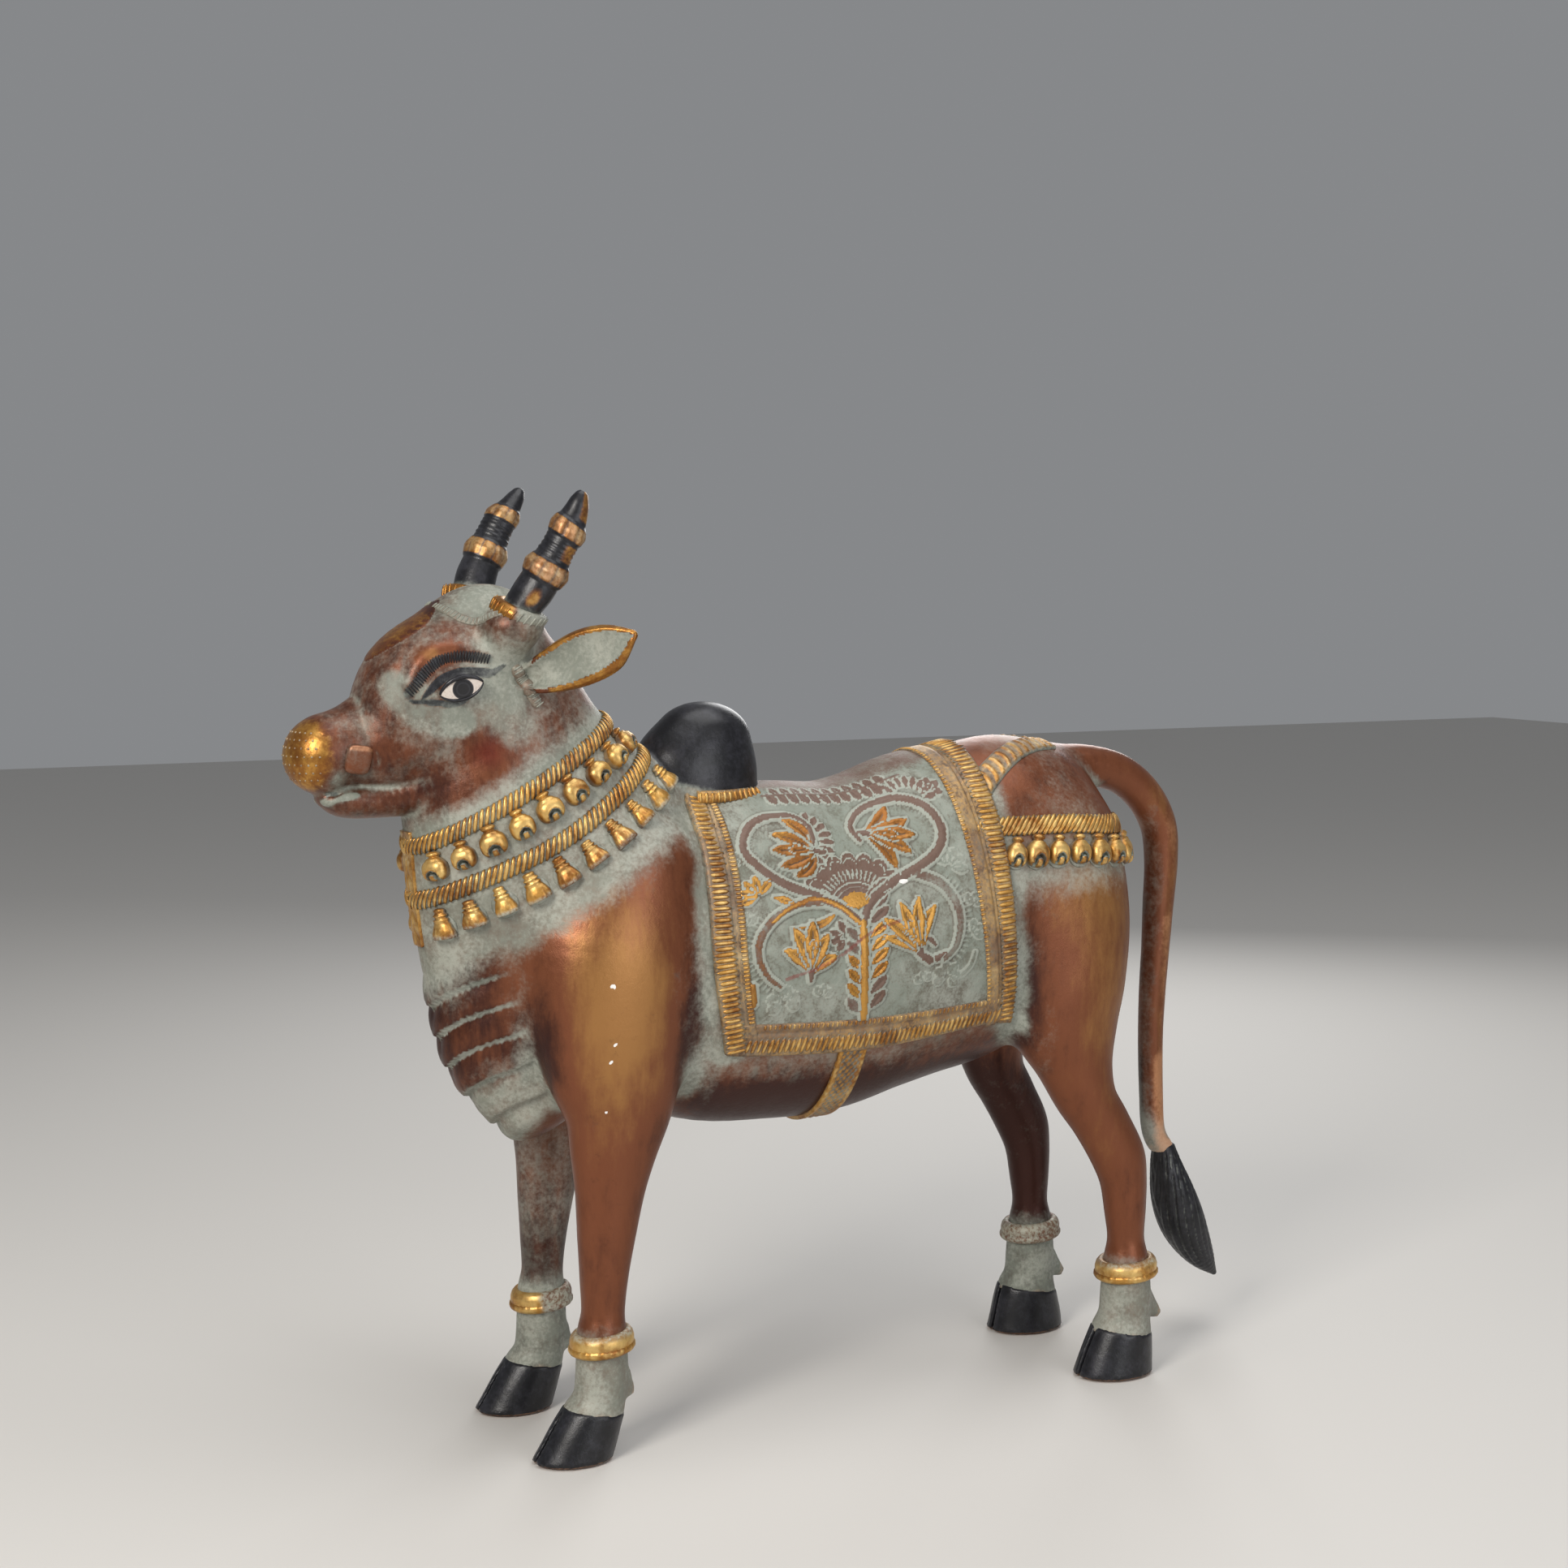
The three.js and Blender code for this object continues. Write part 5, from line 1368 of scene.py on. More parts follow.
def gilded(colours):
    """Ornaments rubbed with gold: bright on their crests, brown and grey-green in their recesses."""
    s = Shade("gilded")
    mottle = s.noise(0.012, 4, 0.6, warp=0.3)
    grain = s.noise(0.0028, 4, 0.65)
    patch = s.noise(0.04, 3, 0.5)
    crest = s.mark("crest") + (grain - 0.5) * 0.4 + (mottle - 0.5) * 0.3
    gold = s.mix(s.between(patch + (grain - 0.5) * 0.5, 0.38, 0.66), colours["gold_deep"], colours["gold"])
    # Brightest gold by chance, more of it on the crests as a painted highlight.
    gold = s.mix(s.between(mottle + s.mark("crest") * 0.35, 0.62, 1.0), gold, colours["gold_light"])
    low = s.mix(s.between(mottle + (grain - 0.5) * 0.5, 0.3, 0.6), colours["umber"], colours["verdigris"])
    lift = s.between(crest, 0.1, 0.45)
    colour = s.mix(lift, low, gold)
    rubbed = s.between(s.mark("faded") + (mottle - 0.5) * 0.9 + (grain - 0.5) * 0.4, 0.3, 0.9)
    worn = s.mix(s.between(grain + (patch - 0.5) * 0.6, 0.35, 0.65), colours["plum"], colours["pale"])
    colour = s.mix(rubbed * 0.9, colour, worn)
    rough = 0.38 + (grain - 0.5) * 0.2 + (1 - lift) * 0.22 + rubbed * 0.15
    metallic = lift * 0.7 * (1 - rubbed * 0.7)
    relief = s.bump(grain, 0.0005, 0.35)
    return s.done(base_color=colour, roughness=rough, metallic=metallic, normal=relief)


def cloth_paint(colours):
    """The grey-green ground of the cloth, its relief worn to purple-brown or gilded."""
    s = Shade("cloth")
    mottle = s.noise(0.012, 5, 0.6, warp=0.4)
    grain = s.noise(0.002, 4, 0.7)
    patch = s.noise(0.045, 3, 0.5)
    pits = s.node("ShaderNodeTexVoronoi", {"feature": "F1"}, {"Vector": s.place, "Scale": 620.0}, "Distance")
    ground = s.mix(s.between(patch + (grain - 0.5) * 0.6, 0.35, 0.75), colours["verdigris"], colours["pale"])
    ground = s.mix(s.between(mottle + (grain - 0.5) * 0.8, 0.4, 0.75) * 0.75, ground, colours["moss"])
    dust = s.between(patch * 0.6 + mottle * 0.5 + (grain - 0.5) * 0.6, 0.42, 0.8)
    ground = s.mix(dust * 0.6, ground, colours["umber"])
    worn = s.between(s.mark("worn") + (mottle - 0.5) * 0.5 + (grain - 0.5) * 0.4, 0.25, 0.7)
    gilt = s.between(s.mark("gilt") + (mottle - 0.5) * 0.4 + (grain - 0.5) * 0.3, 0.28, 0.6)
    bright = s.between(patch + (grain - 0.5) * 0.5 + (s.mark("gilt") - 0.7) * 0.8, 0.3, 0.75)
    gold = s.mix(bright, colours["gold_deep"], colours["gold"])
    colour = s.mix(worn * 0.85, ground, colours["plum"])
    colour = s.mix(gilt, colour, gold)
    # Darker brown in the recesses of the relief and along the panel's edges.
    recess_dark = s.between(s.mark("hollow") + (grain - 0.5) * 0.3, 0.25, 0.9)
    colour = s.mix(recess_dark * (0.5 + gilt * 0.35), colour, colours["umber"])
    line = s.between(s.mark("line") + (grain - 0.5) * 0.4, 0.25, 0.7)
    colour = s.mix(line * 0.66, colour, colours["pale"])
    red = s.between(s.mark("streak") + (mottle - 0.5) * 0.7, 0.35, 0.75)
    colour = s.mix(red * 0.6, colour, colours["streak"])
    chip = s.between(s.mark("chip") + (grain - 0.5) * 0.8, 0.4, 0.6)
    colour = s.mix(chip, colour, colours["chip"])
    rough = 0.6 - gilt * 0.22 - worn * 0.12 + (grain - 0.5) * 0.2
    metallic = gilt * 0.65 + worn * 0.2
    relief = s.bump(pits, 0.0004, 0.25)
    relief = s.bump(grain, 0.0006, 0.35, relief)
    return s.done(base_color=colour, roughness=rough, metallic=metallic, normal=relief)


def eye_paint(colours):
    """White, dark iris and black rim of the painted eye, by the marks laid out on it."""
    s = Shade("eye")
    grain = s.noise(0.002, 3, 0.6)
    white = s.mix(s.between(grain, 0.45, 0.8), colours["white"], colours["ivory"])
    iris = s.between(s.mark("iris"), 0.42, 0.5)
    ring = s.between(s.mark("ring"), 0.4, 0.6)
    rim = s.between(s.mark("rim") + (grain - 0.5) * 0.2, 0.4, 0.55)
    colour = s.mix(iris, white, colours["slate"])
    colour = s.mix(s.between(s.mark("iris"), 0.75, 0.95), colour, colours["black"])
    colour = s.mix(ring * 0.6, colour, colours["slate"])
    colour = s.mix(rim, colour, colours["black"])
    return s.done(base_color=colour, roughness=0.32, metallic=0.0)


# Settings a user may change


def colour_property(name, text, value):
    return bpy.props.FloatVectorProperty(
        name=name, description=text, size=3, subtype="COLOR", min=0, max=1, default=paint_hex(value)
    )


def length_property(name, text, value):
    return bpy.props.FloatProperty(
        name=name, description=text, default=value, min=0.0002, subtype="DISTANCE", unit="LENGTH"
    )


class NandiColours(bpy.types.PropertyGroup):
    dark: colour_property("Dark brown", "Darkest copper-brown of the casting", "#3a1b13")
    copper: colour_property("Copper", "Red-brown copper of the casting", "#78452b")
    bronze: colour_property("Bronze", "Golden bronze of the shoulders and haunches", "#a0713f")
    blush: colour_property("Blush", "Red of the cheeks", "#6e2618")
    verdigris: colour_property("Verdigris", "Grey-green wash", "#7f857a")
    pale: colour_property("Pale wash", "Palest part of the wash", "#a3a79c")
    moss: colour_property("Moss", "Darker green in the wash", "#66695a")
    gold: colour_property("Gold", "Gilding of the ornaments", "#bd8c43")
    # Brightest gilding, partly a painted highlight on crests.
    gold_light: colour_property("Light gold", "Brightest gilding", "#dbb873")
    gold_deep: colour_property("Deep gold", "Ochre shade of the gilding", "#8a5826")
    # Umber darkens pits, the dust on the cloth and the recesses of the relief and ornaments.
    umber: colour_property("Umber", "Dirt in the recesses", "#54463a")
    plum: colour_property("Plum", "Worn purple-brown relief", "#654639")
    # Also the colour of painted highlights on the shoulder, tail, brow and horn beads.
    rub: colour_property("Rubbed metal", "Bare metal on worn edges", "#dca074")
    # Also paints the shade below the cheek.
    black: colour_property("Black", "Hooves, horns and hump", "#121216")
    slate: colour_property("Slate", "Greyed black", "#2c2c32")
    white: colour_property("Eye white", "White of the eye", "#cdc3ba")
    ivory: colour_property("Eye ivory", "Shaded white of the eye", "#b3a195")
    streak: colour_property("Streak", "Faint red streak on the cloth", "#7d3a33")
    chip: colour_property("Chip", "Small white chips", "#eceae6")


class NandiSizes(bpy.types.PropertyGroup):
    body_cell: length_property("Body cell", "Mesh size of the body", 0.00236)
    head_cell: length_property("Head cell", "Mesh size of the head", 0.00148)
    cloth_cell: length_property("Cloth cell", "Mesh size of the carved cloth", 0.00112)
    rope: length_property("Rope half width", "Half the width of the necklace ropes", 0.0052)
    rib_pitch: length_property("Rib spacing", "Distance between the ribs of ropes and borders", 0.0042)
    bell: length_property("Bell radius", "Radius of the round bells", 0.0092)
    fold: length_property("Fold depth", "Depth of the dewlap folds", 0.0045)


def colours():
    group = bpy.context.scene.nandi_colours
    return {key: tuple(getattr(group, key)) for key in NandiColours.__annotations__}


FINISHES = {"patina": patina, "gilded": gilded, "cloth": cloth_paint, "eye": eye_paint}


def finish(name):
    """The material of that name, made at its first use."""
    found = bpy.data.materials.get(TAG + name)
    return found if found else FINISHES[name](colours())


# Body


NAPE = np.array([0.0, -165, 505])
THROAT = np.array([0.0, -312, 419])
NECK_LENGTH = np.linalg.norm(THROAT - NAPE)
NECK_WAY = (THROAT - NAPE) / NECK_LENGTH
NECK_UP = np.array([0.0, -0.505, 0.863])
NECK_SAG = 0.5
GIRTH_Y = -12.0
HOOF_TOP = 33.0
TUFT_TOP = 149.0
SEAM = 3.0


def above_rope(p):
    """Height above the slanting line that the upper necklace follows round the neck."""
    share = 2 * ((p - NAPE) @ NECK_WAY) / NECK_LENGTH - 1
    return (p - NAPE) @ NECK_UP + NECK_SAG * np.maximum(0, 1 - share**2)


def hoof_line(p):
    """Height above the top of the hooves, which rises a little towards the toe."""
    toe = np.where(p[:, 1] < 0, -203.0, 224.0) - p[:, 1]
    return p[:, 2] - (HOOF_TOP + 0.16 * toe)


def dewlap_phase(p):
    """How many folds down the dewlap a place lies, and how much of a fold there is."""
    side = np.abs(p[:, 0]) / 46
    phase = 4 * (306 + 28 * side - p[:, 2]) / (84 - 4 * side)
    share = (1 - ease(side, 0.75, 1.12)) * ease(-p[:, 1], 214, 232)
    return phase, share * ease(phase, -1.1, -0.6) * (1 - ease(phase, 4.3, 4.8))


# Small white chips below the shoulder: Y, Z and radius.
WHITE_CHIPS = [(-198, 329, 1.9), (-197, 290, 1.5), (-198, 278, 1.3), (-200, 243, 1.4)]
# Soft spots of the body's paint: how much, centre and radius.
FRONT_GLOW = [
    (0.85, (84, -192, 316), (80, 62, 120)),
    (0.25, (60, -192, 215), (60, 30, 90)),
    (-0.5, (70, -238, 285), (60, 26, 60)),
    (-0.45, (80, -136, 300), (60, 28, 90)),
]
RUMP_WASH = [(0.6, (0, 165, 470), (80, 90, 46)), (0.5, (62, 180, 425), (50, 90, 50))]
REAR_GLOW = [
    (0.5, (66, 180, 380), (60, 80, 80)),
    (0.45, (70, 196, 300), (80, 62, 110)),
    (0.3, (62, 205, 200), (60, 34, 60)),
    (-0.5, (80, 130, 280), (60, 20, 130)),
]
MOST_WASH = 0.86


def body_marks(shape, part):
    """Carves the folds and lays out where the casting is golden, dark, black or washed."""
    p, n = shape.v, shape.normals()
    q = mirrored(p)
    side, y, z = q.T
    far = ease(-p[:, 0], -6, 6)
    zero = np.zeros(len(p))
    hollow = shape.hollow(10) / (bpy.context.scene.nandi_sizes.body_cell / MM)
    wash = 0.14 + zero + np.clip(shape.smoothed(hollow, 2) * 4, -0.2, 0.8)
    glow = 0.42 + zero
    soot = zero
    chip = zero
    if part == "front":
        depth = bpy.context.scene.nandi_sizes.fold / MM
        phase, share = dewlap_phase(p)
        saw = phase - np.floor(phase)
        swell = np.sin(0.5 * np.pi * np.clip(saw / 0.8, 0, 1)) * (1 - ease(saw, 0.84, 0.99))
        shape.v = p + n * (depth * (swell - 0.45) * share)[:, None]
        # A pale line along the ledge of each fold: a painted highlight on its lit edge.
        lit_ledge = ease(saw, 0.83, 0.9) + (1 - ease(saw, 0.02, 0.07))
        wash = wash + 1.3 * share * lit_ledge + 0.6 * share * ease(phase, 1.9, 3.4)
        glow = glow - 0.3 * share * (1 - ease(phase, 2, 4))
        under = -above_rope(p)
        collar = (1 - ease(under, 64, 104)) * (z > 300)
        wash = wash + 1.05 * collar * (1 - 0.3 * ease(y, -150, -118))
        wash = wash + 0.8 * near_spot(q, (0, -282, 322), (46, 40, 34))
        wash = wash + 0.6 * (1 - ease(z, 225, 262)) * ease(-y, 214, 244)
        hump = HUMP.distance(p) - trunk(p)
        soot = 1.25 * (1 - ease(hump, -3, 4)) * ease(z + 0.16 * y, 428, 444)
        round_hump = (1 - ease(np.abs(hump + 1), 2, 13)) * ease(z, 425, 440)
        wash = wash * (1 - 0.95 * soot) + 0.8 * round_hump * (1 - 0.9 * soot)
        glow = spots(glow, q, FRONT_GLOW)
        for y0, z0, r in WHITE_CHIPS:
            chip = np.maximum(chip, (1 - ease(np.hypot(y - y0, z - z0), 0.7 * r, 1.2 * r)) * (p[:, 0] > 20))
    # Pale wash along the edges of the cloth, in the arm and flank, on the inner legs and above the hooves.
    angle = np.degrees(np.arctan2(side, z - CLOTH_AXIS))
    low = ease(angle, 128, 136) * (1 - ease(angle, 138, 154)) * ease(y, -125, -105) * (1 - ease(y, 125, 150))
    edge = (1 - ease(np.abs(y - front_edge(angle)), 3, 18)) + (1 - ease(np.abs(y - rear_edge(angle)), 3, 17))
    wash = wash + 0.4 * low + 0.7 * edge * (1 - ease(angle, 136, 142)) * ease(angle, 14, 30)
    wash = wash + 0.75 * near_spot(q, (80, -126, 246), (70, 28, 46))
    wash = wash + 1.05 * (1 - ease(z, 70, 104)) * (np.abs(y) > 150) * (y < 285)
    inner = ease(42 - side, 0, 16) * (1 - ease(z, 200, 260)) * ease(np.abs(y), 110, 130) * (y < 262)
    wash = wash + 0.35 * inner
    # Lower far legs: a greyer wash, and darker as painted shade, most on the far hind leg, which stands in
    # shadow.
    low_leg = 1 - ease(z, 190, 265)
    wash = wash + 0.5 * far * low_leg * (1 - ease(y, -130, -110))
    wash = wash + 0.2 * far * low_leg * ease(y, 100, 120)
    glow = glow - 0.25 * far * low_leg - 0.4 * far * low_leg * ease(y, 100, 120)
    if part == "rear":
        wash = spots(wash, q, RUMP_WASH)
        haunch = ease(y, 98, 112) * (1 - ease(y, 262, 275)) * ease(side, 14, 30)
        wash = wash + 0.62 * (1 - ease(np.abs(z - 390), 4, 36)) * haunch
        glow = spots(glow, q, REAR_GLOW)
        wash = wash + 0.35 * near_spot(q, (76, 150, 250), (50, 12, 70))
        # The tail: grey-green wash on the side facing the body and low down, and lighter copper on its outer
        # side, partly a painted highlight.
        tail = ease(y, 268, 284)
        inside = ease(-n[:, 1], -0.3, 0.9)
        wash = wash + tail * (0.42 * inside + 0.8 * (1 - ease(z, 160, 190)))
        glow = glow + tail * (0.25 - 0.3 * inside)
    glow = glow - 0.5 * (1 - ease(z, 232, 275)) * (1 - ease(np.abs(y), 105, 140))
    crest = np.clip(-hollow * 4 - 0.6, 0, 0.6)
    if part == "front":
        crest = crest * (1 - 0.8 * share)
        # A painted highlight on the front of the shoulder, in the rubbed-metal colour.
        crest = crest + 0.3 * near_spot(q, (86, -196, 318), (50, 34, 76))
    else:
        # A painted highlight on the tail's outer side.
        crest = crest + 0.5 * tail * (1 - inside)
    wash = np.minimum(wash, MOST_WASH)
    shape.paint(wash=wash, glow=glow, soot=soot, gilt=0, blush=0, crest=crest, chip=chip)


def make_body():
    sizes = bpy.context.scene.nandi_sizes
    cell = sizes.body_cell / MM
    paint = finish("patina")

    def clip_front(p):
        return np.maximum.reduce([above_rope(p) - SEAM, p[:, 1] - GIRTH_Y - SEAM, -hoof_line(p) - 4])

    def clip_rear(p):
        tail = np.where(p[:, 1] > 280, TUFT_TOP - 2 - p[:, 2], -50)
        return np.maximum.reduce([GIRTH_Y - SEAM - p[:, 1], -hoof_line(p) - 4, tail])

    front = skin_mesh(body, (0, -318, 24), (104, -6, 524), cell, clip_front, relax=40)
    body_marks(front, "front")
    settle("forequarters", front, paint, mirror=False)
    rear = skin_mesh(body, (0, -18, 24), (104, 322, 486), cell, clip_rear, relax=40)
    body_marks(rear, "rear")
    settle("hindquarters", rear, paint, mirror=False)


# From where to where the fore and the hind hooves reach along Y.
HOOF_REACHES = ((-254, -176), (178, 258))
FORE_HOOF = (59.0, -216.0)
HIND_HOOF = (64.0, 218.0)


def make_hooves():
    """Cloven hooves, a little fatter than the feet they cover."""

    def hoof(p):
        d = joined([FORE_LEG, HIND_LEG], p) - 0.7
        middle, toe = (np.where(p[:, 1] < 0, fore, hind) for fore, hind in zip(FORE_HOOF, HIND_HOOF))
        x = np.abs(p[:, 0]) - middle
        cleft = 1.5 - np.hypot(x, 0.22 * np.maximum(0, p[:, 1] - toe + 16))
        cleft = np.where(p[:, 1] < toe - 8, cleft, -5)
        return np.maximum(d, cleft * 1.2)

    def clip(p):
        return np.maximum(hoof_line(p), -p[:, 2])

    made = together([skin_mesh(hoof, (0, y0, -2), (92, y1, 42), 1.9, clip) for y0, y1 in HOOF_REACHES])
    z = made.v[:, 2]
    rim = (1 - ease(z, 0.5, 2.5)) * 0.8
    made.paint(soot=1.2, wash=0.12 * ease(z, 20, 33), glow=0.5, gilt=0, blush=0, crest=rim)
    settle("hooves", made, finish("patina"), mirror=False)


def make_tuft():
    made = skin_mesh(TUFT.distance, (0, 286, 36), (22, 366, 160), 1.3, lambda p: p[:, 2] - TUFT_TOP - 4)
    n = made.normals()
    line = along_rows(TUFT.rows[:, :3], np.linspace(0, 1, 60))
    z = made.v[:, 2]
    order = np.argsort(line[:, 2])
    cy = np.interp(z, line[order, 2], line[order, 1])
    a = np.arctan2(made.v[:, 0], made.v[:, 1] - cy)
    flow = a + 0.012 * (z - 90) * np.sign(made.v[:, 0])
    strand = np.abs(np.sin(8 * flow)) ** 0.7 + 0.5 * np.abs(np.sin(17 * flow + 1.3))
    fade = ease(z, 44, 60) * (1 - ease(z, 143, 151))
    made.v = made.v + n * ((strand - 1.2) * 0.95 * fade)[:, None]
    groove = 1 - ease(strand, 0.35, 0.9)
    crest = 0.5 * ease(strand, 1.15, 1.5) * fade
    made.paint(soot=1.15 - 0.25 * groove, wash=0.5 * groove * fade, glow=0.5, gilt=0, blush=0, crest=crest)
    settle("tail_tuft", made, finish("patina"), mirror=False)


# Head

EYE_AT = np.array([45.0, -287, 528.4])
EYE_HALF = (14.2, 6.9)
EYE_TILT = math.radians(20)
IRIS = 6.8
HORN_ROOT = np.array([43.0, -246.5, 581])
HORN_WAY = unit(np.array([6.0, 10, 25]))

MOUTH = [
    (0, -385, 456), (6, -381, 456), (12, -373, 457), (16, -361, 459.5), (20, -349, 463), (25, -338, 467),
    (29, -329, 471)
]
LOWER_LIP = [
    (0, -379, 451.5), (7, -375, 451.5), (12, -367, 453), (16, -356, 456), (21, -344, 460.5),
    (27, -333, 466.5)
]
NOSTRIL = [
    (16, -379, 497.5), (19, -375, 498), (21.5, -371, 494.5), (22, -372, 489), (20, -376, 488),
    (18.5, -378, 491.5)
]
LASHES = [
    (37, -320, 524.5), (36.5, -315, 531), (36.5, -308, 539), (36.5, -300, 545), (37.5, -291, 548),
    (40, -281, 548.5), (43, -267, 547)
]
LID = [
    (38, -313, 519.5), (41, -306, 527), (43, -299, 534), (44.5, -290, 538.5), (45, -280, 539),
    (45, -270, 537.5), (45, -264, 538), (44.5, -257, 542)
]
UNDER_EYE = [
    (38, -320, 519.5), (41, -311, 519), (43, -302, 518.5), (44.5, -295, 517), (45, -287, 518),
    (46, -278, 524), (46, -271, 533)
]
EAR_STRAP = [(43, -249, 542), (42.5, -244, 534), (43, -237, 524), (43, -231, 514)]
POLL_BAND = [(2, -288, 577), (14, -285, 575), (29, -279, 573.5), (42, -266, 575), (53, -251, 581)]
LIP_CREASE = [(27, -345, 467), (27.5, -339, 472), (28.5, -338, 480), (27.5, -340, 489)]
# Soft spots of the head's paint: how much, centre and radius.
POLL_WASH = [
    (0.75, (14, -262, 586), (60, 34, 22)),
    (0.6, (20, -240, 580), (50, 40, 30)),
    (0.7, (44, -254, 540), (34, 40, 44)),
    (0.5, (40, -240, 570), (40, 30, 26)),
]
CHEEK_WASH = [(30, -330, 530), (37, -318, 519), (42, -304, 509), (44, -288, 505)]
TEMPLE_WASH = [(44, -288, 506), (46, -262, 516), (45, -250, 500)]
CHIN_WASH = [(0.7, (23, -366, 467), (16, 13, 14)), (0.35, (20, -285, 578), (34, 26, 12))]
WASH_GAPS = [(-0.25, (34, -300, 548), (20, 26, 14)), (-0.2, (24, -335, 490), (26, 36, 22))]
# The first spot is a painted coppery glint on the brow ridge.
HEAD_GLOW_AND_GLINT = [(0.55, (35, -302, 550), (16, 22, 12)), (0.2, (46, -262, 512), (20, 24, 14))]


def forehead_leaf(q):
    """How deep a place lies inside the leaf painted on the forehead, and how far up it."""
    up = (q[:, 2] - 545) / 40
    half = 1.0 + 19.5 * np.sin(np.pi * np.clip(up, 0, 1) ** 0.85) ** 0.75
    return (1 - q[:, 0] / half) * (up > 0) * (up < 1) * (q[:, 1] < -275), up


def head_marks(shape):
    """Carves the fine lines of the head and lays out its paint."""
    p = shape.v
    n = shape.normals()
    q = mirrored(p)
    side, y, z = q.T
    hollow_ear = EAR_HOLLOW.distance(q)
    on_ear = (EAR.distance(q) < 1.6) & (side > 50)
    inner = on_ear & (hollow_ear < 0.5)
    lift = 1.7 * peak(hollow_ear, 2.2, 1.9) * on_ear

    mouth = band(q, MOUTH, (2.2, 2.4, 2.0, 1.0))
    lip = band(q, LOWER_LIP, (2.6, 3.2, 3.0, 1.2))
    nostril = band(q, NOSTRIL, (1.8, 2.2, 1.4))
    leaf, leaf_up = forehead_leaf(q)
    on_leaf = ease(leaf, 0, 0.06)
    lid = band(q, LID, (1.8, 4.2, 4.4, 4.2, 2.0))
    lift = lift + 0.9 * lip - 1.6 * mouth - 1.3 * nostril + 0.5 * on_leaf + 0.5 * lid
    lift = lift - 0.6 * band(q, LIP_CREASE, (1.5, 3.0, 2.6, 1.2))
    shape.v = p + n * lift[:, None]

    pad = 1 - ease(np.linalg.norm((q - [8, -384, 484]) / [1, 1, 1.05], axis=1), 16, 32)
    ticked = ease(leaf, 0.02, 0.05) * (1 - ease(leaf, 0.2, 0.26)) * (np.sin(z * 1.75) > 0.1)
    gilt = 0.85 * pad + on_leaf * (0.5 - 0.3 * ticked) * (1 - ease(leaf_up, 0.75, 1))
    rim_gold = on_ear & ~inner
    gilt = np.where(rim_gold, 1.05 * ease((q - EAR_ROOT) @ EAR_ALONG, 8, 24), gilt)
    gilt = np.where(inner, 0, gilt)
    gilt = gilt + 0.5 * near_spot(q, (33, -264, 583), (20, 10, 7)) * (~on_ear)

    up = above_rope(p)
    wash = 0.44 + 0.6 * (1 - ease(up, 4, 24)) * (z < 560)
    wash = spots(wash, q, POLL_WASH)
    wash = wash + 0.4 * band(q, CHEEK_WASH, (13, 17, 18, 14)) + 0.26 * band(q, TEMPLE_WASH, (15, 18, 18))
    wash = spots(wash, q, CHIN_WASH)
    wash = wash + lip * (y > -383)
    wash = spots(wash, q, WASH_GAPS)
    red = near_spot(q, (45, -269, 484), (40, 30, 24))
    wash = wash - 0.5 * red
    # Painted shade below the cheek, above the jaw line: less wash and less glow there.
    dark = near_spot(q, (34, -290, 462), (60, 62, 26))
    wash = wash - 0.3 * dark
    # Pale wash in the ear's hollow, less of it in the depth as painted shade.
    wash = np.where(inner, 1.25 - 0.5 * ease(-hollow_ear, 5.2, 6.4), wash)
    wash = np.where(rim_gold, 0.0, wash)
    curve = shape.hollow(8)
    wash = wash + np.clip(curve * 0.9, -0.15, 0.5)
    wash = wash * (1 - 0.9 * pad) * (1 - 0.75 * on_leaf)

    blush = 0.64 * red
    glow = spots(0.28 - 0.1 * dark, q, HEAD_GLOW_AND_GLINT)
    brow = 0.62 * band(q, LASHES, (5.5, 6.2, 6.0, 5.5))
    under_eye = 0.85 * band(q, UNDER_EYE, (1.2, 3.2, 3.4, 2.6, 1.0))
    soot = np.maximum.reduce([brow, 1.1 * lid, under_eye])
    soot = np.maximum(soot, 0.5 * nostril + 0.7 * mouth * (1 - 0.5 * lip))
    # The same painted shade below the cheek, in black.
    soot = np.maximum(soot, 0.45 * near_spot(q, (30, -275, 456), (40, 40, 12)))
    soot = soot * (~on_ear)
    wash = wash * (1 - 0.6 * np.clip(soot, 0, 1))
    crest = np.clip(-curve * 0.6 - 0.3, 0, 0.3) * (soot < 0.3)
    # A painted glint on the brow ridge, in the rubbed-metal colour.
    crest = 0.8 * near_spot(q, (33.5, -303, 553), (8, 9, 4)) + crest
    shape.paint(wash=wash, glow=glow, soot=soot, gilt=gilt, blush=blush, crest=crest)


def make_head():
    cell = bpy.context.scene.nandi_sizes.head_cell / MM
    paint = finish("patina")

    def clip(p):
        return -above_rope(p) - SEAM

    made = skin_mesh(head, (0, -400, 408), (106, -156, 600), cell, clip, relax=3)
    head_marks(made)
    settle("head", made, paint, mirror=False)


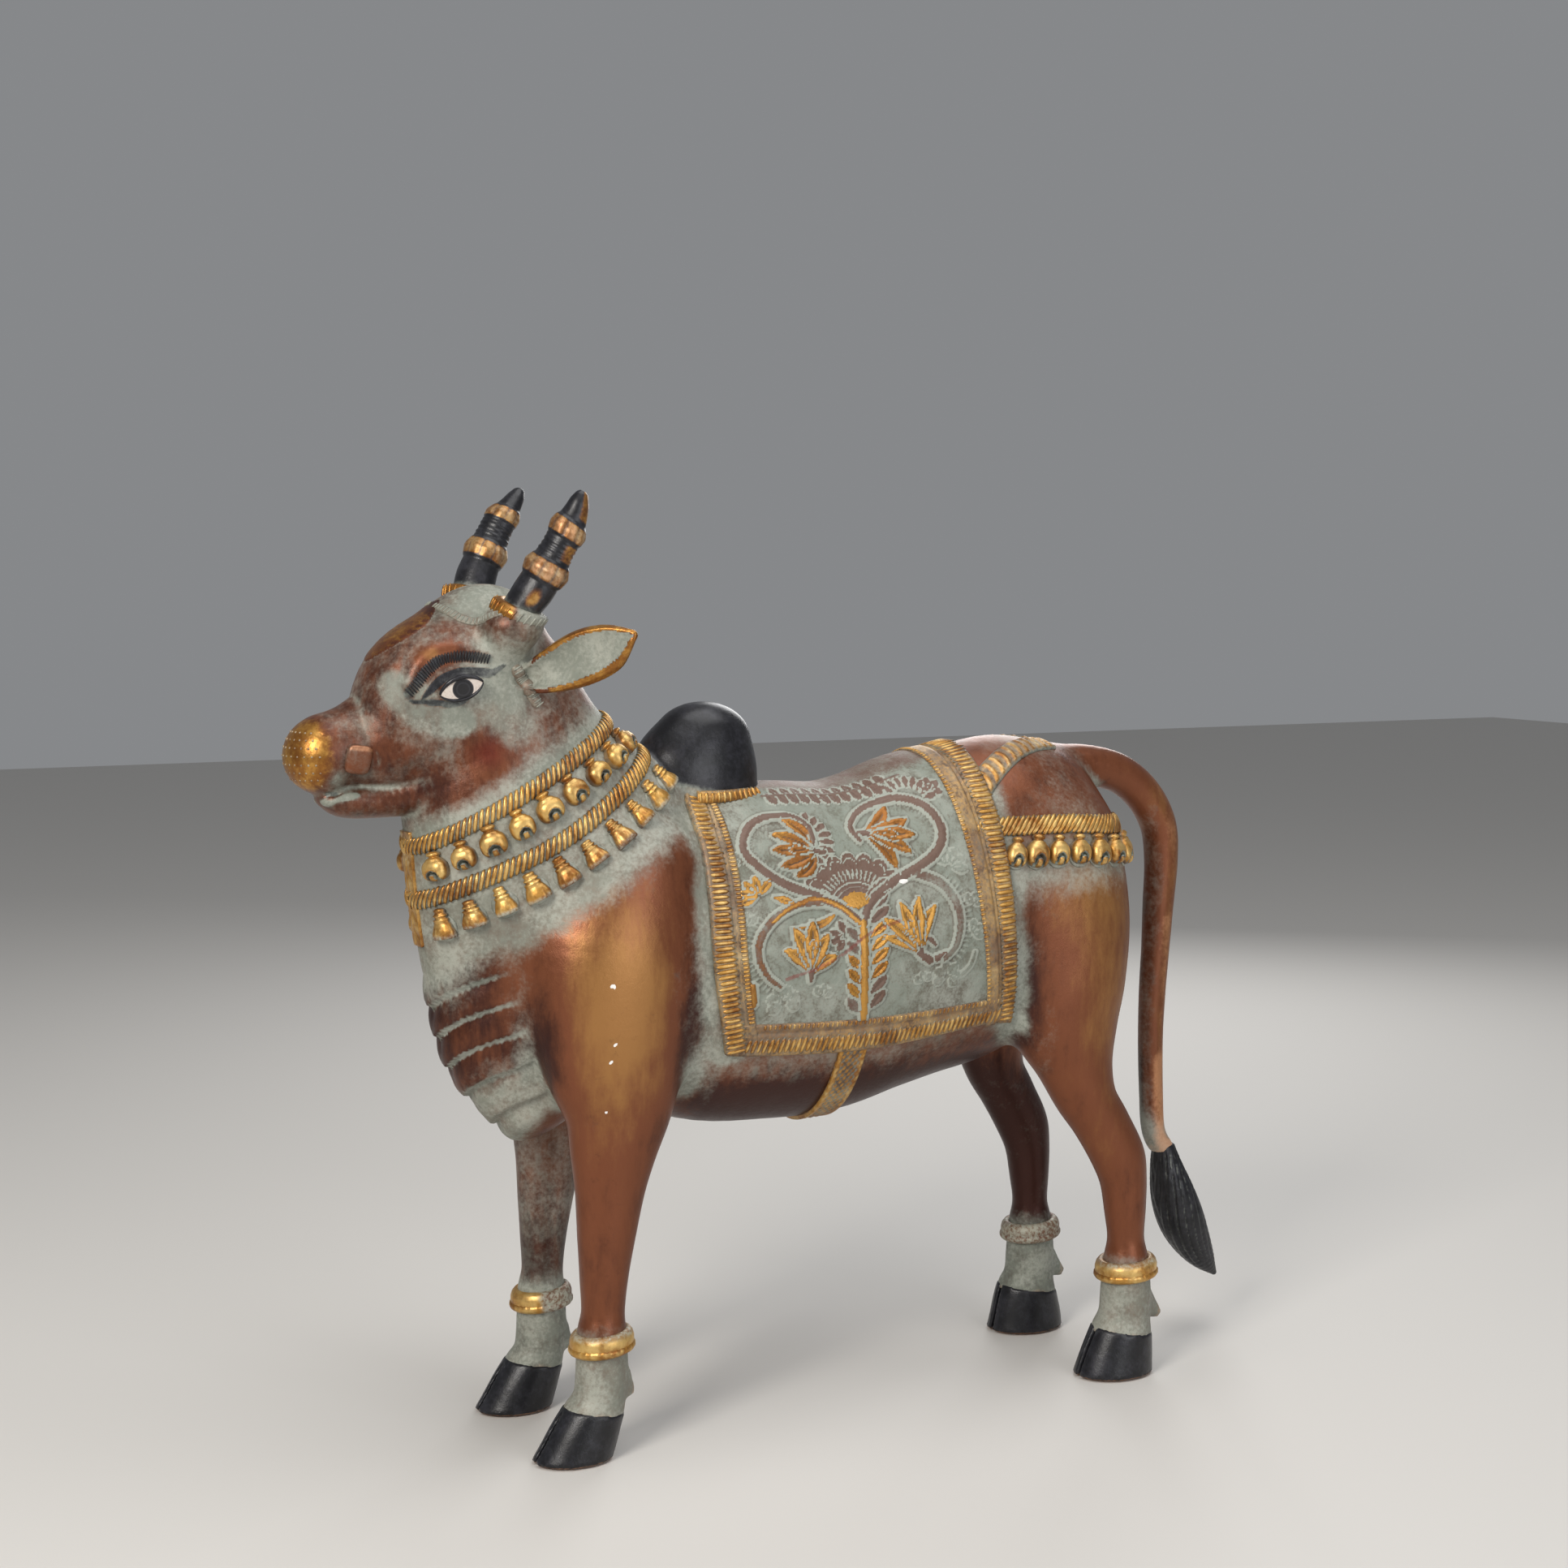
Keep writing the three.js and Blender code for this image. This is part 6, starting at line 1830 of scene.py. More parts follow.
def make_horns():
    """Horns with two gouged, gilded beads each and rings round the neck between them."""
    line = smooth_line(HORN_LINE, 0.8)
    along = distances(line)
    profile = np.array(HORN_PROFILE, float)
    radius = np.interp(along, profile[:, 0], profile[:, 1])
    for _ in range(2):
        radius[1:-1] = (radius[:-2] + 2 * radius[1:-1] + radius[2:]) / 4
    sides = 48
    facing = np.array([0.88, -0.45, 0.15])
    horn = tube(line, radius, sides, np.tile(facing, (len(line), 1)))
    s = np.repeat(along, sides)
    a = np.tile(2 * np.pi * np.arange(sides) / sides, len(line))
    first = ease(s, 35, 39) * (1 - ease(s, 48, 51))
    second = ease(s, 67, 69.5) * (1 - ease(s, 77, 79.5))
    gouge = first * np.clip(
        np.cos(10 * a + 0.8), 0, 1
    ) ** 1.5 + second * np.clip(np.cos(8 * a + 0.5), 0, 1) ** 1.5
    ring = 0.3 * np.sin(s * 2 * np.pi / 3.4) * ease(s, 51, 54) * (1 - ease(s, 63, 66))
    edge = peak(s, 51.5, 0.9) + peak(s, 66.4, 0.8) + peak(s, 34.6, 0.9)
    centre = np.repeat(line, sides, axis=0)
    horn.v = horn.v + unit(horn.v - centre) * (ring - 0.9 * gouge - 0.5 * edge)[:, None]
    back = ease(np.cos(a - 0.5 * np.pi), -0.1, 0.7)
    bead = np.maximum(first, second)
    patch = near_spot(np.stack([s, 14 * np.sin(a - 0.25)], axis=1), (24, 0), (15, 10)) * (np.cos(a) > 0)
    tip = ease(s, 80, 84)
    behind = 0.6 * back * (ease(s, 51, 54) * (1 - ease(s, 64, 67)) + tip)
    gilt = np.clip(bead * (1 - 0.5 * gouge) + 0.75 * patch + behind, 0, 1)
    wash = 0.55 * (1 - ease(s, 12, 20)) + 0.42 * bead + 0.25 * patch
    # Painted highlights on the bead ridges, only on the side facing outward and forward.
    crest = 0.7 * bead * (1 - gouge) * ease(np.cos(a), 0, 0.8)
    horn.paint(gilt=gilt, soot=1.1, crest=crest, wash=wash, glow=0.4, blush=0)
    settle("horns", horn, finish("patina"))


def eye_frame():
    """Middle of the eye on the head, the way it faces, and the ways back and up along its tilt."""
    at, out = nearest(lambda p: joined([HEAD, NECK, EYE_BULGE], p), EYE_AT[None])
    out = unit(out[0] + np.array([0.1, -0.1, 0.0]))
    level = unit(np.array([0.0, 0.05, 1.0]) - out * (np.array([0.0, 0.05, 1.0]) @ out))
    back = np.cross(level, out)
    turned = back * math.cos(EYE_TILT) + level * math.sin(EYE_TILT)
    return at[0], out, turned, np.cross(out, turned)


def make_eyes():
    """Almond eyeballs with their black lids, and the lashes of the brow."""
    at, out, back, up = eye_frame()
    wide, high = EYE_HALF
    a, b = np.meshgrid(np.linspace(-1, 1, 61), np.linspace(-1, 1, 37))

    def opening(share):
        return high * (1 - np.abs(share) ** 2.2) ** 0.8

    u = a * wide
    w = b * opening(a) * np.where(b > 0, 1.0, 0.92)
    dome = 2.6 * np.sqrt(np.clip(1 - (u / (wide * 1.3)) ** 2 - (w / (high * 1.7)) ** 2, 0, 1)) + 1.6
    grid = at + back * u[..., None] + up * w[..., None]
    gap = np.hypot(u - 0.7, w + 0.2)
    n = np.broadcast_to(out, grid.shape)
    marks = {
        "iris": ease(gap, IRIS + 1, IRIS - 1),
        "ring": peak(gap, 0.62 * IRIS, 0.6) + 0.9 * peak(gap, 0.98 * IRIS, 0.5),
        "rim": ease(np.abs(b), 0.86, 0.96),
    }
    settle("eyes", plate(grid, n, dome, 3.0, **marks), finish("eye"))
    # Lids: a dark rim above and below.
    t = np.linspace(-1, 1, 33)
    reach = wide * 1.03 * t
    depth = 2.6 * np.sqrt(np.clip(1 - (reach / (wide * 1.3)) ** 2, 0, 1)) * 0.9 + 1.3
    thinning = 0.5 + 0.5 * (1 - np.abs(t) ** 3)
    rims = []
    for sign, taller, thick in ((1, 1.08, 1.6), (-1, 1.0, 1.1)):
        points = at + np.outer(reach, back) + np.outer(sign * (opening(t) * taller + 0.3), up)
        rims.append(tube(points + np.outer(depth, out), thick * thinning, 8, np.tile(out, (len(t), 1))))
    # Lashes of the brow: a comb of short strokes.
    line, face = nearest(head, along_rows(LASHES, np.linspace(0, 1, 50)))
    count = 34
    spots, face, run = spread(line, face, count, 0.01, 0.99)
    lean = unit(np.cross(face, run) + 0.15 * run)
    length = np.interp(np.linspace(0, 1, count), [0, 0.15, 0.5, 1], [0.8, 1.0, 1.0, 0.85])
    size = np.stack([length, np.ones(count), np.ones(count)], axis=1)
    lash = capsule(8.4, 1.15, 0.8)
    made = repeated(lash, spots + face * 0.3, face, lean, size, finish("patina"), 0.1, seed=4)
    whole = together([*rims, made])
    whole.paint(soot=1.15, wash=0.05, crest=0)
    settle("lids_and_lashes", whole, finish("patina"))


def line_on(f, points, count):
    return nearest(f, along_rows(points, np.linspace(0, 1, count)))


# Line, height, half width, how many ticks, their length and the wash on them.
TICKED_BANDS = ((POLL_BAND, 0.9, 3.4, 24, 5.0, 0.95), (EAR_STRAP, 3.6, 4.6, 12, 7.0, 0.85))


def make_head_trim():
    """Nose dots, ticked bands of poll and ear, cushions of the horns and the square boss by the mouth."""
    paint = finish("patina")
    gold = finish("gilded")
    spots = []
    for row, tilt in enumerate(np.radians(np.arange(-58, 50, 11.5))):
        for turn in np.radians(np.arange(-5 + 5.5 * (row % 2), 70, 11)):
            spots.append([math.sin(turn) * math.cos(tilt), -math.cos(turn) * math.cos(tilt), math.sin(tilt)])
    at, out = outward(head, np.array([0, -366.0, 484]), np.array(spots), first=8, last=40, step=2)
    keep = (at[:, 1] < -366) & (at[:, 2] > 464) & (at[:, 2] < 502)
    keep &= np.hypot(at[:, 1] + 374, at[:, 2] - 495) > 6
    at, out = at[keep], out[keep]
    run = np.tile([0.0, 0, 1], (len(at), 1))
    dot = capsule(1.5, 1.5, 0.5, rings=5, sides=8)
    dots = repeated(dot, at, out, run, (1, 1, 1), paint, 0.2, seed=3)
    dots.paint(soot=0, wash=0.6, gilt=0.7, crest=0)
    settle("nose_dots", dots, paint)
    # Thin bands with ticks: across the poll, and a fatter one in front of the ear.
    bands = []
    for points, high, half, count, wide, wash in TICKED_BANDS:
        at, out = line_on(head, points, 30)
        ends = 0.35 + 0.65 * (1 - np.abs(np.linspace(-1, 1, 30)) ** 6)
        core = tube(at, np.stack([high * ends, half * ends], axis=1), 10, out)
        at, out, run = spread(at, out, count, 0.04, 0.96)
        rib = capsule(wide, 1.25, 0.8)
        ribs = repeated(rib, at + out * high * 0.85, out, np.cross(out, run), (1, 1, 1), paint, 0.1, seed=7)
        core.paint(soot=0.3, wash=wash - 0.15)
        ribs.paint(soot=0, wash=wash + 0.1)
        bands += [core, ribs]
    whole = together(bands)
    whole.paint(crest=0, glow=0.5)
    settle("head_bands", whole, paint)
    # Cushion at the root of the horn, gilded and ticked on its front.
    u = unit(np.cross(HORN_WAY, [1.0, 0, 0]))
    w = np.cross(HORN_WAY, u)
    a = np.linspace(0, 2 * np.pi, 49)[:-1]
    ring = HORN_ROOT - 1.5 * HORN_WAY + 15.6 * (np.outer(np.cos(a), u) + np.outer(np.sin(a), w))
    collar = tube(ring, np.tile([6.0, 4.4], (48, 1)), 10, np.tile(HORN_WAY, (48, 1)), hoop=True)
    out = unit(ring - HORN_ROOT)
    rib = capsule(9.6, 1.8, 1.1)
    at, out = ring[::2] + out[::2] * 3.9, out[::2]
    whole = collar.plus(repeated(rib, at, out, np.tile(HORN_WAY, (24, 1)), (1, 1, 1), gold, 0.12, seed=9))
    front = ease((whole.v - HORN_ROOT) @ unit(np.array([-0.25, -1.0, 0.1])), 0, 11)
    crest = 0.25 * whole.marks["crest"] * front
    whole.paint(gilt=0.85 * front, wash=1.0 - 0.95 * front, glow=0.6, crest=crest)
    settle("horn_cushions", whole, paint)
    # The square boss by the mouth.
    at, out = nearest(head, np.array([[25.0, -351, 481.5]]))
    fore = unit(np.cross(out[0], np.array([0.1, 0.15, 1.0])))
    tall = np.cross(out[0], fore)

    def block(p):
        q = np.abs(p) / [9.2, 10.0, 5.2]
        return ((q**4).sum(axis=1) ** 0.25 - 1) * 6

    boss = solid_unit(block, (12, 13, 8), 0.9)
    local = boss.v
    depth = local[:, 2] - 1.2
    boss.v = at[0] + np.outer(local[:, 0], fore) + np.outer(local[:, 1], tall) + np.outer(depth, out[0])
    if np.dot(np.cross(fore, tall), out[0]) < 0:
        boss.f = reversed_faces(boss.f)
    face = ease(local[:, 2], 0.5, 3.5)
    boss.paint(soot=0, wash=0.5 - 0.15 * face, glow=0.35 + 0.15 * face, gilt=0, blush=0.25 * face)
    boss.paint(crest=0.7 * face * ease(-local[:, 1], 3, 8))
    settle("mouth_boss", boss, paint)


# Cloth


# Two grooves of a border and the ridge between them, each as its share of the way across and its half width.
# The last number is the height of the ridge.
FRONT_PROFILE = ((0.66, 0.035), (0.76, 0.03), (0.71, 0.025), 0.5)
REAR_PROFILE = ((0.42, 0.03), (0.5, 0.03), (0.46, 0.02), 0.6)


def border_strip(cover, left, right, cols, bottom, profile, crest, faded):
    """A raised strip down the cloth between two edges, grooved along its length."""
    first, second, ridge, rise = profile
    a = np.linspace(0, bottom, 100)[:, None]
    s = np.linspace(0, 1, cols)[None, :]
    y = left(a) + (right(a) - left(a)) * s
    at, out = cover.at(y, a + 0 * y)
    lift = 2.4 + 1.8 * ease(np.minimum(s, 1 - s), 0.0, 0.05) + 0 * y
    lift = lift - 1.6 * (peak(s, *first) + peak(s, *second)) + rise * peak(s, *ridge)
    return plate(at, out, lift, 3.5, open_start=True, crest=crest + 0 * y, faded=faded + 0 * y)


def rib_row(cover, line, count, length, width, height, lift, paint, seed, slant, faded):
    """Ribs across a line on the cloth. The line gives Y and angle at the shares 0 to 1."""
    share = np.linspace(0, 1, 160)
    y, a = line(share)
    at, out = cover.at(y, a)
    at, out, run = spread(at, out, count, 0.5 / count, 1 - 0.5 / count)
    across = unit(np.cross(out, run) + slant * run)
    rib = capsule(1.0, width, height, sides=5)
    long = np.interp(np.linspace(0, 1, count), [0, 1], length)
    size = np.stack([long, np.ones(count), np.ones(count)], axis=1)
    made = repeated(rib, at + out * lift, out, across, size, paint, 0.13, seed)
    made.paint(faded=faded)
    return made


RIB_SEED = 11


def make_cloth():
    """Carved side panels of the cloth, its ribbed gold borders and the girth strap."""
    sizes = bpy.context.scene.nandi_sizes
    cell = sizes.cloth_cell / MM
    pitch = sizes.rib_pitch / MM
    gold = finish("gilded")
    cover = Cover(np.arange(-132, 136, 3.0), np.arange(-12, 148, 2.0))
    last = CLOTH_LOW - BOTTOM_BORDER + 1
    rows = int(last * PER_DEGREE / cell)
    cols = int(182 / cell)
    a = np.linspace(0, last, rows)[:, None]
    left = front_edge(a) + FRONT_BORDER - 2
    right = rear_edge(a) - rear_border(a) + 2
    y = left + (right - left) * np.linspace(0, 1, cols)[None, :]
    a = a + 0 * y
    relief = Relief(y, a * PER_DEGREE)
    carve_vine(relief)
    at, out = cover.at(y, a)
    top_fade = ease(a * PER_DEGREE, 14, 34)
    edge = np.minimum.reduce([y - left, right - y, (last - a) * PER_DEGREE])
    height = relief.height
    blurred = height.copy()
    for _ in range(6):
        blurred[1:-1] = (blurred[:-2] + 2 * blurred[1:-1] + blurred[2:]) / 4
        blurred[:, 1:-1] = (blurred[:, :-2] + 2 * blurred[:, 1:-1] + blurred[:, 2:]) / 4
    # How far each place lies below its blurred surroundings; the cloth paint darkens it.
    recess = np.clip((blurred - height) * 1.6, 0, 1)
    worn = np.maximum(relief.worn, 0.6 * (1 - top_fade))
    streak_line = smooth_line([(-69, 176), (-50, 170), (-27, 160), (-7, 146), (18, 137)], 3)
    gap = np.min([np.hypot(y - u, a * PER_DEGREE - v) for u, v in streak_line], axis=0)
    chip_gap = np.hypot((y - 25) / 2.2, a * PER_DEGREE - 107)
    panel = plate(
        at,
        out,
        3.0 + height,
        2.0,
        open_start=True,
        backed=False,
        gilt=relief.gilt,
        worn=worn,
        line=relief.line,
        hollow=recess + 0.4 * (1 - ease(edge, 1.5, 4)),
        streak=0.8 * (1 - ease(gap, 0.5, 3.2)),
        chip=1.0 * (1 - ease(chip_gap, 1.0, 2.4)),
    )
    settle("cloth_panel", panel, finish("cloth"))

    def front_right(a):
        return front_edge(a) + FRONT_BORDER

    def rear_left(a):
        return rear_edge(a) - rear_border(a)

    front = border_strip(cover, front_edge, front_right, 24, CLOTH_LOW, FRONT_PROFILE, 0.26, 0.34)
    rear = border_strip(cover, rear_left, rear_edge, 32, CLOTH_LOW + 1, REAR_PROFILE, 0.28, 0.32)
    s = np.linspace(0, 1, 90)[None, :]
    a = np.linspace(CLOTH_LOW - BOTTOM_BORDER, CLOTH_LOW + 0.5, 19)[:, None] + 0 * s
    y = (front_edge(a) + 14) + ((rear_edge(a) - 10) - (front_edge(a) + 14)) * s
    share = (a - CLOTH_LOW + BOTTOM_BORDER) / (BOTTOM_BORDER + 0.5)
    lift = 2.4 + 1.5 * ease(np.minimum(share, 1 - share), 0, 0.06) - 1.4 * peak(share, 0.3, 0.04)
    at, out = cover.at(y, a)
    low = plate(at, out, lift, 3.5, crest=0.28 + 0 * y, faded=0.3 + 0 * y)
    settle("cloth_borders", together([front, rear, low]), gold)

    def down(base, borders, more, low):
        """A line down the cloth, off an edge by a share of the rear border and some millimetres more."""
        return lambda t: (base(t * low) + borders * rear_border(t * low) + more, t * low)

    def level(first, length, low):
        return lambda t: (first + length * t, low + 0 * t)

    count = int(CLOTH_LOW * 1.78 / pitch)
    wide, thin = pitch * 0.8, pitch * 0.5
    low, top = CLOTH_LOW - 3.9, CLOTH_LOW - BOTTOM_BORDER + 1.6
    start = front_edge(low) + 15
    length = rear_edge(low) - 13 - start
    # Line, how many ribs, their length at its ends, width, height, lift, slant and fading.
    rows = [
        (down(front_edge, 0, 8.2, CLOTH_LOW - 1), count, (15.2, 15.2), wide, 1.35, 4.0, 0, 0.1),
        (down(front_edge, 0, 21.6, CLOTH_LOW - 13), int(count * 1.25), (5.4, 5.4), thin, 1.1, 3.9, 0, 0.3),
        (down(rear_edge, -0.26, 0, CLOTH_LOW), count, (18.6, 12.6), wide, 1.35, 4.0, 0, 0.1),
        (down(rear_edge, -0.93, 0, CLOTH_LOW - 12), int(count * 1.2), (5.0, 4.0), thin, 1.1, 3.7, 0, 0.3),
        (level(start, length, low), int(210 / pitch), (13.0, 13.0), pitch * 0.78, 1.3, 3.7, 0.22, 0.1),
        (level(start + 11, length - 14, top), int(225 / pitch), (4.6, 4.6), thin, 1.0, 3.5, 0.15, 0.35),
    ]
    ribs = [
        rib_row(cover, *row, gold, RIB_SEED + i, slant, faded) for i,
        (*row, slant, faded) in enumerate(rows)
    ]
    settle("cloth_ribs", together(ribs), gold)

    # Girth strap below the belly, with a diaper of small lozenges.
    belly = Cover(np.arange(-40, 16, 3.0), np.arange(118, 194, 2.0))
    a = np.linspace(129, 180, 72)[:, None]
    s = np.linspace(0, 1, 27)[None, :]
    y = -22 - 4 * np.sin(np.radians(a - 130)) + 21 * s
    at, out = belly.at(y, a + 0 * y)
    at[-1, :, 0] = 0
    scale = a * PER_DEGREE + 0 * y
    weave = np.abs(np.sin(np.pi * (y + scale) / 5.2)) * np.abs(np.sin(np.pi * (y - scale) / 5.2))
    rim = 1 - ease(np.minimum(s, 1 - s) + 0 * y, 0.08, 0.16)
    lift = 2.0 + 0.9 * weave * (1 - rim) + 0.9 * rim
    crest = (0.1 + 0.45 * weave + 0.35 * rim)[::-1]
    faded = np.full(y.shape, 0.35)
    strap = plate(at[::-1], out[::-1], lift[::-1], 3.0, open_start=True, crest=crest, faded=faded)
    settle("girth_strap", strap, gold)


# Necklaces and harness

# The upper necklace has round bells, the lower one tassels. Their number is "bells", and they hang "drop"
# below the rope, between the shares "from" and "to" of its length.
NECKLACES = [
    {
        "nape": (0, -165, 505),
        "throat": (0, -312, 419),
        "sag": 0.5,
        "wide": 1.2,
        "drop": 15.5,
        "bells": 9,
        "from": 0.13,
        "to": 0.86,
    },
    {
        "nape": (0, -139, 483),
        "throat": (0, -308, 383),
        "sag": 7,
        "wide": 1.25,
        "drop": 17.5,
        "bells": 10,
        "from": 0.14,
        "to": 0.88,
    },
]


LINE_POINTS = 61


def hoop(necklace, drop):
    nape, throat = np.array(necklace["nape"], float), np.array(necklace["throat"], float)
    centre = (nape + throat) / 2
    back = unit(nape - throat)
    below = np.array([0, -back[2], back[1]])
    below = below if below[2] < 0 else -below
    a = np.linspace(-0.02, np.pi + 0.02, LINE_POINTS)
    start = centre + np.outer(necklace["sag"] * np.sin(a) ** 2 + drop, below)
    way = np.outer(np.cos(a), back) + np.outer(np.sin(a), [1, 0, 0])
    return outward(neck_skin, start, way)


def round_bell(radius):
    """A small round bell: capped, squarish, with an arched slot at its mouth."""
    r = radius
    slot = np.array([[0.95, -0.36], [0.5, -0.34], [0.32, 0], [0.5, 0.34], [0.95, 0.36]]) * r

    def slot_gap(x, y):
        gap = np.full(len(x), FAR)
        for a, b in zip(slot[:-1], slot[1:]):
            way = b - a
            t = np.clip(((x - a[0]) * way[0] + (y - a[1]) * way[1]) / (way @ way), 0, 1)
            gap = np.minimum(gap, np.hypot(x - a[0] - t * way[0], y - a[1] - t * way[1]))
        return gap

    def f(p):
        x, y, z = p[:, 0], p[:, 1], p[:, 2]
        q = np.abs(np.stack([(x - 0.22 * r) / (0.84 * r), y / r, z / (0.82 * r)], axis=1))
        ball = ((q**2.6).sum(axis=1) ** (1 / 2.6) - 1) * r * 0.85
        neck = np.hypot(y, z) - 0.36 * r
        neck = np.maximum(neck, np.abs(x + 0.75 * r) - 0.4 * r)
        cap = (np.sqrt(((x + 0.95 * r) / (0.2 * r)) ** 2 + (y * y + z * z) / (0.56 * r) ** 2) - 1) * 0.2 * r
        ring = (np.sqrt(((x + 0.6 * r) / (0.13 * r)) ** 2 + (y * y + z * z) / (0.62 * r) ** 2) - 1) * 0.13 * r
        d = np.minimum.reduce([ball, neck, cap, ring])
        return np.maximum(d, np.where(z > 0.1 * r, 0.11 * r - slot_gap(x, y), -9))

    made = solid_unit_even(f, (1.35 * r, 1.15 * r, 1.0 * r), r / 6.6)
    x, y, z = made.v.T
    # The slot is painted dark, as the shade inside the hollow bell.
    slot_shade = slot_gap(x, y) < 0.16 * r
    made.paint(crest=np.clip(0.25 + 0.7 * ease(z / r, 0.05, 0.6) - 1.2 * slot_shade, 0, 1))
    return made


def solid_unit_even(f, size, step):
    """A small piece that is the same on both sides of its middle, from its own field about the origin."""
    x, y, z = size
    made = skin_mesh(lambda p: f(p[:, [1, 0, 2]]), (0, -x, -z), (y, x, z), step)
    return Shape(made.v[:, [1, 0, 2]], reversed_faces(made.f))


def tassel(radius):
    """A flared tassel with two ringed beads at its head and flutes at its foot."""
    r = radius

    def f(p):
        x, y, z = p[:, 0], p[:, 1], p[:, 2]
        t = np.clip((x + 0.95 * r) / (2.0 * r), 0, 1)
        half = r * (0.42 + 0.58 * ease(t, 0.15, 0.85))
        flute = 0.05 * r * np.abs(np.sin(5.5 * np.arctan2(y, np.maximum(z, 0.05)))) * ease(t, 0.45, 0.7)
        side = np.sqrt((y / half) ** 2 + (z / (0.72 * half)) ** 2) - 1
        d = np.maximum(side * half * 0.8 + flute, np.abs(x - 0.05 * r) - 1.0 * r)
        for at, wide in ((-0.98, 0.5), (-0.62, 0.62), (-0.3, 0.66)):
            across = (y / (wide * r)) ** 2 + (z / (0.8 * wide * r)) ** 2
            ring = np.sqrt(((x - at * r) / (0.15 * r)) ** 2 + across) - 1
            d = np.minimum(d, ring * 0.15 * r)
        return d

    made = solid_unit_even(f, (1.25 * r, 1.15 * r, 0.95 * r), r / 6.4)
    x, z = made.v[:, 0] / r, made.v[:, 2] / r
    angle = np.arctan2(made.v[:, 1], np.maximum(made.v[:, 2], 0.05))
    groove = 1 - np.abs(np.sin(5.5 * angle)) * 0.6
    made.marks["crest"] = np.clip(0.2 + 0.75 * ease(z, 0.0, 0.5) * np.where(x > 0.1, groove, 1), 0, 1)
    made.marks["faded"] = 0.75 * ease(x, 0.35, 0.95)
    return made


def scallop(radius, thick):
    """A flat lens behind a bell."""

    def f(p):
        q = np.sqrt((p[:, 0] / radius) ** 2 + (p[:, 1] / radius) ** 2 + (p[:, 2] / thick) ** 2)
        return (q - 1) * thick

    return solid_unit_even(f, (radius + 1, radius + 1, thick + 1), radius / 5)


def rope(at, out, half, high, count, paint, seed, slant, faded):
    """A flat ribbed rope along closely sampled places, as one shape; half is half its width."""
    places, face, run = spread(at, out, 90, 0, 1)
    core = tube(places, np.tile([high * 0.8, half * 0.9], (90, 1)), 12, face)
    core.paint(crest=core.marks["crest"] * 0.12)
    places, face, run = spread(at, out, count, 0.0, 1.0)
    strand = twist(half * 0.86, half * 0.25, half * slant)
    made = core.plus(repeated(strand, places, face, run, (1, 1, high / half), paint, 0.05, seed))
    made.paint(faded=faded)
    return made


def keep_right(shape):
    """Drops the faces of the shape that lie wholly beyond the middle plane."""
    beyond = shape.v[:, 0] < -0.5
    shape.f = [part[~beyond[part].all(axis=1)] for part in shape.f]
    return shape


def make_necklaces():
    """Two ropes of twisted strands, a row of round bells, a row of tassels and the strip at the throat."""
    sizes = bpy.context.scene.nandi_sizes
    gold = finish("gilded")
    paint = finish("patina")
    radius, pitch = sizes.rope / MM, sizes.rib_pitch / MM
    bell = round_bell(sizes.bell / MM)
    drop = tassel(sizes.bell / MM * 0.98)
    shell = scallop(10.5, 2.0)
    ropes, hung = [], []
    for i, necklace in enumerate(NECKLACES):
        at, out = hoop(necklace, 0)
        count = int(line_length(at) / pitch)
        ropes.append(rope(at, out, radius * necklace["wide"], 3.4, count, gold, 21 + i, 0.6, 0.12))
        top, _, _ = spread(at, out, necklace["bells"], necklace["from"], necklace["to"])
        at, out = hoop(necklace, necklace["drop"])
        below, face, _ = spread(at, out, necklace["bells"], necklace["from"], necklace["to"])
        run = unit(below - top)
        part = repeated(drop if i else bell, below + face * 2.2, face, run, (1, 1, 1), gold, 0.07, 31 + i)
        hung.append(part)
        if i:
            shells = repeated(shell, below + run * 3.5 - face * 0.3, face, run, (1, 1, 1), paint, 0.06, 33)
            shells.paint(wash=0.9, glow=0.2)
            settle("tassel_backing", keep_right(shells), paint)
    settle("necklace_ropes", keep_right(together(ropes)), gold)
    settle("necklace_bells", together(hung), gold)

    # The strip at the throat, with leaves in relief.
    rows, cols = 78, 20
    z = np.linspace(430, 352, rows)
    x = np.linspace(0, 9.5, cols)
    zz, xx = np.meshgrid(z, x, indexing="ij")
    way = np.stack([xx, np.full_like(xx, -62.0), 0 * xx], axis=-1).reshape(-1, 3)
    start = np.stack([0 * xx, np.full_like(xx, -250.0), zz], axis=-1).reshape(-1, 3)
    at, out = outward(neck_skin, start, way, first=30, last=80)
    at, out = at.reshape(rows, cols, 3), out.reshape(rows, cols, 3)
    at[:, 0, 0] = 0
    out[:, 0, 0] = 0
    s = (zz - 352) / 78
    rim = 1 - ease(9.5 - xx, 0.6, 1.8)
    leaf = np.abs(np.sin(np.pi * (zz + 0.9 * xx) / 13)) ** 0.6 * ease(xx, 0.3, 1.2) * (1 - rim)
    lift = 1.3 + 0.8 * leaf + 0.9 * rim
    crest, faded = 0.3 + 0.4 * leaf + 0.3 * rim, 0.15 + 0.3 * s
    at, out, lift, crest, faded = (np.swapaxes(m, 0, 1) for m in (at, out, lift, crest, faded))
    settle("throat_strip", plate(at, out, lift, 3.5, open_start=True, crest=crest, faded=faded), gold)


BREECH_Y = 170.0
BAND_HEIGHT = 420


def breech(z):
    b = np.linspace(math.radians(-48), np.pi / 2, LINE_POINTS)
    start = np.stack([0 * b, 0 * b + BREECH_Y, z - 6 * np.maximum(0, np.sin(b))], axis=1)
    return outward(body, start, np.stack([np.cos(b), np.sin(b), 0 * b], axis=1))


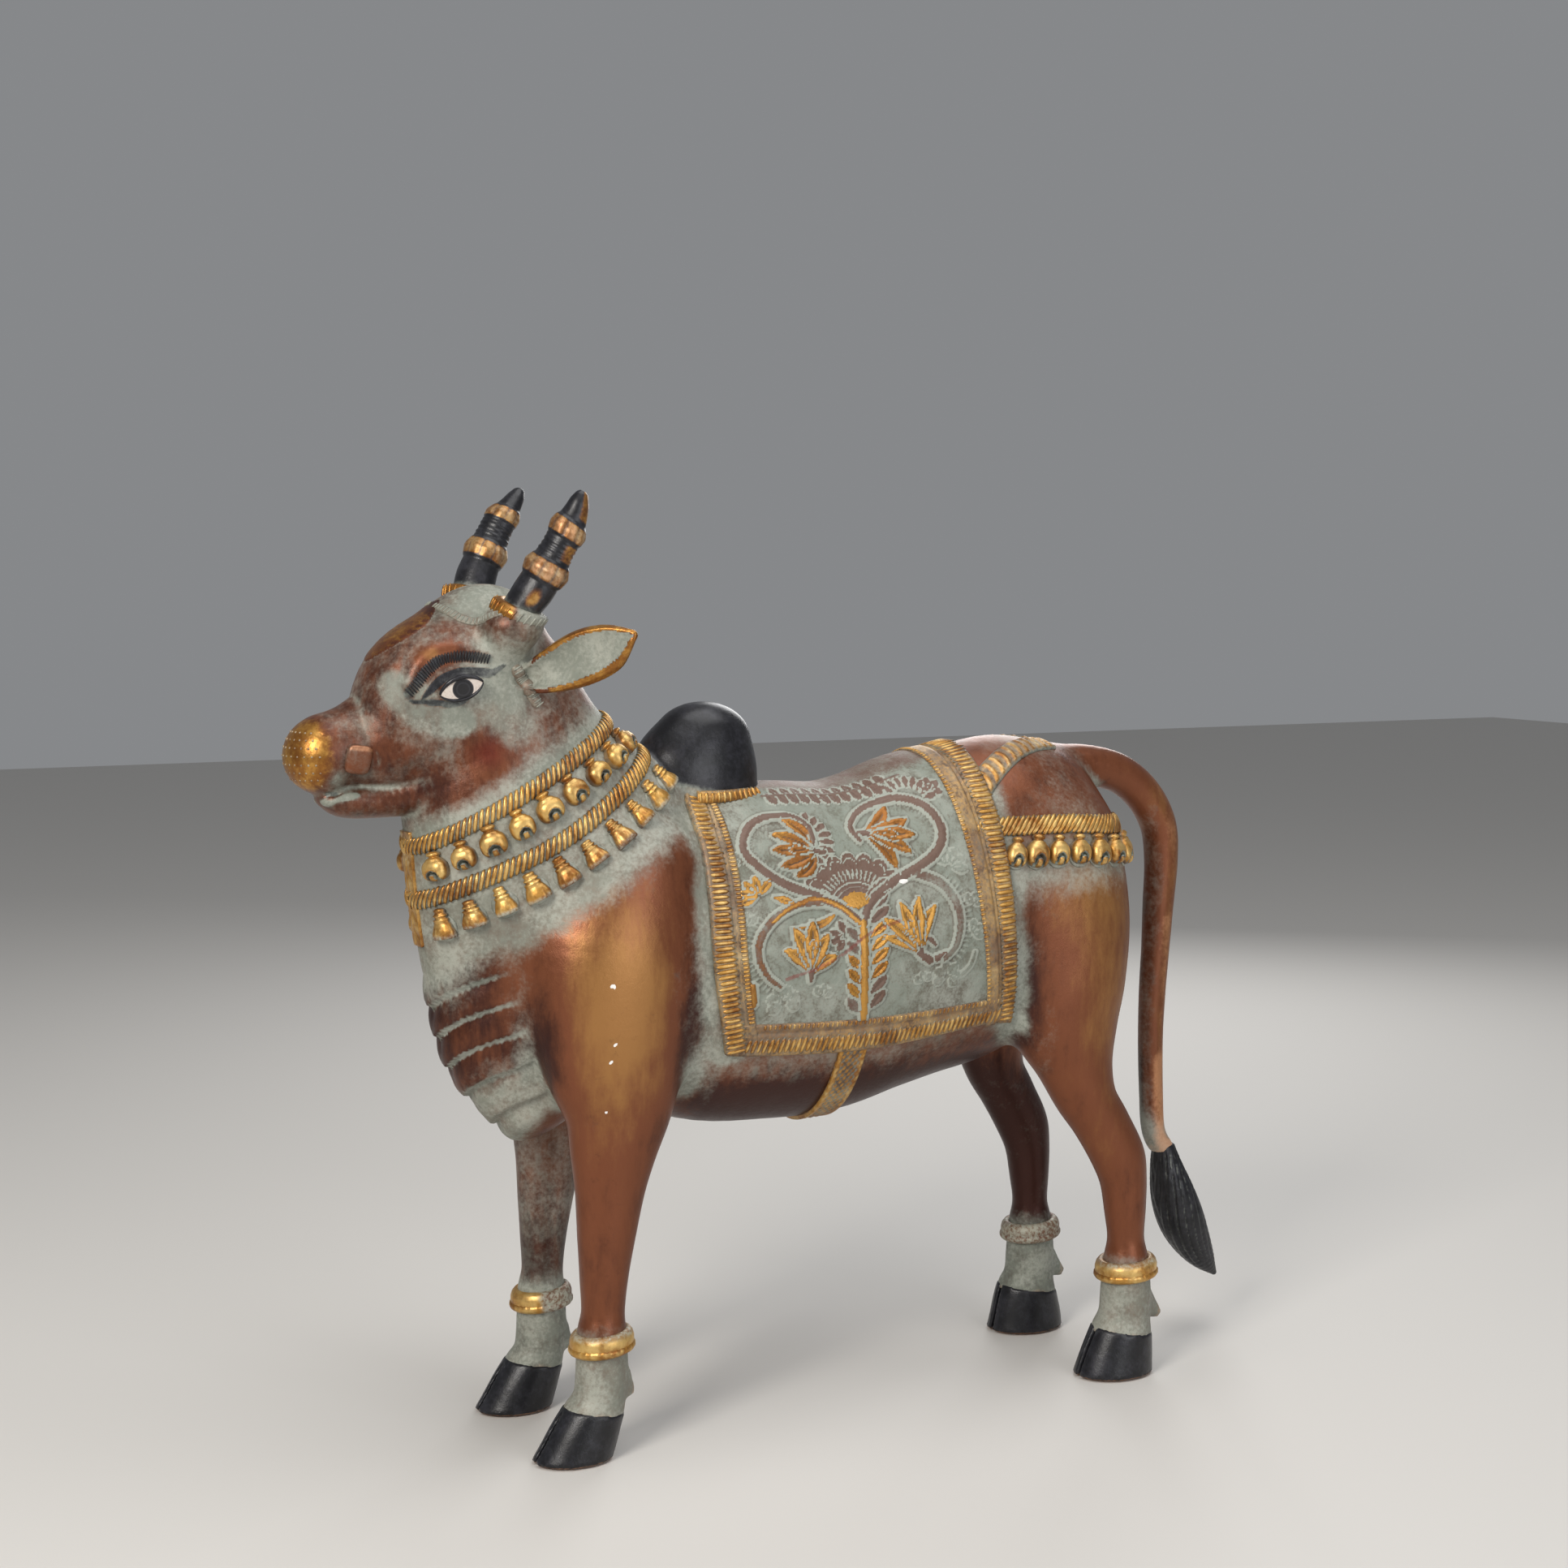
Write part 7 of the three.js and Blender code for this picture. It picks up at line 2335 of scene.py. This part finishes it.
def make_harness():
    """Straps over the rump, the breeching band with its bells, and the collar below the hump."""
    sizes = bpy.context.scene.nandi_sizes
    gold = finish("gilded")
    pitch = sizes.rib_pitch / MM
    # Straps over the rump.
    t = np.linspace(0, 1, 60)[:, None]
    w = np.linspace(-8, 8, 24)[None, :]
    way = unit(np.array([12.0 - 54, 196 - 100]))
    x = 54 + (12 - 54) * t - way[1] * w * -1
    y = 100 + 86 * t + way[0] * w * -1
    start = np.stack([x + 0 * w, y + 0 * w, 400 + 0 * x], axis=-1).reshape(-1, 3)
    at, out = outward(body, start, np.tile([0.0, 0, 1], (len(start), 1)), first=20, last=110)
    at, out = at.reshape(60, 24, 3), out.reshape(60, 24, 3)
    bow = ((t * 86 + 0.05 * w**2) % 7.2) / 7.2
    tick = peak(bow, 0.5, 0.14) * (1 - ease(np.abs(w), 5.4, 7.6))
    edge = ease(8 - np.abs(w) + 0 * t, 0, 1.4)
    lift = 1.0 + 1.4 * edge + 0.9 * tick
    crest = 0.25 + 0.6 * tick - 0.15 * (1 - edge)
    strap = plate(at, out, lift, 3.0, crest=crest, faded=0.4 + 0 * tick)
    settle("rump_straps", strap, gold)
    # Breeching band: a twisted rope with bells on a scalloped backing.
    at, out = breech(BAND_HEIGHT)
    count = int(line_length(at) / (pitch * 0.95))
    settle("breeching_band", keep_right(rope(at, out, 8.0, 3.2, count, gold, 41, 0.75, 0.15)), gold)
    top, _, _ = spread(at, out, 10, 0.17, 0.95)
    at, out = breech(BAND_HEIGHT - 19)
    below, face, _ = spread(at, out, 10, 0.17, 0.95)
    run = unit(below - top)
    bell = round_bell(sizes.bell / MM * 0.92)
    bells = repeated(bell, below + face * 2.4, face, run, (1.25, 1, 1), gold, 0.08, 43)
    bells.paint(faded=0.12)
    settle("breeching_bells", bells, gold)
    paint = finish("patina")
    shells = repeated(scallop(10, 2.0), below + run * 4 - face * 0.2, face, run, (1, 1, 1), paint, 0.06, 45)
    shells.paint(wash=0.85, glow=0.3)
    settle("bell_backing", keep_right(shells), paint)
    # Hump collar with ticks.
    b = np.linspace(-0.5, 0.95, 40)
    start = np.stack([0 * b, 0 * b - 94, 0 * b + 447], axis=1)
    at, out = outward(body, start, np.stack([np.cos(b), np.sin(b), 0 * b], axis=1), first=15, last=70)
    collar = tube(at + out * 0.3, np.tile([3.4, 5.0], (40, 1)), 10, out)
    collar.paint(crest=0.4 * collar.marks["crest"])
    at, out, run = spread(at, out, 12, 0.03, 0.97)
    rib = capsule(8.6, 2.6, 1.5, rings=7, sides=6)
    ticks = repeated(rib, at + out * 3.0, out, np.cross(out, run), (1, 1, 1), gold, 0.1, 47)
    whole = keep_right(collar.plus(ticks))
    whole.paint(faded=0.3)
    settle("hump_collar", whole, gold)


# Place of each fetlock and radius of its ring.
ANKLES = ((59, -196, 17.2), (64, 228, 18.4))


def make_anklets():
    """A fat ring over each fetlock with a second ticked roll round its lower half."""
    around, sides = 96, 14
    a = np.linspace(0, 2 * np.pi, around + 1)[:-1]
    turn = np.repeat(np.arange(around), sides)
    rings = []
    for (x0, y0, radius), sign, low in itertools.product(ANKLES, (1, -1), (False, True)):
        z0, thick, high = (76.2, 5.6, 4.2) if low else (80.5, 4.6, 7.2)
        x = sign * x0 + radius * np.cos(a)
        ring = np.stack([x, y0 + (radius + 0.6) * np.sin(a), z0 + 1.8 * np.sin(a)], axis=1)
        part = tube(
            ring, np.tile([high, thick], (around, 1)), sides, np.tile([0.0, 0, 1], (around, 1)), hoop=True
        )
        rise = part.v[:, 2] - ring[turn][:, 2]
        meet = peak(rise, 2.6, 1.1) * low
        tick = (turn % 3 == 0) * peak(rise, 1.0, 2.2) * low
        part.v = part.v + unit(part.v - ring[turn]) * (-0.6 * tick - 0.3 * meet)[:, None]
        faded = 0.1 if low else 0.1 + 0.6 * ease(rise, 1, 6)
        if sign < 0:
            faded = 1.0 - 0.9 * ease(y0 - part.v[:, 1], 2, 14) * (y0 < 0)
        part.paint(crest=0.9 - 0.55 * meet - 0.25 * tick, faded=faded)
        rings.append(part)
    settle("anklets", together(rings), finish("gilded"), mirror=False)


# Stage

CAMERA_AT = (1.6256, -0.8209, 0.6118)
CAMERA_TURN = 0.4536
CAMERA_DOWN = math.radians(5.0878)
CAMERA_LENS = 57.76


def make_stage():
    scene = bpy.context.scene
    mesh = bpy.data.meshes.new("floor")
    mesh.from_pydata([(-6, -6, -0.001), (6, -6, -0.001), (6, 6, -0.001), (-6, 6, -0.001)], [], [(0, 1, 2, 3)])
    floor = bpy.data.objects.new("floor", mesh)
    scene.collection.objects.link(floor)
    s = Shade("floor")
    mesh.materials.append(s.done(base_color=(0.62, 0.6, 0.57), roughness=0.75))

    data = bpy.data.cameras.new("camera")
    data.lens = CAMERA_LENS
    data.sensor_width = 36
    data.clip_end = 50
    camera = bpy.data.objects.new("camera", data)
    p, a = CAMERA_DOWN, CAMERA_TURN
    back = Vector((math.cos(p) * math.cos(a), -math.cos(p) * math.sin(a), math.sin(p)))
    right = Vector((math.sin(a), math.cos(a), 0))
    up = back.cross(right)
    place = Matrix((right, up, back)).transposed().to_4x4()
    place.translation = Vector(CAMERA_AT) + Vector((0, SHIFT_Y * MM, 0))
    camera.matrix_world = place
    scene.collection.objects.link(camera)
    scene.camera = camera

    def softbox(name, at, target, size, power, colour):
        light = bpy.data.lights.new(name, "AREA")
        light.shape = "RECTANGLE"
        light.size, light.size_y = size
        light.energy = power
        light.color = colour
        obj = bpy.data.objects.new(name, light)
        way = Vector(at) - Vector(target)
        obj.location = at
        obj.rotation_euler = way.to_track_quat("Z", "Y").to_euler()
        scene.collection.objects.link(obj)

    softbox("key", (1.25, -1.75, 1.55), (0, -0.1, 0.35), (0.7, 1.0), 40, (1, 0.96, 0.9))
    softbox("fill", (2.3, 0.5, 0.9), (0, 0.05, 0.3), (1.3, 1.5), 17, (0.97, 0.98, 1))
    softbox("top", (0.4, 0.2, 2.2), (0, 0, 0.3), (1.6, 1.6), 22, (1, 1, 1))
    softbox("rim", (-1.5, 1.2, 1.2), (0, 0, 0.35), (0.8, 1.2), 12, (1, 1, 1))
    world = bpy.data.worlds.new("studio")
    world.use_nodes = True
    world.node_tree.nodes["Background"].inputs["Color"].default_value = (0.8, 0.82, 0.85, 1)
    world.node_tree.nodes["Background"].inputs["Strength"].default_value = 0.3
    scene.world = world
    scene.view_settings.view_transform = "Standard"


# Operators, panel and registration


def step(name, label, text, *makers):
    """An operator that runs the makers in order."""

    def execute(self, context):
        for make in makers:
            make()
        return {"FINISHED"}

    members = {
        "bl_idname": "nandi." + name,
        "bl_label": label,
        "bl_options": {"REGISTER", "UNDO"},
        "__doc__": text,
        "execute": execute,
    }
    return type("NANDI_OT_" + name, (bpy.types.Operator,), members)


STEPS = [
    step("stage", "Stage", "Floor, lights and camera", make_stage),
    step("body", "Body", "Fore and hind quarters of the casting with the dewlap folds", make_body),
    step("hooves", "Hooves", "Four black cloven hooves", make_hooves),
    step("tuft", "Tail Tuft", "Black tuft of hair at the end of the tail", make_tuft),
    step("head", "Head", "Head with its ears, mouth and nostrils", make_head),
    step("horns", "Horns", "Beaded horns", make_horns),
    step("eyes", "Eyes", "Painted eyes with lids and lashes", make_eyes),
    step("head_trim", "Head Ornaments", "Nose dots, bands, horn collars and mouth boss", make_head_trim),
    step("cloth", "Saddle Cloth", "Carved cloth, ribbed borders and girth strap", make_cloth),
    step("necklaces", "Necklaces", "Ropes, bells, tassels and throat strip", make_necklaces),
    step("harness", "Harness", "Rump straps, breeching band with bells and hump collar", make_harness),
    step("anklets", "Anklets", "Rings over the fetlocks", make_anklets),
]


class NANDI_PT_panel(bpy.types.Panel):
    """Lists the steps that make the bull"""

    bl_idname = "NANDI_PT_panel"
    bl_label = "Nandi Bull"
    bl_space_type = "VIEW_3D"
    bl_region_type = "UI"
    bl_category = "Nandi"

    def draw(self, context):
        layout = self.layout
        for group in (context.scene.nandi_sizes, context.scene.nandi_colours):
            for key in type(group).__annotations__:
                layout.prop(group, key)
        for operator in STEPS:
            layout.operator(operator.bl_idname)


CLASSES = [NandiColours, NandiSizes, *STEPS, NANDI_PT_panel]


def register():
    for cls in CLASSES:
        bpy.utils.register_class(cls)
    bpy.types.Scene.nandi_colours = bpy.props.PointerProperty(type=NandiColours)
    bpy.types.Scene.nandi_sizes = bpy.props.PointerProperty(type=NandiSizes)


def unregister():
    del bpy.types.Scene.nandi_sizes
    del bpy.types.Scene.nandi_colours
    for cls in reversed(CLASSES):
        bpy.utils.unregister_class(cls)


def main():
    register()
    for operator in STEPS:
        getattr(bpy.ops.nandi, operator.bl_idname.split(".")[1])()


if __name__ == "__main__":
    main()
